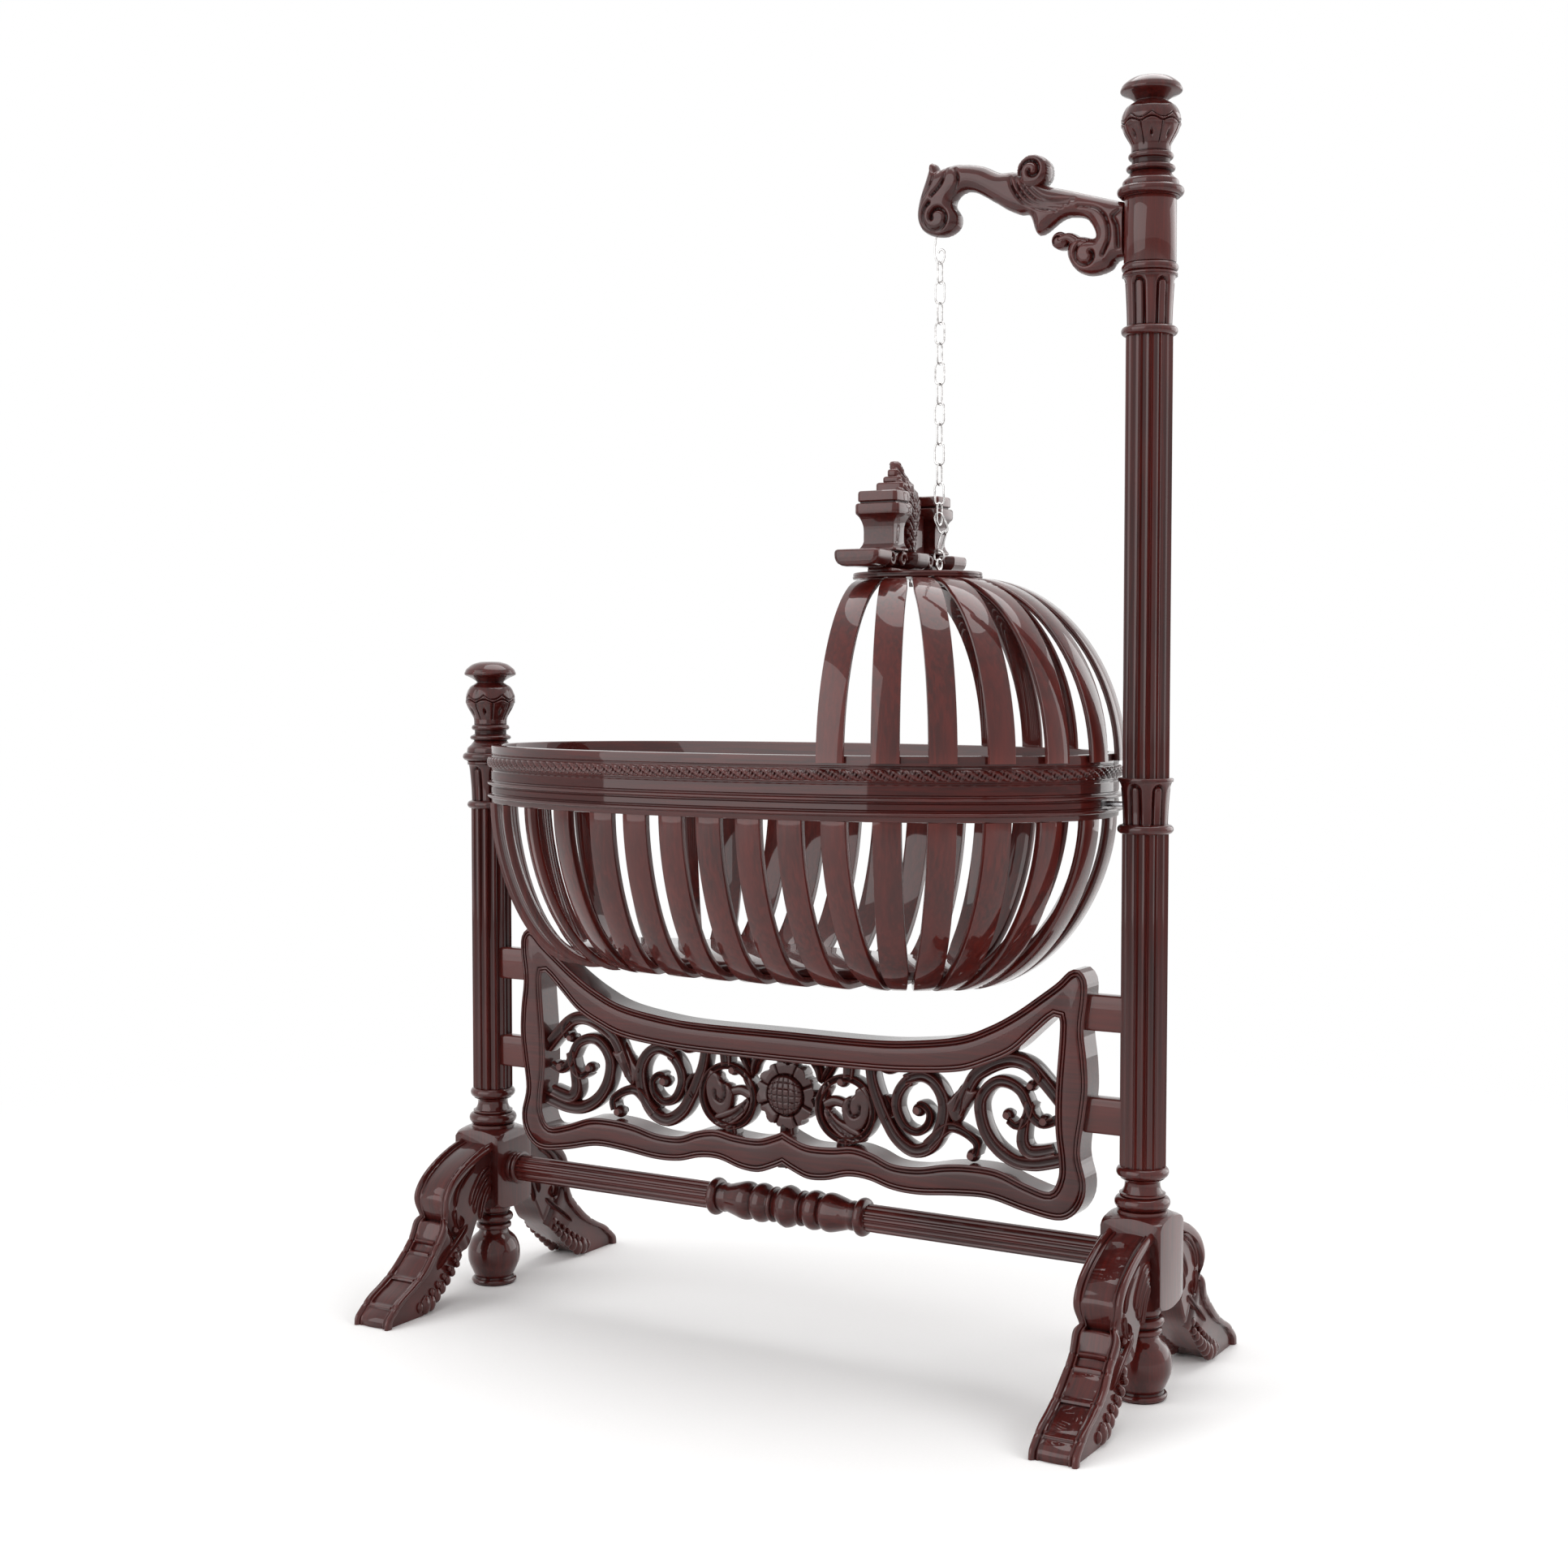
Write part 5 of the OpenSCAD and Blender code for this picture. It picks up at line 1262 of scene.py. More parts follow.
@dataclass
class Panel:
    """The carved panel: moulded frame, scrolls, inner rings and rosette.

    Attributes:
        w: The frame's half width.
        low: The height of the frame's lowest point.
        dip: The height of the top's hollow.
        horn: The height of the horns.
        band: The frame's width.
        thick: The frame's thickness.
        rise: How far the frame's moulding rises from its face.
        scroll_w: The scrolls' width.
        scroll_half: Half the scrolls' thickness.
        rosette: The height of the rosette's middle, its radius and its boss's radius.
        tenons: The heights of the tenons.
    """

    w: float = 500.0
    low: float = 240.0
    dip: float = 474.0
    horn: float = 602.0
    band: float = 47.0
    thick: float = 45.0
    rise: float = 1.8
    scroll_w: float = 21.12
    scroll_half: float = 13.5
    rosette: Spot = (374.0, 52.0, 31.5)
    tenons: Flat = (395.0, 541.0)

    @staticmethod
    def spread(points: Line, marks: Sequence[int], counts: Sequence[int]) -> Array:
        """Space points evenly between control points, so that two lines match.

        Args:
            points: The line's points.
            marks: The control points that are kept.
            counts: The number of points in each run.

        Returns:
            The spaced points.
        """
        fine = smooth(points, 8)
        runs = []
        for a, b, n in zip([0, *marks], [*marks, len(points) - 1], counts):
            runs.append(resample(fine[a * 8:b * 8 + 1], n + 1)[:-1])
        return np.concatenate(runs + [np.array([fine[-1]])])

    def outlines(self) -> Tuple[Array, Array]:
        """Give the frame's outside and its window, with as many points each.

        Returns:
            The outside and the window.
        """
        w, b, d, h = self.w, self.low, self.dip, self.horn
        outer = (spots(0, d, [(0, 0), (0.3, 0), (0.45, 5), (0.6, 17), (0.7, 37), (0.78, 60),
            (0.855, 87)], w) + spots(0, h, [(0.91, -20), (0.945, -3), (0.975, 0), (0.998, -14),
            (1, -38), (0.99, -84), (1, -128), (1.004, -170), (0.995, -210), (0.982, -262)], w)
            + spots(0, b, [(1, 60), (0.993, 32), (0.96, 9), (0.91, 0), (0.815, 6), (0.7, 18),
            (0.59, 16), (0.47, 10), (0.38, 12), (0.3, 22), (0.23, 23), (0.155, 13), (0.09, 11),
            (0.035, 20), (0, 28)], w))
        w, b, d, h = w - self.band, b + self.band + 4, d - self.band, h - self.band * 1.5
        inner = (spots(0, d, [(0, 0), (0.35, 1), (0.52, 5), (0.665, 13), (0.76, 28), (0.85, 48),
            (0.925, 78)], w) + spots(0, h, [(0.985, -2), (1.01, 0), (1.012, -28), (1, -105),
            (1, -160)], w) + spots(0, b, [(1.012, 36), (1.01, 10), (0.98, -11), (0.9, -4),
            (0.8, 11), (0.7, 13), (0.61, 9), (0.515, 0), (0.42, 0), (0.345, 12), (0.27, 18),
            (0.19, 13), (0.1, 12), (0.04, 20), (0, 28)], w))
        counts = (60, 44, 70)
        halves = (self.spread(outer, (9, 20), counts), self.spread(inner, (8, 14), counts))
        return tuple(np.concatenate([q, (q[1:-1] * (-1, 1))[::-1]]) for q in halves)

    def frame(self) -> None:
        """Cut the frame and mould both its faces."""
        edge = [(0.8, 0.9), (1.6, 0.7), (1.4, -0.5), (0.9, -1.9), (0.9, 1.2), (1.4, 0.9),
            (1.4, -0.5), (0.9, -1.9), (0.9, 1.6), (1.6, 1.1), (0.8, 0.2)]
        piece = plate("panel_frame_moulded", *self.outlines(), self.thick - 2 * self.rise, edge)
        dress(piece, Finish.FRAME, "stand", 30)

    def blocks(self) -> None:
        """Shape the four square tenon blocks between the frame and the posts."""
        ring = rounded_bar(12, 26, 4.5, 4)
        pieces = [loft("block", [[(side * x, a, z + b) for a, b in ring] for x in (480, 560)])
            for side in (-1, 1) for z in self.tenons]
        dress(join("panel_tenons_shaped", pieces), Finish.FRAME, "stand")

    def curl(self, path: Line, w0: float, w1: float, section: Line = CHANNEL, half: float = 13.5,
            fade: float = 0.0, swell: float = 0.0) -> Piece:
        """Sweep a scroll, given in the panel's window, with the same carving on both faces."""
        return loft("curl", band_rings(spots(0, self.low, path), w0 * self.scroll_w,
            w1 * self.scroll_w, both_faces(section), half, 6, fade, swell))

    def eye(self, x: float, z: float, r: float) -> Piece:
        """Turn the eye of a scroll, domed on both faces.

        Args:
            x: Its x.
            z: Its height.
            r: Its radius.

        Returns:
            The piece.
        """
        half = self.scroll_half + 0.5
        dome = [(r * cos(a), half * sin(a) * 0.96) for a in np.radians(np.linspace(-62, 62, 13))]
        piece = turned("eye", [(r * 0.55, -half), *dome, (r * 0.55, half)], 28)
        return shape(piece, along_y(x, self.low + z))

    def loop(self, x: float, z: float, r: float, width: float) -> Piece:
        """Sweep a closed channelled ring.

        Args:
            x: Its x.
            z: Its height.
            r: Its radius.
            width: Its width.

        Returns:
            The piece.
        """
        rings = [[(x + (r + u * width) * c, h * self.scroll_half, self.low + z
            + (r + u * width) * s) for u, h in both_faces(CHANNEL)]
            for c, s in circle(0, 0, 1, 64)]
        return loft("loop", rings, loop=True)

    def tulip(self) -> Piece:
        """Carve the drop-shaped leaf between the spirals."""
        line = [(270, 150), (288, 168), (306, 190), (312, 176), (328, 172), (312, 148), (291, 116),
            (276, 132), (270, 150)]
        outline = smooth(spots(0, self.low, line), 5)
        middle = spots(0, self.low, [(306, 184), (296, 160), (291, 122)])

        def height(p: Array) -> Array:
            """Swell in from the outline and sink along the middle."""
            d, vein = line_distance(p, outline), line_distance(p, middle)
            return 6 + 8.0 * np.sin(np.clip(d / 7, 0, 1) * 1.57) - 6.0 * hill(vein, 6)

        return relief("tulip", outline[:-1], height, 2.2)

    def leaves(self) -> List[Piece]:
        """Carve the leaves that fill the inner ring."""
        shapes = (([(136, 160), (144, 140), (141, 114), (130, 96), (114, 93), (102, 104),
            (97, 124), (103, 138), (116, 143), (121, 153)], [[(112, 140), (110, 124), (116, 114),
            (125, 118), (127, 128)]], 12.5), ([(72, 126), (69, 112), (77, 98), (92, 84), (112, 76),
            (134, 80), (128, 94), (112, 102), (96, 108), (84, 116)], [[(74, 118), (90, 100),
            (112, 88), (132, 84)], [(80, 104), (98, 90), (118, 81)]], 12.5),
            ([(63, 142), (68, 156), (78, 160), (82, 150), (76, 136), (68, 128)],
            [[(70, 134), (75, 146), (74, 154)]], 11.5))
        made = []
        for outline, veins, half in shapes:
            line, *runs = [spots(-10.5, self.low - 12.2, smooth(run, 5), 1.1, 1.1)
                for run in (outline + [outline[0]], *veins)]

            def height(p: Array) -> Array:
                """Round the leaf off at its outline and cut its veins."""
                d = np.clip(line_distance(p, line) / 6.5, 0, 1)
                h = half * (0.45 + 0.55 * np.sqrt(1 - (1 - d) ** 2))
                for run in runs:
                    h = h - 4.5 * hill(line_distance(p, run), 2.4)
                return h

            made.append(relief("leaf", line[:-1], height, 1.9))
        return made

    def half_scrolls(self) -> List[Piece]:
        """Carve the scrolls of one half, outwards along +X."""
        c, e = self.curl, self.eye
        return [c([(292, 136), (302, 158), (318, 190), (336, 205), (360, 217), (383, 222),
            (407, 216), (430, 196), (456, 168)], 0.9, 1.0, swell=0.15), c([(466, 88), (440, 80),
            (413, 74), (383, 76), (353, 94), (335, 121), (329, 152), (338, 174), (356, 188),
            (376, 188), (394, 178), (405, 159), (413, 143), (428, 134), (446, 140)], 1.05, 0.7,
            swell=0.1), c([(409, 166), (403, 141), (388, 127), (372, 136)], 0.9, 0.55, fade=0.05),
            e(372, 141, 9.5), c([(402, 138), (397, 106), (411, 90), (446, 98)], 0.75, 0.95,
            swell=0.25), c([(411, 216), (421, 202), (414, 188)], 0.8, 0.5), e(409, 187, 8.5),
            e(430, 138, 10.0), self.tulip(), c([(244, 82), (268, 106), (284, 114), (306, 108),
            (324, 94), (322, 78)], 1.05, 0.55), e(315, 75, 10.0), c([(146, 196), (151, 168),
            (161, 141), (174, 114), (192, 88), (221, 72), (250, 84), (267, 116), (270, 149),
            (256, 175), (234, 185), (206, 177)], 0.85, 0.85, swell=0.25),
            c([(218, 180), (204, 170), (193, 152), (192, 131), (205, 108), (226, 101), (243, 113),
            (247, 131), (236, 143), (224, 141)], 0.95, 0.5, fade=0.04), e(226, 133, 10.5),
            self.loop(105, 122, 47.5, 12.5), *self.leaves(), c([(67, 126), (84, 132), (104, 128)],
            0.9, 0.7, ROUND, 9), e(97, 163, 9.5), c([(100, 76), (97, 44)], 0.9, 1.2),
            c([(109, 170), (112, 210)], 0.9, 1.1), c([(44, 196), (56, 178), (60, 156)], 1.0, 0.5,
            LEAF, 11, 0.25), c([(84, 198), (76, 182), (62, 158)], 0.9, 0.5, LEAF, 11, 0.25),
            c([(164, 196), (180, 190), (192, 196), (196, 206)], 0.9, 0.6, fade=0.06),
            c([(168, 150), (180, 128), (172, 108)], 1.0, 0.5, LEAF, 12, 0.3), e(214, 196, 8.0),]

    def scrolls(self) -> None:
        """Carve the scrolls on both sides of the rosette."""
        right = join("tall_side_scrolls_carved", self.half_scrolls())
        left = mirror(right, (-1, 1, 1))
        left.name = "short_side_scrolls_carved"
        dress(right, Finish.CARVING, "stand", 50)
        dress(left, Finish.CARVING, "stand", 50)

    def flower(self) -> None:
        """Carve the rosette: eight petals round a cross-hatched boss."""
        z0, r, boss = self.rosette
        a = np.linspace(0, TAU, 144, endpoint=False)
        lobe = 1 - 0.085 * hill(np.sin(a * 4 + 0.4), 0.33) - 0.02 * np.cos(16 * a)
        outline = [(r * k * cos(t), z0 + r * k * sin(t)) for k, t in zip(lobe, a)]

        def height(p: Array) -> Array:
            """Give the half thickness: petals that overlap, and a hatched boss."""
            x, z = p[:, 0], p[:, 1] - z0
            rho, t = np.hypot(x, z), np.arctan2(z, x)
            phase = (t * 8 / TAU + 0.51) % 1.0
            petal = 10.5 + 3.0 * phase
            petal -= 3.2 * np.exp(-(np.abs(phase - 0.5) - 0.5) ** 2 / 0.004)
            petal += 1.2 * np.cos((rho - 42) / 9)
            dome = 13.5 + 7.6 * np.sqrt(np.clip(1 - (rho / boss) ** 2, 0, 1))
            hatch = 0.0
            for along, over in ((x, z), (z, x)):
                u = along / np.sqrt(np.clip(1 - 0.6 * (over / boss) ** 2, 0.1, 1))
                hatch = hatch + hill(np.sin(u * pi / 10.4), 0.24)
            dome = dome - 1.9 * np.clip(hatch, 0, 1)
            groove = 3.5 * hill(rho - boss, 1.6)
            return np.where(rho < boss, dome, petal) - groove

        face = relief("rosette", outline, height, 1.25)
        posts = [self.curl([(0, 20), (0, 70), (0, 96)], 1.7, 1.1, LEAF, 12),
            self.curl([(0, 172), (0, 200)], 1.6, 2.2, LEAF, 12)]
        piece = join("panel_rosette_carved", [face] + posts)
        dress(piece, Finish.CARVING, "stand", 45)

    def build(self) -> None:
        """Build the panel."""
        self.frame()
        self.blocks()
        self.scrolls()
        self.flower()


# --- The stand: arm, hook and chain ---

@dataclass
class Arm:
    """The carved arm on the tall post, with its wire hook.

    Attributes:
        x: Where the arm meets the sleeve.
        z: The height of the sleeve's middle.
        thick: The arm's thickness.
        hook_x: The hook's place.
        hook_z: The height of the hook's bearing surface.
        hook_wire: The diameter of the hook's wire.
    """

    x: float = 541.0
    z: float = 1627.5
    thick: float = 38.0
    hook_x: float = 254.5
    hook_z: float = 1616.0
    hook_wire: float = 3.01

    def outline(self) -> List[Flat]:
        """Give the arm's outline in front view."""
        x, z, cx, hz = self.x, self.z, self.hook_x, self.hook_z
        back = (spots(x, z, [(3, 42), (-27, 51), (-86, 69), (-118, 79), (-144, 96), (-166, 103),
            (-190, 105), (-216, 117), (-244, 123)]) + spots(cx, hz, [(20, 135), (-2, 131),
            (-13, 141)]))
        front = (spots(cx, hz, [(-21, 118), (-31, 90), (-34, 66), (-26, 47), (-8, 37), (14, 35),
            (31, 45), (34, 62), (25, 80), (36, 93), (57, 93)]) + spots(x, z,
            [(-197, 63), (-178, 51), (-158, 42), (-142, 38), (-128, 10), (-96, 27), (-76, 30),
            (-54, 23), (-43, -1), (-70, 3), (-84, -12), (-82, -30), (-68, -47), (-46, -54),
            (-22, -49), (-10, -37), (3, -36)]))
        return smooth(back, 7) + smooth(front, 7)

    def carve(self, p: Array) -> Array:
        """Give the carved half thickness of the arm at each point."""
        x, z, cx, hz = self.x, self.z, self.hook_x, self.hook_z
        t = np.clip(line_distance(p, self.outline()) / 21.0, 0, 1)
        h = self.thick / 2 * np.sqrt(1 - (1 - t) ** 2) ** 0.85
        grooves = [(spiral(cx + 1, hz + 62, 25, 8, 120, 430), 3.0, 8.0), (spiral(x - 52, z - 26,
            22, 8, 60, 330), 3.0, 7.5)]
        for x0, z0, line, wide, deep in ((cx, hz, [(30, 128), (36, 112), (28, 94)], 2.6, 6.0),
                (cx, hz, [(16, 130), (10, 110), (-6, 94)], 2.6, 5.0), (cx, hz, [(-2, 132),
                (-8, 112), (-20, 94)], 2.4, 4.6), (x, z, [(-64, 42), (-38, 37), (-22, 20),
                (-18, -6), (-27, -28)], 2.6, 4.5), (x, z, [(-3, 30), (-12, 22), (-6, 8),
                (-4, -20)], 3.0, 5.0), *((x, z, [(-170 + 7.5 * k, 100 - 1.5 * k),
                (-163 + 8.5 * k, 76), (-142 + 10 * k, 52 + 1.5 * k), (-98 + 9 * k, 40 + 4 * k)],
                2.5, 4.6) for k in range(4))):
            grooves.append((smooth(spots(x0, z0, line), 6), wide, deep))
        for line, wide, deep in grooves:
            h = h - deep * hill(line_distance(p, line), wide) * t
        return np.maximum(h, 0.6)

    def roll(self, x: float, z: float, r: float, half: float, turns: float) -> Piece:
        """Carve a scroll's roll with a spiral on each face.

        Args:
            x: Its x.
            z: Its height.
            r: Its radius.
            half: Half its thickness.
            turns: The number of turns.

        Returns:
            The piece.
        """
        groove = spiral(x, z, r * 0.78, r * 0.12, 200, -360 * turns)

        def height(p: Array) -> Array:
            """Dome the face and cut the spiral into it."""
            rho = np.hypot(p[:, 0] - x, p[:, 1] - z) / r
            h = half * (1 - 0.3 * rho ** 6) * (0.93 + 0.07 * np.cos(rho * 3.2))
            return h - 0.3 * half * hill(line_distance(p, groove), r * 0.12)

        return relief("roll", circle(x, z, r, 96), height, r / 16)

    def carving(self) -> None:
        """Carve the arm, its two rolls, the lower roll's neck and the tip of its leaf."""
        x, z = self.x, self.z
        pieces = [relief("arm", self.outline(), self.carve, 1.7), self.roll(x - 136, z + 99, 24,
            21.5, 1.05), self.roll(x - 95, z - 1, 12.5, 15, 0.5)]
        neck = spots(x, z, [(-97, -2), (-82, 2), (-66, -8), (-52, -12)])
        tip = spots(self.hook_x, self.hook_z, [(0, 108), (-7, 124), (-11, 142)])
        for path, w0, w1, half, fade in ((neck, 13, 20, 15, 0.05), (tip, 26, 9, 13, 0.16)):
            rings = band_rings(path, w0, w1, both_faces(ROUND), half, 6, fade)
            pieces.append(loft("band", rings))
        dress(join("carved_arm_carved", pieces), Finish.ARM, "stand", 60)

    def hook(self) -> None:
        """Bend the thin wire hook under the arm's tip."""
        path = smooth([(-5.5, 47), (-6.5, 36), (-8.2, 24), (-8.4, 13), (-6.9, 5.6), (-4.2, 0.2),
            (0, -1.75), (4.2, 0), (6.6, 4.6), (7.6, 10), (6.4, 15.4), (2.6, 18), (-1.2, 16.4),
            (-2.6, 13.2)], 6)
        rings = wire_rings(spots(self.hook_x, self.hook_z, path), self.hook_wire / 2, 12)
        dress(loft("arm_hook_bent", rings), Finish.CHAIN, "stand", 60)

    def build(self) -> None:
        """Build the arm and its hook."""
        self.carving()
        self.hook()


def wire_rings(path: Line, r: float, k: int, closed: bool = False) -> Array:
    """Sweep a round wire along a line in the plane of X and Z.

    Args:
        path: The line's points.
        r: The wire's radius.
        k: The number of sides.
        closed: Whether the line closes.

    Returns:
        A ring of points for each point of the line.
    """
    q = np.asarray(path, float)
    p = xyz(q[:, 0], 0.0, q[:, 1])
    d = np.roll(p, -1, axis=0) - np.roll(p, 1, axis=0) if closed else np.gradient(p, axis=0)
    d /= np.linalg.norm(d, axis=1)[:, None]
    side = np.array([0.0, 1.0, 0.0])
    up = np.cross(d, side)
    a = np.arange(k) / k * TAU
    return p[:, None] + r * (np.cos(a)[None, :, None] * side + np.sin(a)[None, :, None]
        * up[:, None])


@dataclass
class Chain:
    """The hanging chain and the slack links that end on the hood.

    Attributes:
        x: The chain's place.
        top: The height of its first link's top.
        links: The number of hanging links.
        pitch: The distance between links.
        length: A link's outside length.
        width: A link's outside width.
        wire: The wire's diameter.
        play: How far the first slack link's top lies above the last link's foot.
        tilts: The slack links' tilts in degrees.
        gap: The room between linked wires.
        ring_r: The radius of the slack ring and of the eye.
        eye_wire: The diameter of the eye's wire.
        plate_top: The height of the hood's plate, into which the eye is screwed.
    """

    x: float = 254.5
    top: float = 1619.3
    links: int = 13
    pitch: float = 29.1
    length: float = 35.4
    width: float = 17.5
    wire: float = 3.0
    play: float = 15.8
    tilts: Flat = (25.0, -17.0)
    gap: float = 0.3
    ring_r: float = 8.0
    eye_wire: float = 3.5
    plate_top: float = 1168.0

    def link(self) -> Piece:
        """Bend one link that hangs from z = 0 in the plane of X and Z, with its welded joint."""
        r, run = (self.width - self.wire) / 2, (self.length - self.width) / 2
        turns = [radians(180 * i / 9) for i in range(10)]
        path = [(s * r * cos(a), s * (run + r * sin(a))) for s in (1, -1) for a in turns]
        path += [(r, z) for z in (-2.2, -1.1, 0.0, 1.1, 2.2)]
        rings = wire_rings(path, self.wire / 2, 12, closed=True)
        joint, middle = len(path) - 3, np.array([r, 0.0, 0.0])
        rings[joint] = middle + (rings[joint] - middle) * 1.1
        return shape(loft("link", rings, loop=True), move(z=-self.length / 2))

    def ring(self, name: str, x: float, z: float, wire: float) -> Piece:
        """Bend a ring about (x, z)."""
        path = circle(x, z, self.ring_r, 36)
        return loft(name, wire_rings(path, wire / 2, 12, True), loop=True)

    def place(self, piece: Piece, x: float, z: float, tilt: float, turn: bool) -> Piece:
        """Copy a link, turn it about its own length and tilt it, then hang it at (x, z).

        Args:
            piece: The piece.
            x: Its x.
            z: Its height.
            tilt: The tilt in degrees.
            turn: The turn about its length in degrees.

        Returns:
            The piece.
        """
        s, c = sin(radians(tilt)), cos(radians(tilt))

        def change(p: Array) -> Array:
            """Move the copy's points."""
            q = xyz(-p[:, 1], p[:, 0], p[:, 2]) if turn else p
            return xyz(q[:, 0] * c - q[:, 2] * s + x, q[:, 1], q[:, 0] * s + q[:, 2] * c + z)

        return copy(piece, change)

    def build(self) -> None:
        """Build the chain and its slack links."""
        pattern = self.link()
        hanging = [self.place(pattern, self.x, self.top - i * self.pitch, 0, i % 2 == 0)
            for i in range(self.links)]
        dress(join("chain_links_bent", hanging), Finish.CHAIN, "chain", 60)
        foot = self.top - (self.links - 1) * self.pitch - self.length
        at = np.array([self.x - 4, foot + self.wire + self.play])
        slack = []
        for tilt, turn in zip(self.tilts, (False, True)):
            down = np.array([sin(radians(tilt)), -cos(radians(tilt))])
            slack.append(self.place(pattern, *(at - down * self.wire / 2), tilt, turn))
            at = at + (self.length - 2 * self.wire - self.gap) * down
        slack.append(self.ring("ring", at[0], at[1] - self.ring_r, self.wire))
        dress(join("slack_links_bent", slack), Finish.CHAIN, "cradle", 60)
        self.eye(at[0], at[1] - 2 * self.ring_r)
        take(pattern)
        bpy.ops.object.delete()

    def eye(self, x: float, ring_foot: float) -> None:
        """Bend the eye that is screwed into the hood's plate, across the last ring."""
        base = self.plate_top
        middle = ring_foot + (self.wire + self.eye_wire) / 2 + self.gap - self.ring_r
        loop = self.ring("eye", 0, 0, self.eye_wire)
        shape(loop, lambda p: xyz(x + p[:, 1], -p[:, 0], middle + p[:, 2]))
        top = middle - self.ring_r
        line = [(1.6, base - 5)]
        for i in range(6):
            z = base - 4 + i * 1.5
            line += [(2.0, z), (1.55, z + 0.75)]
        line += spots(0, base, [(2, 5.5), (3.4, 5.9), (3.4, 7.1), (2, 7.6)])
        line += [(2.0, top - 0.3), (1.7, top)]
        shank = shape(turned("shank", line, 20), move(x))
        dress(join("hood_hook_bent", [loop, shank]), Finish.CHAIN, "cradle", 50)


# --- The cradle ---

@dataclass
class Basket:
    """The rim, its mouldings, the slats and the bottom board.

    Attributes:
        a: The rim's half length.
        b: The rim's half width.
        e: How square the rim's curve is.
        z: The height of the rim's underside.
        h: The rim's height.
        t: The rim's thickness.
        rope_z: The height of the rope moulding.
        bead_z: The heights of the bead mouldings.
        board_z: The height of the bottom board.
        depth: How far the basket hangs below the rim.
        floor_a: The half length of the oval on which the slats end.
        floor_b: Its half width.
        shift: How far it lies towards the foot.
        full: How full the basket's bulge is.
        slat_w: A slat's width.
        slat_t: A slat's thickness.
        inset: How far the slats stand in from the rim's outside.
        fan: The number of slats in a quarter of the head or the foot.
        sides: The number of slats on a side.
        first_x: The place of the first side slat.
        span: How far the side slats spread.
        fan_gap: The least room between slats.
    """

    a: float = 521.0
    b: float = 275.0
    e: float = 2.208
    z: float = 816.0
    h: float = 91.0
    t: float = 18.0
    rope_z: float = 880.5
    bead_z: Flat = (827.0, 847.0)
    board_z: float = 575.0
    depth: float = 253.0
    floor_a: float = 361.0
    floor_b: float = 133.0
    shift: float = 38.0
    full: float = 1.14
    slat_w: float = 40.0
    slat_t: float = 12.0
    inset: float = 4.0
    fan: int = 5
    sides: int = 7
    first_x: float = -168.0
    span: float = 386.0
    fan_gap: float = 2.0

    def even(self, count: int) -> Array:
        """Give angles that space points evenly round the rim."""
        t = np.linspace(0, TAU, 4001)
        s = lengths(oval(t, self.a, self.b, self.e))
        return np.interp(np.linspace(0, s[-1], count, endpoint=False), s, t)

    def around(self, name: str, section: Line) -> Piece:
        """Sweep a section of (out, height) points round the rim."""
        t = self.even(288)
        rows = [xyz(*oval(t, self.a + out, self.b + out, self.e).T, z) for out, z in section]
        return loft(name, np.array(rows).transpose(1, 0, 2), loop=True)

    def rim(self) -> None:
        """Bend the rim, with fine lines beside its mouldings."""
        z, t, top = self.z, self.t, self.z + self.h
        line = spots(-t, z, [(0, 2.5), (0.8, 0.8), (2.5, 0)])
        line += spots(0, z, [(-3, 0), (-1, 0.6), (-0.4, 2.2), (-0.4, 5.2), (0, 6.6), (0, 15.2),
            (-0.9, 16.2), (0, 17.2), (0, 24.6), (-0.9, 25.6), (0, 26.6), (0, 35.2), (-0.9, 36.4),
            (0, 37.6), (0, 50.4), (-1, 52), (-1, 54), (0, 55), (0, 74), (-0.8, 75), (-0.8, 76.5),
            (-0.2, 77.5)])
        line += spots(0, top, [(-0.2, -2.6), (-0.9, -0.8), (-2.8, 0)])
        line += spots(-t, top, [(2.8, 0), (0.9, -0.8), (0, -2.8)])
        dress(self.around("rim_band_bent", line), Finish.RIM, "cradle", 30)

    def rope(self) -> None:
        """Carve the rope moulding: slanting lobes with a groove between them."""
        lobes, per = 152, 14
        t = self.even(lobes * per)
        s = np.arange(lobes * per) / per
        base = oval(t, self.a, self.b, self.e)
        normal = self.outward(base)
        rows = []
        for a in np.radians(np.linspace(-90, 90, 9)):
            rise = np.sin(np.pi * ((s + 0.72 * sin(a)) % 1.0)) ** 0.75
            out = 6.5 * cos(a) ** 0.8 * (0.12 + 0.88 * rise)
            z = self.rope_z + 8.5 * sin(a) * (0.82 + 0.18 * rise)
            rows.append(xyz(*(base + normal * out[:, None]).T, z))
        rows.append(xyz(*oval(t, self.a - 3, self.b - 3, self.e).T, self.rope_z))
        piece = loft("rope_moulding_carved", np.array(rows).transpose(1, 0, 2), loop=True)
        dress(piece, Finish.RIM, "cradle", 50)

    def outward(self, p: Array) -> Array:
        """Give the rim's outward directions at points on it."""
        size = np.array([self.a, self.b])
        n = np.sign(p) * np.abs(p / size) ** (self.e - 1) / size
        return n / np.linalg.norm(n, axis=1)[:, None]

    def beads(self) -> None:
        """Run the two bead mouldings round the rim."""
        pieces = []
        for z in self.bead_z:
            low = spots(0, z, [(-2, -3.5), (0.6, -3.5), (1.6, -3), (2, -2.6)])
            bead = [(2.0 + 4 * cos(a), z + 2.9 * sin(a)) for a in np.radians(np.linspace(-62, 62,
                7))]
            high = spots(0, z, [(2, 2.6), (1.6, 3), (0.6, 3.5), (-2, 3.5)])
            pieces.append(self.around("bead", low + bead + high))
        dress(join("rim_beads_run", pieces), Finish.RIM, "cradle", 50)

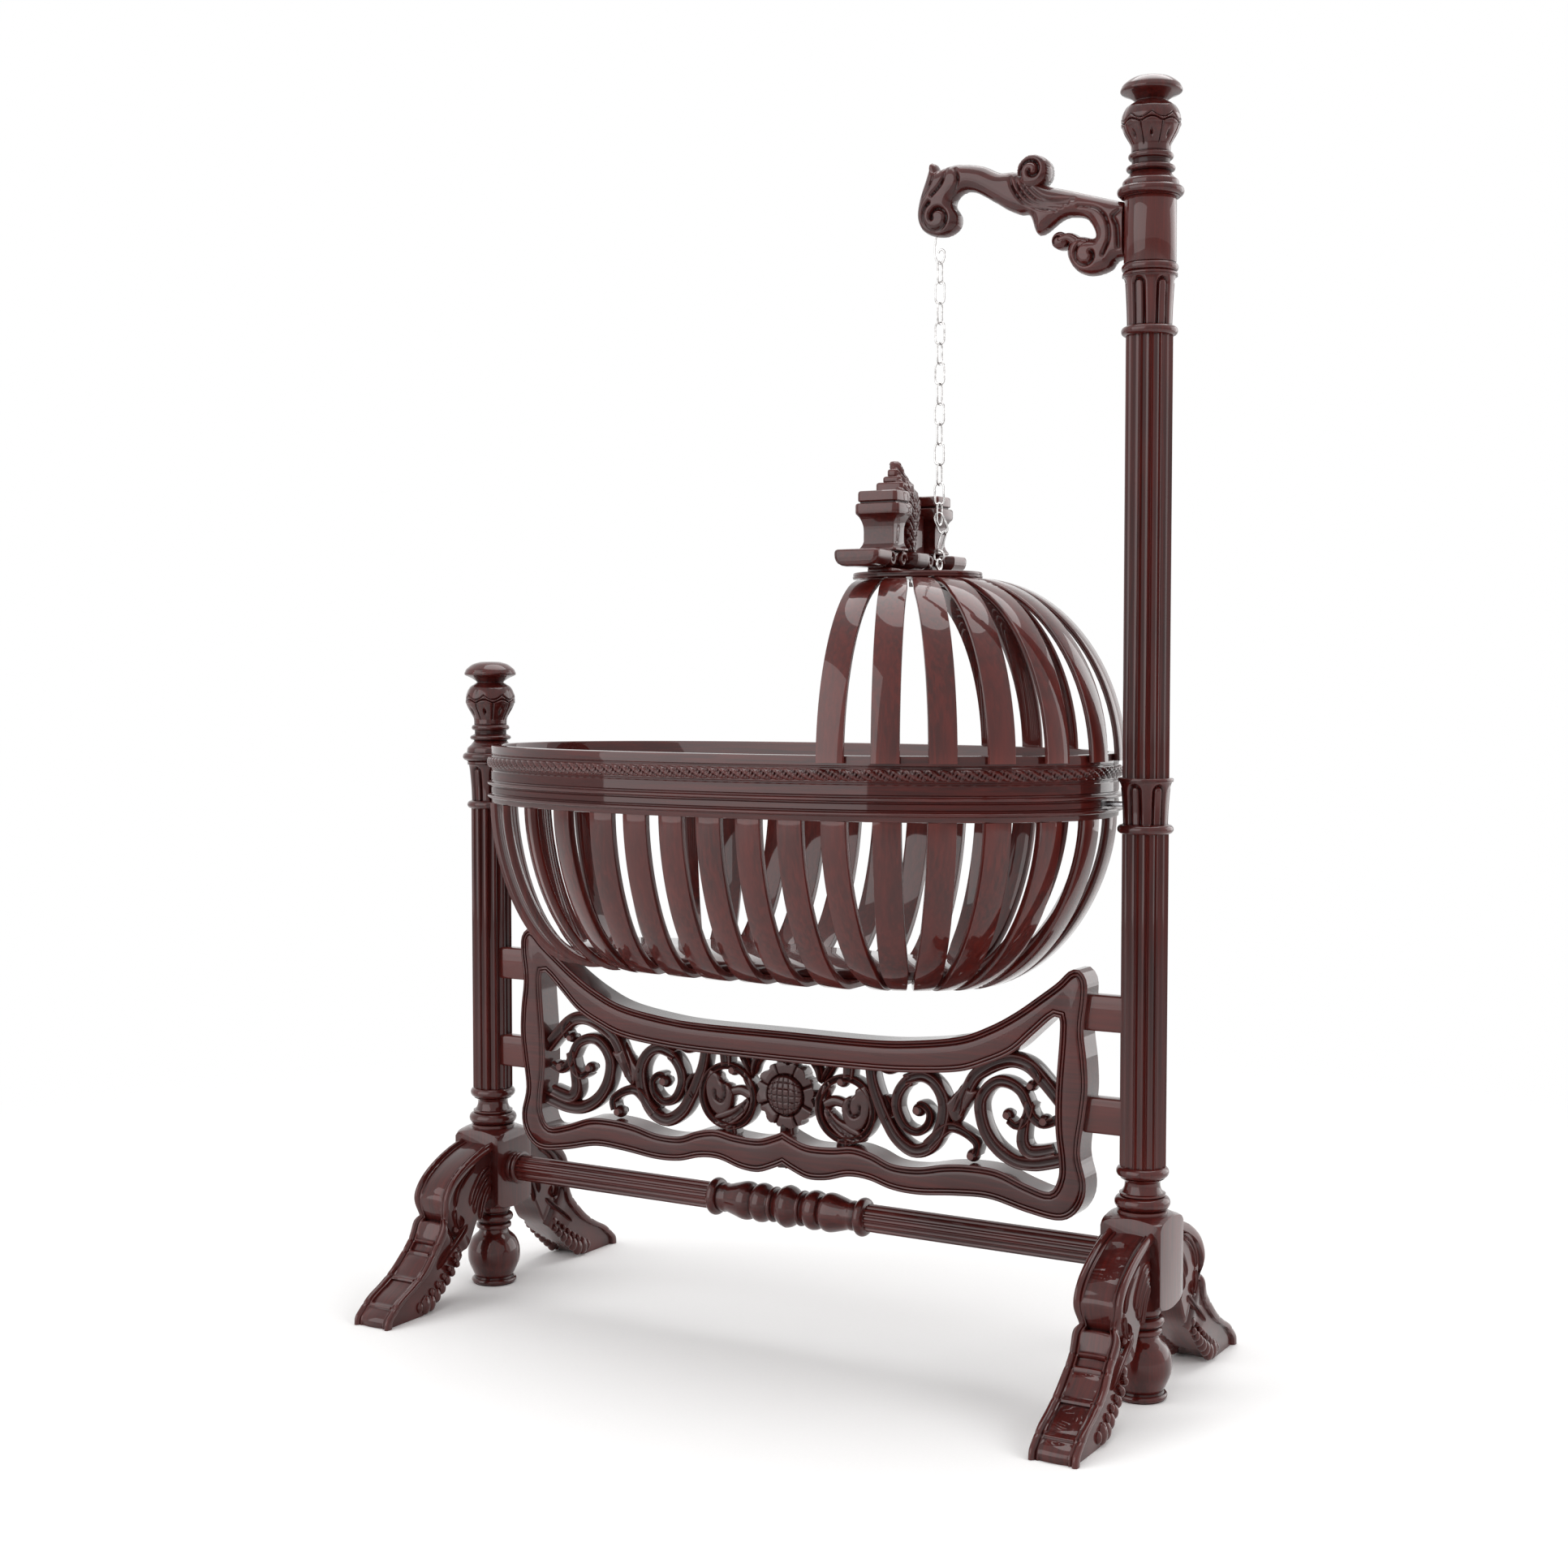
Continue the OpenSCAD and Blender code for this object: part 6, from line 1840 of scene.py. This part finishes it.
    def roots(self) -> List[Tuple[Array, Array]]:
        """Give each front slat's place on the rim and the point that its plane passes.

        Returns:
            The places and points.
        """
        t = np.radians(np.arange(0, 90.1, 1.5))
        arc = lengths(oval(t, self.a, self.b, self.e))
        last_x = self.first_x + self.span

        def angles(x: float) -> List[float]:
            """Share the rim from the side slat at x to the cradle's end among the fan."""
            turn = acos((abs(x) / self.a) ** (self.e / 2))
            s = float(np.interp(turn, t, arc))
            step = s / (self.fan + 0.5)
            return [float(np.interp(s - j * step, arc, t)) for j in range(1, self.fan + 1)]

        def point(angle: float) -> Array:
            """Give the rim's point at an angle."""
            return oval(np.array([angle]), self.a, self.b, self.e)[0]

        foot, head = np.array([self.first_x + 8, 0.0]), np.array([last_x - 12, 0.0])
        out = [(point(pi + a), foot) for a in reversed(angles(self.first_x))]
        for i in range(self.sides):
            x = self.first_x + i * self.span / (self.sides - 1)
            y = -self.b * (1 - (abs(x) / self.a) ** self.e) ** (1 / self.e)
            out.append((np.array([x, y]), np.array([x, 0.0])))
        return out + [(point(TAU - a), head) for a in angles(last_x)]

    def point(self, root: Tuple[Array, Array], s: float) -> Array:
        """Give the outside of a slat at angle s down the basket."""
        d = unit(root[0] - root[1])
        f = 1 - max(cos(radians(s)), 0) ** self.full
        a = (self.a - self.inset) * (1 - f) + self.floor_a * f
        b = (self.b - self.inset) * (1 - f) + self.floor_b * f
        cx, low, high = -self.shift * f, 0.0, self.a
        for _ in range(30):
            r = (low + high) / 2
            p = root[1] + r * d
            if (abs(p[0] - cx) / a) ** self.e + (abs(p[1]) / b) ** self.e > 1:
                high = r
            else:
                low = r
        z = self.z - self.depth * sin(radians(s)) ** self.full
        return np.array([*(root[1] + r * d), z])

    def stations(self, root: Tuple[Array, Array], flat: float, steps: int = 26) -> Array:
        """Give a slat's outside line, with its level end.

        Args:
            root: The slat's place on the rim.
            flat: The number of points on the level end.
            steps: The number of points on the bend.

        Returns:
            The line's points.
        """
        d = unit(root[0] - root[1])
        line = [self.point(root, 90 * k / steps) for k in range(steps + 1)]
        foot = line[-1]
        run = min(flat, float(np.linalg.norm(foot[:2] - root[1])) - 8)
        return np.array(line + [foot - np.array([d[0] * run, d[1] * run, 0])])

    def slats(self) -> None:
        """Bend all the slats, first for the front half and then as its mirror."""
        roots = self.roots()
        planes = [unit(rim - axis) for rim, axis in roots]
        first, last = self.fan, self.fan + self.sides
        made: Dict[str, List[Piece]] = {}
        for kind, numbers, flat in (("foot", range(first), 26.0), ("side", range(first, last),
                400.0), ("head", range(last, len(roots)), 26.0)):
            lines = [self.stations(root, flat) for root in roots]
            made[kind] = [bent_slat(lines[i], planes[i], clear_widths(lines, planes, i,
                self.slat_w, self.fan_gap), self.slat_t) for i in numbers]
        front = join("front_slats_bent", made["side"])
        back = mirror(front, (1, -1, 1))
        back.name = "back_slats_bent"
        dress(front, Finish.SLAT, "cradle", 28)
        dress(back, Finish.SLAT, "cradle", 28)
        for kind in ("head", "foot"):
            half = join(kind, made[kind])
            piece = join(kind + "_slats_bent", [half, mirror(half, (1, -1, 1))])
            dress(piece, Finish.SLAT, "cradle", 28)

    def board(self) -> None:
        """Cut the bottom board and round its edges."""
        t = np.linspace(0, TAU, 160, endpoint=False)
        rings = []
        for out, up in ((-3, 0), (-1, 0.6), (0, 2.5), (0, 11.5), (-1, 13.4), (-3, 14)):
            q = oval(t, self.floor_a - 14 + out, self.floor_b - 14 + out, self.e)
            rings.append(xyz(q[:, 0] - self.shift, q[:, 1], self.board_z + up))
        dress(loft("bottom_board_shaped", rings), Finish.RIM, "cradle")

    def build(self) -> None:
        """Build the basket."""
        self.rim()
        self.rope()
        self.beads()
        self.slats()
        self.board()


def clear_widths(lines: Sequence[Array], planes: Sequence[Array], i: int, most: float, gap: float,
        first_free: bool = False) -> Array:
    """Give a slat's width at each station, so that it clears its neighbours.

    Args:
        lines: The outside lines of all slats of one half, in order.
        planes: The level directions of the planes that they bend in.
        i: The slat's number.
        most: Its full width.
        gap: The least room between slats.
        first_free: Whether the first slat has no mirror image beside it.

    Returns:
        The widths.
    """
    w = np.full(len(lines[i]), most)
    for j in (i - 1, i + 1):
        if 0 <= j < len(lines):
            d = lines[i][:, :2] - lines[j][:, :2]
            rooms = [np.abs(q[0] * d[:, 1] - q[1] * d[:, 0]) for q in (planes[i], planes[j])]
            w = np.minimum(w, 0.94 * np.minimum(*rooms) - gap)
        elif j > 0 or not first_free:
            w = np.minimum(w, 2 * np.abs(lines[i][:, 1]) - gap)
    return w


def bent_slat(line: Array, plane: Array, w: Array, thick: float) -> Piece:
    """Sweep a slat's rounded section along its outside line.

    Args:
        line: The slat's outside line.
        plane: The outward direction, level, of the plane that the slat bends in.
        w: The width at each point of the line.
        thick: The slat's thickness.

    Returns:
        The slat.
    """
    across = np.array([-plane[1], plane[0], 0.0])
    d = np.gradient(line, axis=0)
    d[0] = (0, 0, d[0][2])
    d[-1] = (d[-1][0], d[-1][1], 0)
    d /= np.linalg.norm(d, axis=1)[:, None]
    level = d[:, 0] * plane[0] + d[:, 1] * plane[1]
    down = line[0][2] > line[-1][2]
    sign = np.where(d[:, 2] <= 1e-6, 1.0, -1.0) if down else np.where(d[:, 2] >= -1e-6, -1.0, 1.0)
    depth = xyz(d[:, 2] * plane[0], d[:, 2] * plane[1], -level) * sign[:, None]
    rings = []
    for p, n, width in zip(line, depth, w):
        half = max(width / 2, 0.8)
        r = min(1.5, half * 0.45)
        rings.append([p + across * u + n * (thick / 2 + v) for u, v in rounded_bar(half, thick / 2,
            r, 2)])
    return loft("slat", rings)


@dataclass
class Hood:
    """The slatted half dome and its top plate.

    Attributes:
        basket: The basket that it stands on.
        foot: The height of the slats' feet.
        top: The height of the plate's underside.
        plate_x: The plate's middle.
        plate_a: The plate's half length.
        plate_b: The plate's half width.
        plate_t: The plate's thickness.
        thick: The slats' thickness.
        full: How full the dome is.
        spread: How much wider the slats fan out at the plate than at the rim.
    """

    basket: Basket
    foot: float = 897.0
    top: float = 1158.0
    plate_x: float = 219.0
    plate_a: float = 98.0
    plate_b: float = 86.0
    plate_t: float = 10.0
    thick: float = 8.0
    full: float = 1.04
    spread: float = 1.35

    def base(self, root: Array) -> Tuple[Array, Array]:
        """Give a slat's foot outside the rim, and its top under the plate.

        Args:
            root: The slat's place on the rim.

        Returns:
            The foot and the top.
        """
        a = self.spread * atan2(root[1], root[0] - self.plate_x + 46)
        top = np.array([self.plate_x + (self.plate_a - 4) * cos(a), (self.plate_b - 4) * sin(a)])
        k = self.basket
        n = k.outward(root[None])[0]
        d = root - top
        turn = asin(abs(n[0] * d[1] - n[1] * d[0]) / float(np.linalg.norm(d)))
        out = 0.3 + self.thick * cos(turn) + k.slat_w / 2 * sin(turn)
        return root + n * out, top

    def slats(self) -> None:
        """Bend the twelve slats."""
        k, steps, flat = self.basket, 24, 22
        lines, planes = [], []
        for root, _ in k.roots()[k.fan + k.sides - 1:]:
            low, high = self.base(root)
            line = []
            for step in range(steps + 1):
                s = radians(90 * step / steps)
                f = 1 - max(cos(s), 0) ** self.full
                z = self.foot + (self.top - self.foot) * sin(s) ** self.full
                line.append([*(low * (1 - f) + high * f), z])
            planes.append(unit(low - high))
            lines.append(np.array(line + [[*(high - planes[-1] * flat), self.top]]))
        pieces = [bent_slat(line, planes[i], clear_widths(lines, planes, i, k.slat_w, k.fan_gap,
            True), self.thick) for i, line in enumerate(lines)]
        half = join("hood", pieces)
        piece = join("hood_slats_bent", [half, mirror(half, (1, -1, 1))])
        dress(piece, Finish.SLAT, "cradle", 28)

    def plate(self) -> None:
        """Turn the plate's moulded edge and follow its oval."""
        t = np.linspace(0, TAU, 120, endpoint=False)
        rings = []
        for out, up in ((-2.4, 0), (-0.8, 0.5), (0, 1.8), (0, 4.2), (-1.2, 4.9), (-1.2, 5.4),
                (-0.6, 6.2), (-0.6, 7.9), (-1.6, 9.4), (-3.4, self.plate_t)):
            q = oval(t, self.plate_a + out, self.plate_b + out, 2)
            rings.append(xyz(q[:, 0] + self.plate_x, q[:, 1], self.top + up))
        dress(loft("hood_plate_moulded", rings), Finish.RIM, "cradle", 34)

    def build(self) -> None:
        """Build the hood."""
        self.slats()
        self.plate()


@dataclass
class Crown:
    """The carved crown on the hood: base, two pilasters, panel and leaf.

    Attributes:
        x: The crown's place along the cradle.
        z: The height of the plate's top.
        depth: The crown's depth along X.
        half: The half length of its base.
        base_h: The height of the base.
        foot_h: The height of the pilasters' feet.
        y: The outside of the pilasters.
        pilaster_w: A pilaster's width.
        pilaster_h: A pilaster's height.
        cornice: Half the height of its cornice.
        leaf_half: The leaf's half width.
        leaf_h: The leaf's height.
    """

    x: float = 198.0
    z: float = 1168.0
    depth: float = 74.0
    half: float = 146.0
    base_h: float = 25.0
    foot_h: float = 4.0
    y: float = 94.0
    pilaster_w: float = 44.0
    pilaster_h: float = 52.0
    cornice: float = 17.0
    leaf_half: float = 27.0
    leaf_h: float = 136.0

    def block(self, cx: float, line: Line, d: float, w: float, r: float, cy: float = 0.0) -> Piece:
        """Stack rounded oblongs that grow by the line's (grow, height) points."""
        return loft("block", [[(cx + a, cy + b, z) for a, b in rounded_bar(d / 2 + g, w / 2 + g,
            max(min(r + g, d / 2), 0.8), 4)] for g, z in line])

    def base(self) -> None:
        """Shape the base slab, whose ends roll under, and its plinth."""
        z, cx, rings = self.z + self.foot_h, self.x - 4, []
        half = [(31, 12.5), (34.4, 11.2), (35.8, 8.6), (36, 4.5), (35.4, 0), (33.6, -4.4),
            (30, -8.4), (24, -11.4), (17, -12.5)]
        section = half + [(-u, v) for u, v in reversed(half)]
        ends = ((0, 0.66), (0.9, 0.82), (2.2, 0.91), (4.2, 0.97), (7, 1.0))
        places = [(-self.half + e, k) for e, k in ends]
        places += [(y, 1.0) for y in np.linspace(-134, 134, 66)]
        places += [(self.half - e, k) for e, k in reversed(ends)]
        for y, k in places:
            far = np.array([abs(y)])
            back = 15.0 * float((1 - ease(far, 94, 100))[0] * ease(far, 18, 23)[0])
            rings.append([(cx + u * (0.4 + 0.6 * k) - (back if u > 0 else 0), y, z + 12.5 + v * k)
                for u, v in section])
        pieces = [loft("slab", rings)]
        for s in (-1, 1):
            for y, r, turn in ((77, 13.0, 1), (42, 11.0, -1)):
                path = spiral(0, 0, r, 2.5, 90 - 90 * turn, 400 * turn)
                curl = loft("curl", wire_rings(path, 3.8, 10))
                shape(curl, lambda p: xyz(cx + 21.5 + p[:, 1], s * y + s * p[:, 0],
                    z + 13 + p[:, 2]))
                pieces.append(close(curl, caps=False))
        plinth = spots(0, self.z, [(0, 0), (0, 3.4), (-1, 4.6)])
        pieces.append(self.block(cx, plinth, 40, self.y * 1.6, 6))
        piece = join("crown_base_carved", pieces)
        dress(piece, Finish.CROWN, "cradle", 40)

    def pilasters(self) -> None:
        """Mould the two pilasters under their rounded cornices."""
        z, h, c = self.z + self.foot_h + self.base_h, self.pilaster_h, self.cornice
        line = [(-1.5, z), (0, z + 0.8)]
        line += spots(0, z, [(0, 0.06), (-1.8, 0.1), (-4.4, 0.17), (-5.6, 0.26), (-5.6, 0.5)],
            kz=h)
        line += smooth(spots(0, z, [(-5.6, 0.52), (-5.2, 0.66), (-3.6, 0.79), (-0.6, 0.9),
            (2.6, 0.97), (4.4, 1)], kz=h), 4)
        line += [(5.4, z + h + 1.0)]
        line += spots(0, z + h, [(6, 0.2), (6, 0.76), (5.2, 0.88), (3.6, 0.95), (-1, 0.97),
            (-1, 1.07), (1, 1.1), (2.2, 1.2), (2.2, 1.76), (1.4, 1.92), (-0.6, 2)], kz=c)
        pieces = [self.block(self.x, line, self.depth - 14, self.pilaster_w, 4.5,
            s * (self.y - 6 - self.pilaster_w / 2)) for s in (-1, 1)]
        piece = join("crown_pilasters_moulded", pieces)
        dress(piece, Finish.CROWN, "cradle", 30)

    def panel(self) -> None:
        """Hollow the panel between the pilasters."""
        z, half, top = self.z + self.foot_h + self.base_h, self.y - 6 - self.pilaster_w, 58.0
        right = [(half - 1, 0), (half - 1, top - 3), (half - 3, top)]
        outline = spots(0, z, [(-half + 1, 0)] + right + [(-half + 3, top), (-half + 1, top - 3),
            (-half + 1, 0)])

        def height(p: Array) -> Array:
            """Dish the panel and cut a line beside its frame."""
            u, v = np.abs(p[:, 0]) / half, (p[:, 1] - z) / top
            dish = 3.8 * (1 - u ** 4) * np.clip(1 - (2 * v - 0.95) ** 4, 0, 1)
            lines = [1.2 * hill(w - 0.93, 0.03) for w in (u, v)]
            return 11.8 - dish - (lines[0] + lines[1])

        piece = relief("crown_panel_carved", resample(outline, 90)[:-1], height, 2.0)
        shape(piece, lambda p: xyz(self.x - p[:, 1], p[:, 0], p[:, 2]))
        dress(piece, Finish.LEAF, "cradle", 55)

    def leaf(self) -> None:
        """Carve the lobed and ribbed leaf before its stepped back."""
        z0, h, w = self.z + self.foot_h + self.base_h, self.leaf_h, self.leaf_half
        width = np.array(smooth([(0.4, h), (3.6, h - 2.5), (7.0, h - 8), (10.0, h - 15),
            (15.0, h - 26), (w * 0.82, h - 38), (w, h - 52), (w, h - 66), (w * 0.8, h - 80),
            (w * 0.6, h - 104), (w * 0.5, 12), (w * 0.44, 0)], 5))[::-1]
        lean = np.array([(6, 0), (8, 30), (10.0, h - 86), (10.0, h - 70), (5.0, h - 50),
            (-5.0, h - 30), (-14.0, h - 12), (-18.0, h)])
        side = []
        for v in np.linspace(0.5, h - 0.5, 150):
            lobe = abs(sin(pi * (v - 7) / 15.5)) ** 0.6
            deep = 0.26 * min(1.0, max(0.0, (h - 8 - v) / 8))
            side.append((float(np.interp(v, width[:, 1], width[:, 0])) * (1 - deep + deep * lobe),
                v))
        outline = side + [(0.0, h)] + [(-y, v) for y, v in reversed(side)]

        def height(p: Array) -> Array:
            """Give the half thickness: ribs on either side of the middle vein."""
            y, v = np.abs(p[:, 0]), p[:, 1]
            share = np.clip(y / np.interp(v, width[:, 1], width[:, 0]), 0, 1)
            rib = np.abs(np.sin(pi * (v - 7 + 22 * (1 - share)) / 15.5)) ** 0.7
            fine = np.abs(np.sin(pi * (v - 7 + 22 * (1 - share)) / 5.17))
            out = 4.6 + 3.6 * rib * np.clip(share * 4, 0, 1) + 0.9 * fine - 2.6 * share ** 3
            edge = np.clip(line_distance(p, outline + [outline[0]]) / 5.0, 0, 1)
            round_off = 0.15 + 0.85 * np.sqrt(1 - (1 - edge) ** 2)
            return (out + 3.4 * hill(y, 2.4)) * round_off

        face = relief("leaf", outline, height, 1.15)
        shape(face, lambda p: xyz(self.x + np.interp(p[:, 2], lean[:, 1], lean[:, 0]) - p[:, 1],
            p[:, 0], z0 + p[:, 2]))
        pieces = [face]
        for x0, x1, y, low, high in ((-39.0, 6.0, 21.5, 59.0, 103.6), (-30.0, 0.0, 17.0, 102.6,
                112.6), (-25.0, -7.0, 12.5, 111.6, 123.5)):
            r = min(6.0, (x1 - x0) / 2 - 0.5)
            line = spots(0, z0 + low, [(-3, 0), (-0.8, 1), (0, 2.8)])
            line += spots(0, z0 + high, [(0, -3.2), (-0.9, -1.2), (-3, 0)])
            pieces.append(self.block(self.x + (x0 + x1) / 2, line, x1 - x0, 2 * y, r))
        piece = join("crown_leaf_carved", pieces)
        dress(piece, Finish.LEAF, "cradle", angle=50)

    def build(self) -> None:
        """Build the crown."""
        self.base()
        self.pilasters()
        self.panel()
        self.leaf()


@dataclass
class Fittings:
    """The hidden joinery and the pivots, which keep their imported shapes.

    Attributes:
        finishes: Each fitting's solid with its finish.
    """

    finishes: Tuple[Tuple[str, Finish], ...] = (("leg_dowels", Finish.DOWEL),
        ("arm_dowels", Finish.DOWEL), ("head_pivot_bush", Finish.PIVOT),
        ("foot_pivot_bush", Finish.PIVOT), ("head_pivot_plate", Finish.PIVOT),
        ("foot_pivot_plate", Finish.PIVOT), ("head_pivot_bolt", Finish.BOLT),
        ("foot_pivot_bolt", Finish.BOLT))

    def build(self) -> None:
        """Give each fitting its finish."""
        for name, finish in self.finishes:
            finish.apply(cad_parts[name], 30)
            LOG.info("%s: packed shape, %s", name, finish.value[1].name)


# --- The studio ---

@dataclass
class Studio:
    """Camera, pale floor, white surroundings and soft lamps.

    Attributes:
        eye: The camera's place in metres.
        turn: How far the camera looks to the left of the way back.
        down: How far it looks down.
        lens: Its focal length.
    """

    eye: Spot = (1.6962, -2.8636, 1.0168)
    turn: float = 30.7786
    down: float = 2.8436
    lens: float = 50.06

    def camera(self) -> None:
        """Set the camera up where the photograph was taken."""
        clear()
        bpy.ops.object.camera_add(location=self.eye, rotation=(radians(90 - self.down), 0,
            radians(self.turn)))
        camera = bpy.context.object
        camera.name = "Camera"
        camera.data.lens = self.lens
        camera.data.sensor_width = 36
        bpy.context.scene.camera = camera

    def floor(self) -> None:
        """Lay a pale floor that fades into the white surroundings."""
        clear()
        bpy.ops.mesh.primitive_plane_add(size=60, location=(0, 0, -0.0005))
        floor = bpy.context.object
        floor.name = "floor"
        r = Recipe(bpy.data.materials.new("Pale floor"))
        place = r.place()
        fleck = r.noise(place, 240, 3, 0.6)
        cloud = r.noise(place, 2.2, 3, 0.5)
        tone = r.mix(fleck.between(0.35, 0.7) * 0.35 + cloud * 0.2, (0.95, 0.945, 0.94, 1),
            (0.90, 0.895, 0.89, 1))
        bump = r.node("ShaderNodeBump", Strength=0.1, Distance=0.0008, Height=fleck)
        matte = r.node("ShaderNodeBsdfPrincipled", Base_Color=tone, Roughness=0.72 + fleck * 0.15,
            Normal=bump)
        away = r.node("ShaderNodeVectorMath", {"operation": "LENGTH"}, out="Value", Vector=place)
        far = away.between(0.8, 2.6)
        white = r.node("ShaderNodeEmission", Color=(1, 1, 1, 1), Strength=1.0)
        seen = r.node("ShaderNodeLightPath", out="Is Camera Ray")
        mixed = r.node("ShaderNodeMixShader", i0=far * seen, i1=matte, i2=white)
        r.node("ShaderNodeOutputMaterial", Surface=mixed)
        floor.data.materials.append(r.owner)

    def world(self) -> None:
        """Surround the scene with white that glossy surfaces mirror."""
        r = Recipe(bpy.data.worlds.new("White surroundings"))
        camera, gloss, glass = [r.node("ShaderNodeLightPath", out=f"Is {kind} Ray")
            for kind in ("Camera", "Glossy", "Transmission")]
        seen = (camera + gloss + glass).between(0, 1)
        back = r.node("ShaderNodeBackground", Color=(1, 1, 1, 1), Strength=seen * 0.5 + 0.5)
        r.node("ShaderNodeOutputWorld", Surface=back)
        bpy.context.scene.world = r.owner

    def lamp(self, name: str, place: Spot, size: float, power: float,
            mirrored: bool = False, sheen_only: bool = False) -> None:
        """Hang a soft lamp that looks at the middle of the cradle.

        Args:
            name: The lamp's name.
            place: Its place in metres.
            size: Its diameter in metres.
            power: Its power in watts.
            mirrored: Whether gloss mirrors it.
            sheen_only: Whether it adds gloss alone.
        """
        clear()
        aim = Vector((0, 0, 0.75)) - Vector(place)
        bpy.ops.object.light_add(type="AREA", location=place, rotation=aim.to_track_quat("-Z",
            "Y").to_euler())
        lamp = bpy.context.object
        lamp.name = name
        lamp.data.shape = "SQUARE" if sheen_only else "DISK"
        lamp.data.size = size
        lamp.data.energy = power
        lamp.visible_glossy = mirrored
        lamp.visible_diffuse = not sheen_only
        lamp.visible_camera = False

    def build(self) -> None:
        """Build the studio."""
        self.floor()
        self.world()
        self.lamp("Front lamp", (-3.2, -4.2, 3.4), size=4.0, power=150)
        self.lamp("Right lamp", (4.6, -0.4, 2.8), size=3.4, power=95)
        self.lamp("Top lamp", (0.2, 0.8, 5.0), size=4.5, power=150, mirrored=True)
        for name, place, size, power in (("Back lamp", (3.4, 4.2, 1.7), 4.6, 130),
                ("Front card", (-1.9, -4.6, 2.3), 5.6, 195)):
            self.lamp(name, place, size, power, mirrored=True, sheen_only=True)
        self.camera()
        scene = bpy.context.scene
        scene.view_settings.view_transform = "Standard"


def main() -> None:
    """Build the cradle piece by piece, and the studio round it."""
    logging.basicConfig(level=logging.INFO, format="%(message)s")
    basket = Basket()
    for part in (Post(1), Post(-1), Leg(1, -1), Leg(1, 1), Leg(-1, -1), Leg(-1, 1), Rail(),
            Panel(), Arm(), Chain(), basket, Hood(basket), Crown(), Fittings(), Studio()):
        part.build()
    clear()


if __name__ == "__main__":
    main()
